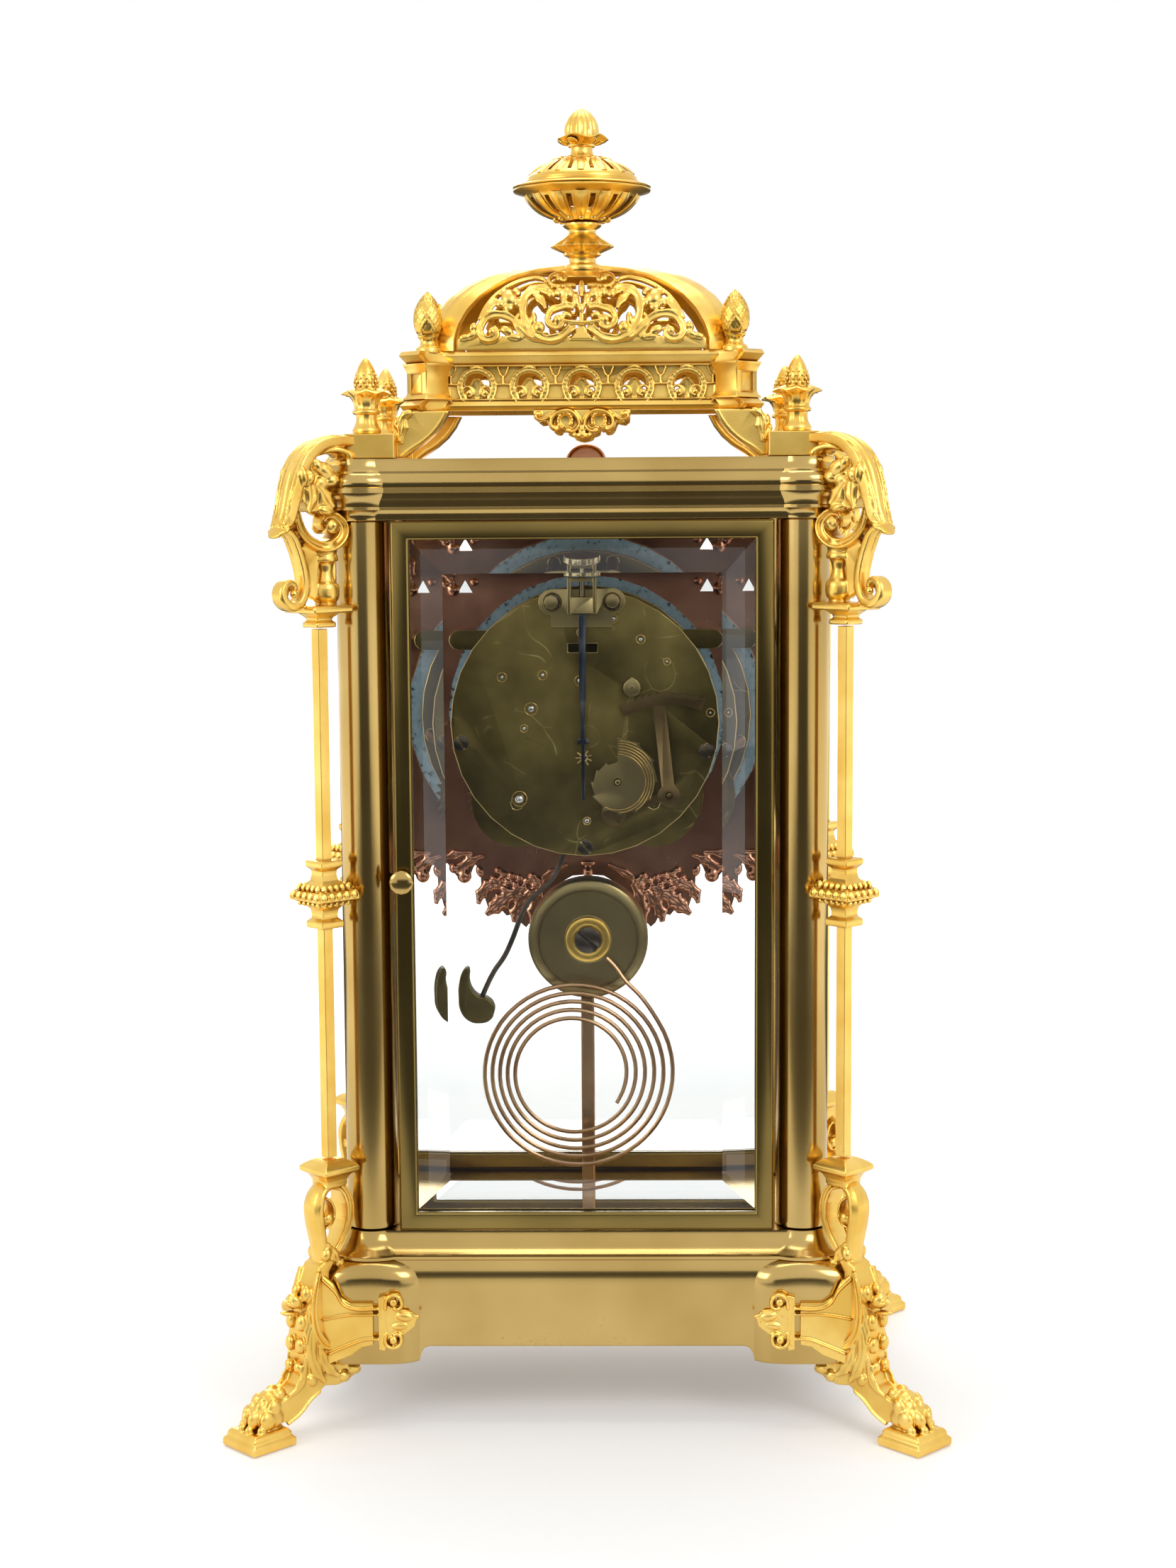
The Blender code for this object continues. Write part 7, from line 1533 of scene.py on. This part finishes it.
def snailRidges():  # turned lines that follow the cam's steps
    snail = {"x": -11.9, "z": 228.1, "high": 16.2, "low": 7.2, "steps": 12, "face": 15.0,
             "ridges": (15.2, 14.2, 13.2, 12.2, 11.2, 10.2)}
    step = (snail["high"] - snail["low"]) / (snail["steps"] - 1)
    parts = []
    for radius in snail["ridges"]:
        whole = int((snail["high"] - radius - 0.4) / step) + 1
        reach = 90 + whole * 360 / snail["steps"] - 3
        parts.append(bar(arcPath(snail["x"], snail["z"], radius, 93, reach, 4 * whole),
                         0.4, 0.16, roundSection))
    sheet = joined("ridges", parts)
    mount(settle(twin(sheet, planted(1, 1, 0, snail["face"]), "snail_ridges"), 40),
          "snail_cam", [], finishes["brass"])
    drop(sheet)


snailRidges()
print("movement dressed")


# gong: turned boss with an engraved line, screw, wire coil, hammer
def turnedAbout(profile, x, z, name):
    raw = turned(profile, sides=72)
    piece = settle(twin(raw, facing(x, z), name), 30, 0.000005)
    drop(raw)
    return piece


gong = {"x": -0.4, "z": 167.2, "radius": 22.4, "back": -14.0, "face": -2.0}
bossRows = [(gong["radius"], -1.4), (22.1, -0.6), (21.3, -0.1), (18.7, 0), (18.5, -0.35), (18.2, -0.35),
            (18.0, 0), (9.2, 0), (9.0, 0), (8.7, 0.1), (8.5, 1.0), (8.0, 1.35), (6.0, 1.4),
            (5.6, 0.9), (0.2, 0.8)]
boss = turnedAbout([(0.2, gong["back"]), (21.6, gong["back"]), (gong["radius"], gong["back"] + 0.8)]
                   + [(r, gong["face"] + off) for r, off in bossRows], gong["x"], gong["z"], "boss")
mount(boss, "case", ["gong_boss"], finishes["bossBrass"])
washer = turnedAbout([(5.0, -0.85), (5.7, -0.6), (7.8, -0.55), (8.3, -0.75), (8.55, -1.1), (8.6, -1.6),
                      (8.75, -1.9), (8.4, -1.95),
                      (5.0, -1.2)], gong["x"], gong["z"], "boss_washer")
mount(washer, "case", [], finishes["gilt"])
sheet = joined("screw_sheet", screwHead(gong["x"], gong["z"], 4.9, 1.5, 42, -0.6))
screw = settle(twin(sheet, planted(1, 1, 0, -0.9), "boss_screw"), 35)
drop(sheet)
mount(screw, "case", ["gong_screw"], finishes["steel"])
coil = softened("gong_coil", 0.05)
rounder = coil.modifiers.new("rounder", "SUBSURF")
rounder.levels = 1
applyAll(coil)
bpy.ops.object.shade_smooth()
mount(coil, "case", ["gong_coil"], finishes["gong"])
mount(softened("gong_post", 0.5), "case", ["gong_post"], finishes["gong"])


def hammerMaster():  # wire and horned head, drawn on the sheet about the arbor
    hammer = {"wire": [(0, 0), (4, -7), (7.2, -14), (10.9, -22.2), (14.5, -25.8), (19.6, -30.4),
                       (22.8, -36.4), (26.6, -46), (29.3, -51.6), (33.1, -57.1),
                       (38.4, -68.2)], "thick": 1.9,
              "half": 3.2, "edge": 0.6,
              "head": [(42.9, -55.4), (44.4, -56.4), (46.0, -60.8), (46.3, -66.3), (45.5, -71.8),
                       (42.4, -75.4), (38.3, -76.2), (34.7, -75.1), (33.1, -72.4), (33.3, -69.2),
                       (35.9, -66.6), (38.7, -65.9), (41.2, -63.5), (42.3, -59.8),
                       (42.2, -56.4)]}
    wire = bar(hammer["wire"], hammer["thick"], hammer["thick"] / 2, roundSection, steps=4)
    edge = curveObject(hammer["head"], True, True)
    edge.data.resolution_u = 5
    pick(edge)
    bpy.ops.object.convert(target="MESH")
    head = plate([(v.co.x, v.co.y) for v in edge.data.vertices], -hammer["half"], hammer["half"])
    drop(edge)
    return wire, bevelled(head, hammer["edge"], 3)


hammerX, hammerY, hammerZ = 1.5, 2.0, 213.0  # its arbor
onArm = carried((1, 0, 0, hammerX), (0, 0, 1, hammerY), (0, 1, 0, hammerZ))
for part, name, finish in zip(hammerMaster(), ("hammer_wire", "hammer_head"), ("steel", "plate")):
    mount(settle(twin(part, onArm, name), 50, 0.000005), "strike_hammer",
          ["hammer"] if name == "hammer_wire" else [], finishes[finish])
    drop(part)
print("gong made")


# dial mask with pressed grapes and leaves
mask = {"back": -33.75, "voxel": 0.38, "keep": 0.45}


def pressing():
    rows = [(20.6, 182.6), (23.4, 184.6), (26.4, 185.8), (29.6, 186.6), (32.6, 187.2), (22.2, 180.2),
            (25.0, 181.8), (28.0, 183.2), (31.0, 184.2), (34.0, 184.8), (26.4, 179.2), (29.4, 180.4),
            (32.4, 181.6), (35.4, 182.2), (18.6, 184.6), (21.4, 186.4),
            (36.4, 185.4), (34.6, 188.6)]
    half = [ball(x, y, 0, (1.75, 1.65, 1.9), 0, 10) for x, y in rows]
    half += [
        leaf([(26, 182), (31, 178.5), (35.5, 174.8), (39.4, 171.4)], [1.6, 4.2, 4.4, 1.2], 1.9, 0, 4, 1.4),
        leaf([(34, 184), (38.4, 182.6), (41.2, 179.4), (42.4, 175.6)], [1.4, 3.2, 3.0, 1.0], 1.8, 0, 3, 1.4),
        leaf([(22, 181), (25.6, 176.4), (28.0, 171.8), (28.6, 168.4)], [1.4, 3.4, 3.2, 1.2], 1.8, 0, 3, 1.4),
        leaf([(17, 183.5), (19.6, 178.4), (21.0, 172.6), (21.4, 167.6)],
             [1.2, 2.8, 3.4, 1.6], 1.8, 0, 3, 1.4),
        leaf([(8, 191), (14, 187.6), (19.6, 184.6), (25, 184)], [0.8, 2.0, 2.2, 1.2], 1.5, 0, 3, 1.2),
        leaf([(40, 194.4), (45.2, 192.4), (48.6, 189.2), (49.0, 185.4)],
             [0.9, 2.8, 3.4, 1.4], 1.8, 0, 3, 1.4),
        leaf([(44.4, 195.6), (51.4, 194.8), (56.4, 193.0)], [0.8, 2.4, 1.0], 1.5, 0, 2, 1.2),
        leaf([(57, 196.6), (60.6, 193.6), (63.4, 190.2), (64.0, 186.8)],
             [0.9, 2.6, 3.0, 1.2], 1.7, 0, 3, 1.4),
        ball(47.6, 186.6, 0.4, (2.9, 3.0, 2.1)), ball(51.6, 189.6, 0.2, (2.0, 2.2, 1.7)),
        ball(63.0, 187.8, 0.4, (2.6, 2.8, 1.9)), ball(57.6, 193.4, 0.2, (2.0, 1.8, 1.6)),
        ball(41.6, 188.2, 0.2, (1.6, 2.6, 1.5), -20), ball(43.8, 192.4, 0.2, (1.4, 2.0, 1.4), 30),
        # top corner foliage round the vent
        leaf([(50.6, 298.8), (53.4, 303.6), (57.8, 307.8), (63.0, 311.4)],
             [1.0, 3.0, 3.4, 1.0], 1.8, 0, 3, 1.4),
        leaf([(54.0, 300.0), (58.8, 301.4), (62.8, 304.4), (65.6, 308.4)],
             [1.0, 2.6, 2.8, 0.9], 1.7, 0, 3, 1.4),
        leaf([(50.0, 301.6), (51.2, 306.4), (54.2, 311.4), (58.6, 315.4)],
             [1.0, 2.6, 2.8, 0.9], 1.7, 0, 3, 1.4),
        leaf([(62, 318), (63.4, 312), (65.2, 305), (65.8, 297)], [0.8, 1.9, 1.9, 0.8], 1.4, 0, 4, 1.2),
        leaf([(60, 318.4), (54, 317.6), (47.6, 316.4), (41, 316.2)], [0.8, 1.9, 1.9, 0.8], 1.4, 0, 4, 1.2),
        ball(50.6, 296.4, 0.3, (2.7, 2.5, 1.8)), ball(53.6, 298.8, 0.2, (1.9, 1.7, 1.6)),
        ball(42.6, 299.4, 0.2, (1.9, 1.6, 1.5)),
    ]
    middle = [ball(0, 187.9, 0.6, (2.1, 2.2, 1.8)), ball(0, 191.4, 0.2, (3.0, 1.4, 1.2)),
              ball(0, 172.2, 0.0, (5.0, 3.6, 1.8))]
    return cast("pressing", [*flipped(half), *middle], mask["voxel"], mask["keep"], 1)


pressed = pressing()
parts = [softened("dial_mask", 0, 1), settle(twin(pressed, planted(1, 1, 0, mask["back"])), 60, 0)]
drop(pressed)
gildFront(mount(joined("mask", parts), "case", ["dial_mask"], finishes["copper"]))
print("mask pressed")


# dial face: roman figures and minute track
dialLook = {"x": 0.0, "z": 249.4, "face": -33.0, "ink": 0.06, "outer": 46.6, "inner": 38.4, "track": 48.0,
            "thick": 0.55, "thin": 0.28, "hoops": (37.6, 47.9)}


def dialFigures():
    strokes = {"I": [(0, 0)], "V": [(-0.28, 0.3), (0.28, -0.3)], "X": [(0, 0.55), (0, -0.55)]}
    widths = {"I": 1.9, "V": 4.2, "X": 4.4}
    ink, outer, inner, track = (dialLook[key] for key in ("ink", "outer", "inner", "track"))
    figures = ["XII", "I", "II", "III", "IIII", "V", "VI", "VII", "VIII", "IX", "X", "XI"]
    parts = []
    for hour, text in enumerate(figures):
        span = sum(widths[c] for c in text)
        at = -span / 2
        for c in text:
            middle = at + widths[c] / 2
            at += widths[c]
            for shift, lean in strokes[c]:
                tilt = lean * 3.0
                x = middle + shift * 3.4
                thick = dialLook["thick"] if lean > 0 or c == "I" else dialLook["thin"]
                stroke = plate([(x - tilt - thick, outer), (x - tilt + thick, outer),
                                (x + tilt + thick, inner),
                                (x + tilt - thick, inner)], 0, ink)
                stroke.data.transform(Matrix.Rotation(math.radians(-30 * hour), 4, "Z"))
                parts.append(stroke)
    for minute in range(60):
        long = 1.9 if minute % 5 == 0 else 1.2
        half = 0.3 if minute % 5 == 0 else 0.12
        tick = plate([(-half, track), (half, track), (half, track + long), (-half, track + long)], 0, ink)
        tick.data.transform(Matrix.Rotation(math.radians(-6 * minute), 4, "Z"))
        parts.append(tick)
    for radius in dialLook["hoops"]:
        parts.append(hoop(0, 0, radius, 0.22, 0.05, 0.01, 90))
    return joined("figures", parts)


figures = dialFigures()
onDial = carried((1, 0, 0, dialLook["x"]), (0, 0, -1, dialLook["face"]), (0, 1, 0, dialLook["z"]))
mount(settle(twin(figures, onDial, "dial_figures"), 40, 0), "case", [], finishes["ink"])
drop(figures)
print("dial drawn")


# bevelled glass of the doors, drawn at the back and turned round for the front; it is thicker than real
# glass, so that its slope repeats the picture behind it as the photograph shows
def bevelledGlass(name, side):
    look = {"half": 67.1, "middle": 196.25, "halfHeight": 126.85,
            "levels": [(6.5, 39.4), (6.5, 41.2), (18.3, 46.2)]}  # in from the frame's edge, depth
    inset, y = look["levels"][0]
    nothingPicked()
    bpy.ops.mesh.primitive_plane_add(size=2, location=(0, y, look["middle"]), rotation=(math.pi / 2, 0, 0))
    piece = bpy.context.object
    piece.scale = (look["half"] - inset, look["halfHeight"] - inset, 1)
    bpy.ops.object.transform_apply(location=True, rotation=True, scale=True)
    bpy.ops.object.mode_set(mode="EDIT")
    bpy.ops.mesh.select_all(action="SELECT")
    for (inset, y), (nextInset, nextY) in zip(look["levels"], look["levels"][1:]):
        bpy.ops.mesh.extrude_region_move(TRANSFORM_OT_translate={"value": (0, nextY - y, 0)})
        bpy.ops.transform.resize(value=((look["half"] - nextInset) / (look["half"] - inset), 1,
                                        (look["halfHeight"] - nextInset) / (look["halfHeight"] - inset)),
                                 center_override=(0, nextY, look["middle"]))
    bpy.ops.object.mode_set(mode="OBJECT")
    piece.name = name
    piece.data.transform(Matrix.Scale(mm, 4) @ Matrix.Diagonal((side, side, 1, 1)))
    settle(piece, 1, 0)
    return piece


for side, leafBody in ((1, "back_door"), (-1, "front_door")):
    pane = bevelledGlass("bevelled_" + leafBody, side)
    mount(pane, leafBody, [leafBody + "_glass"], finishes["glass"])
print("doors glazed")
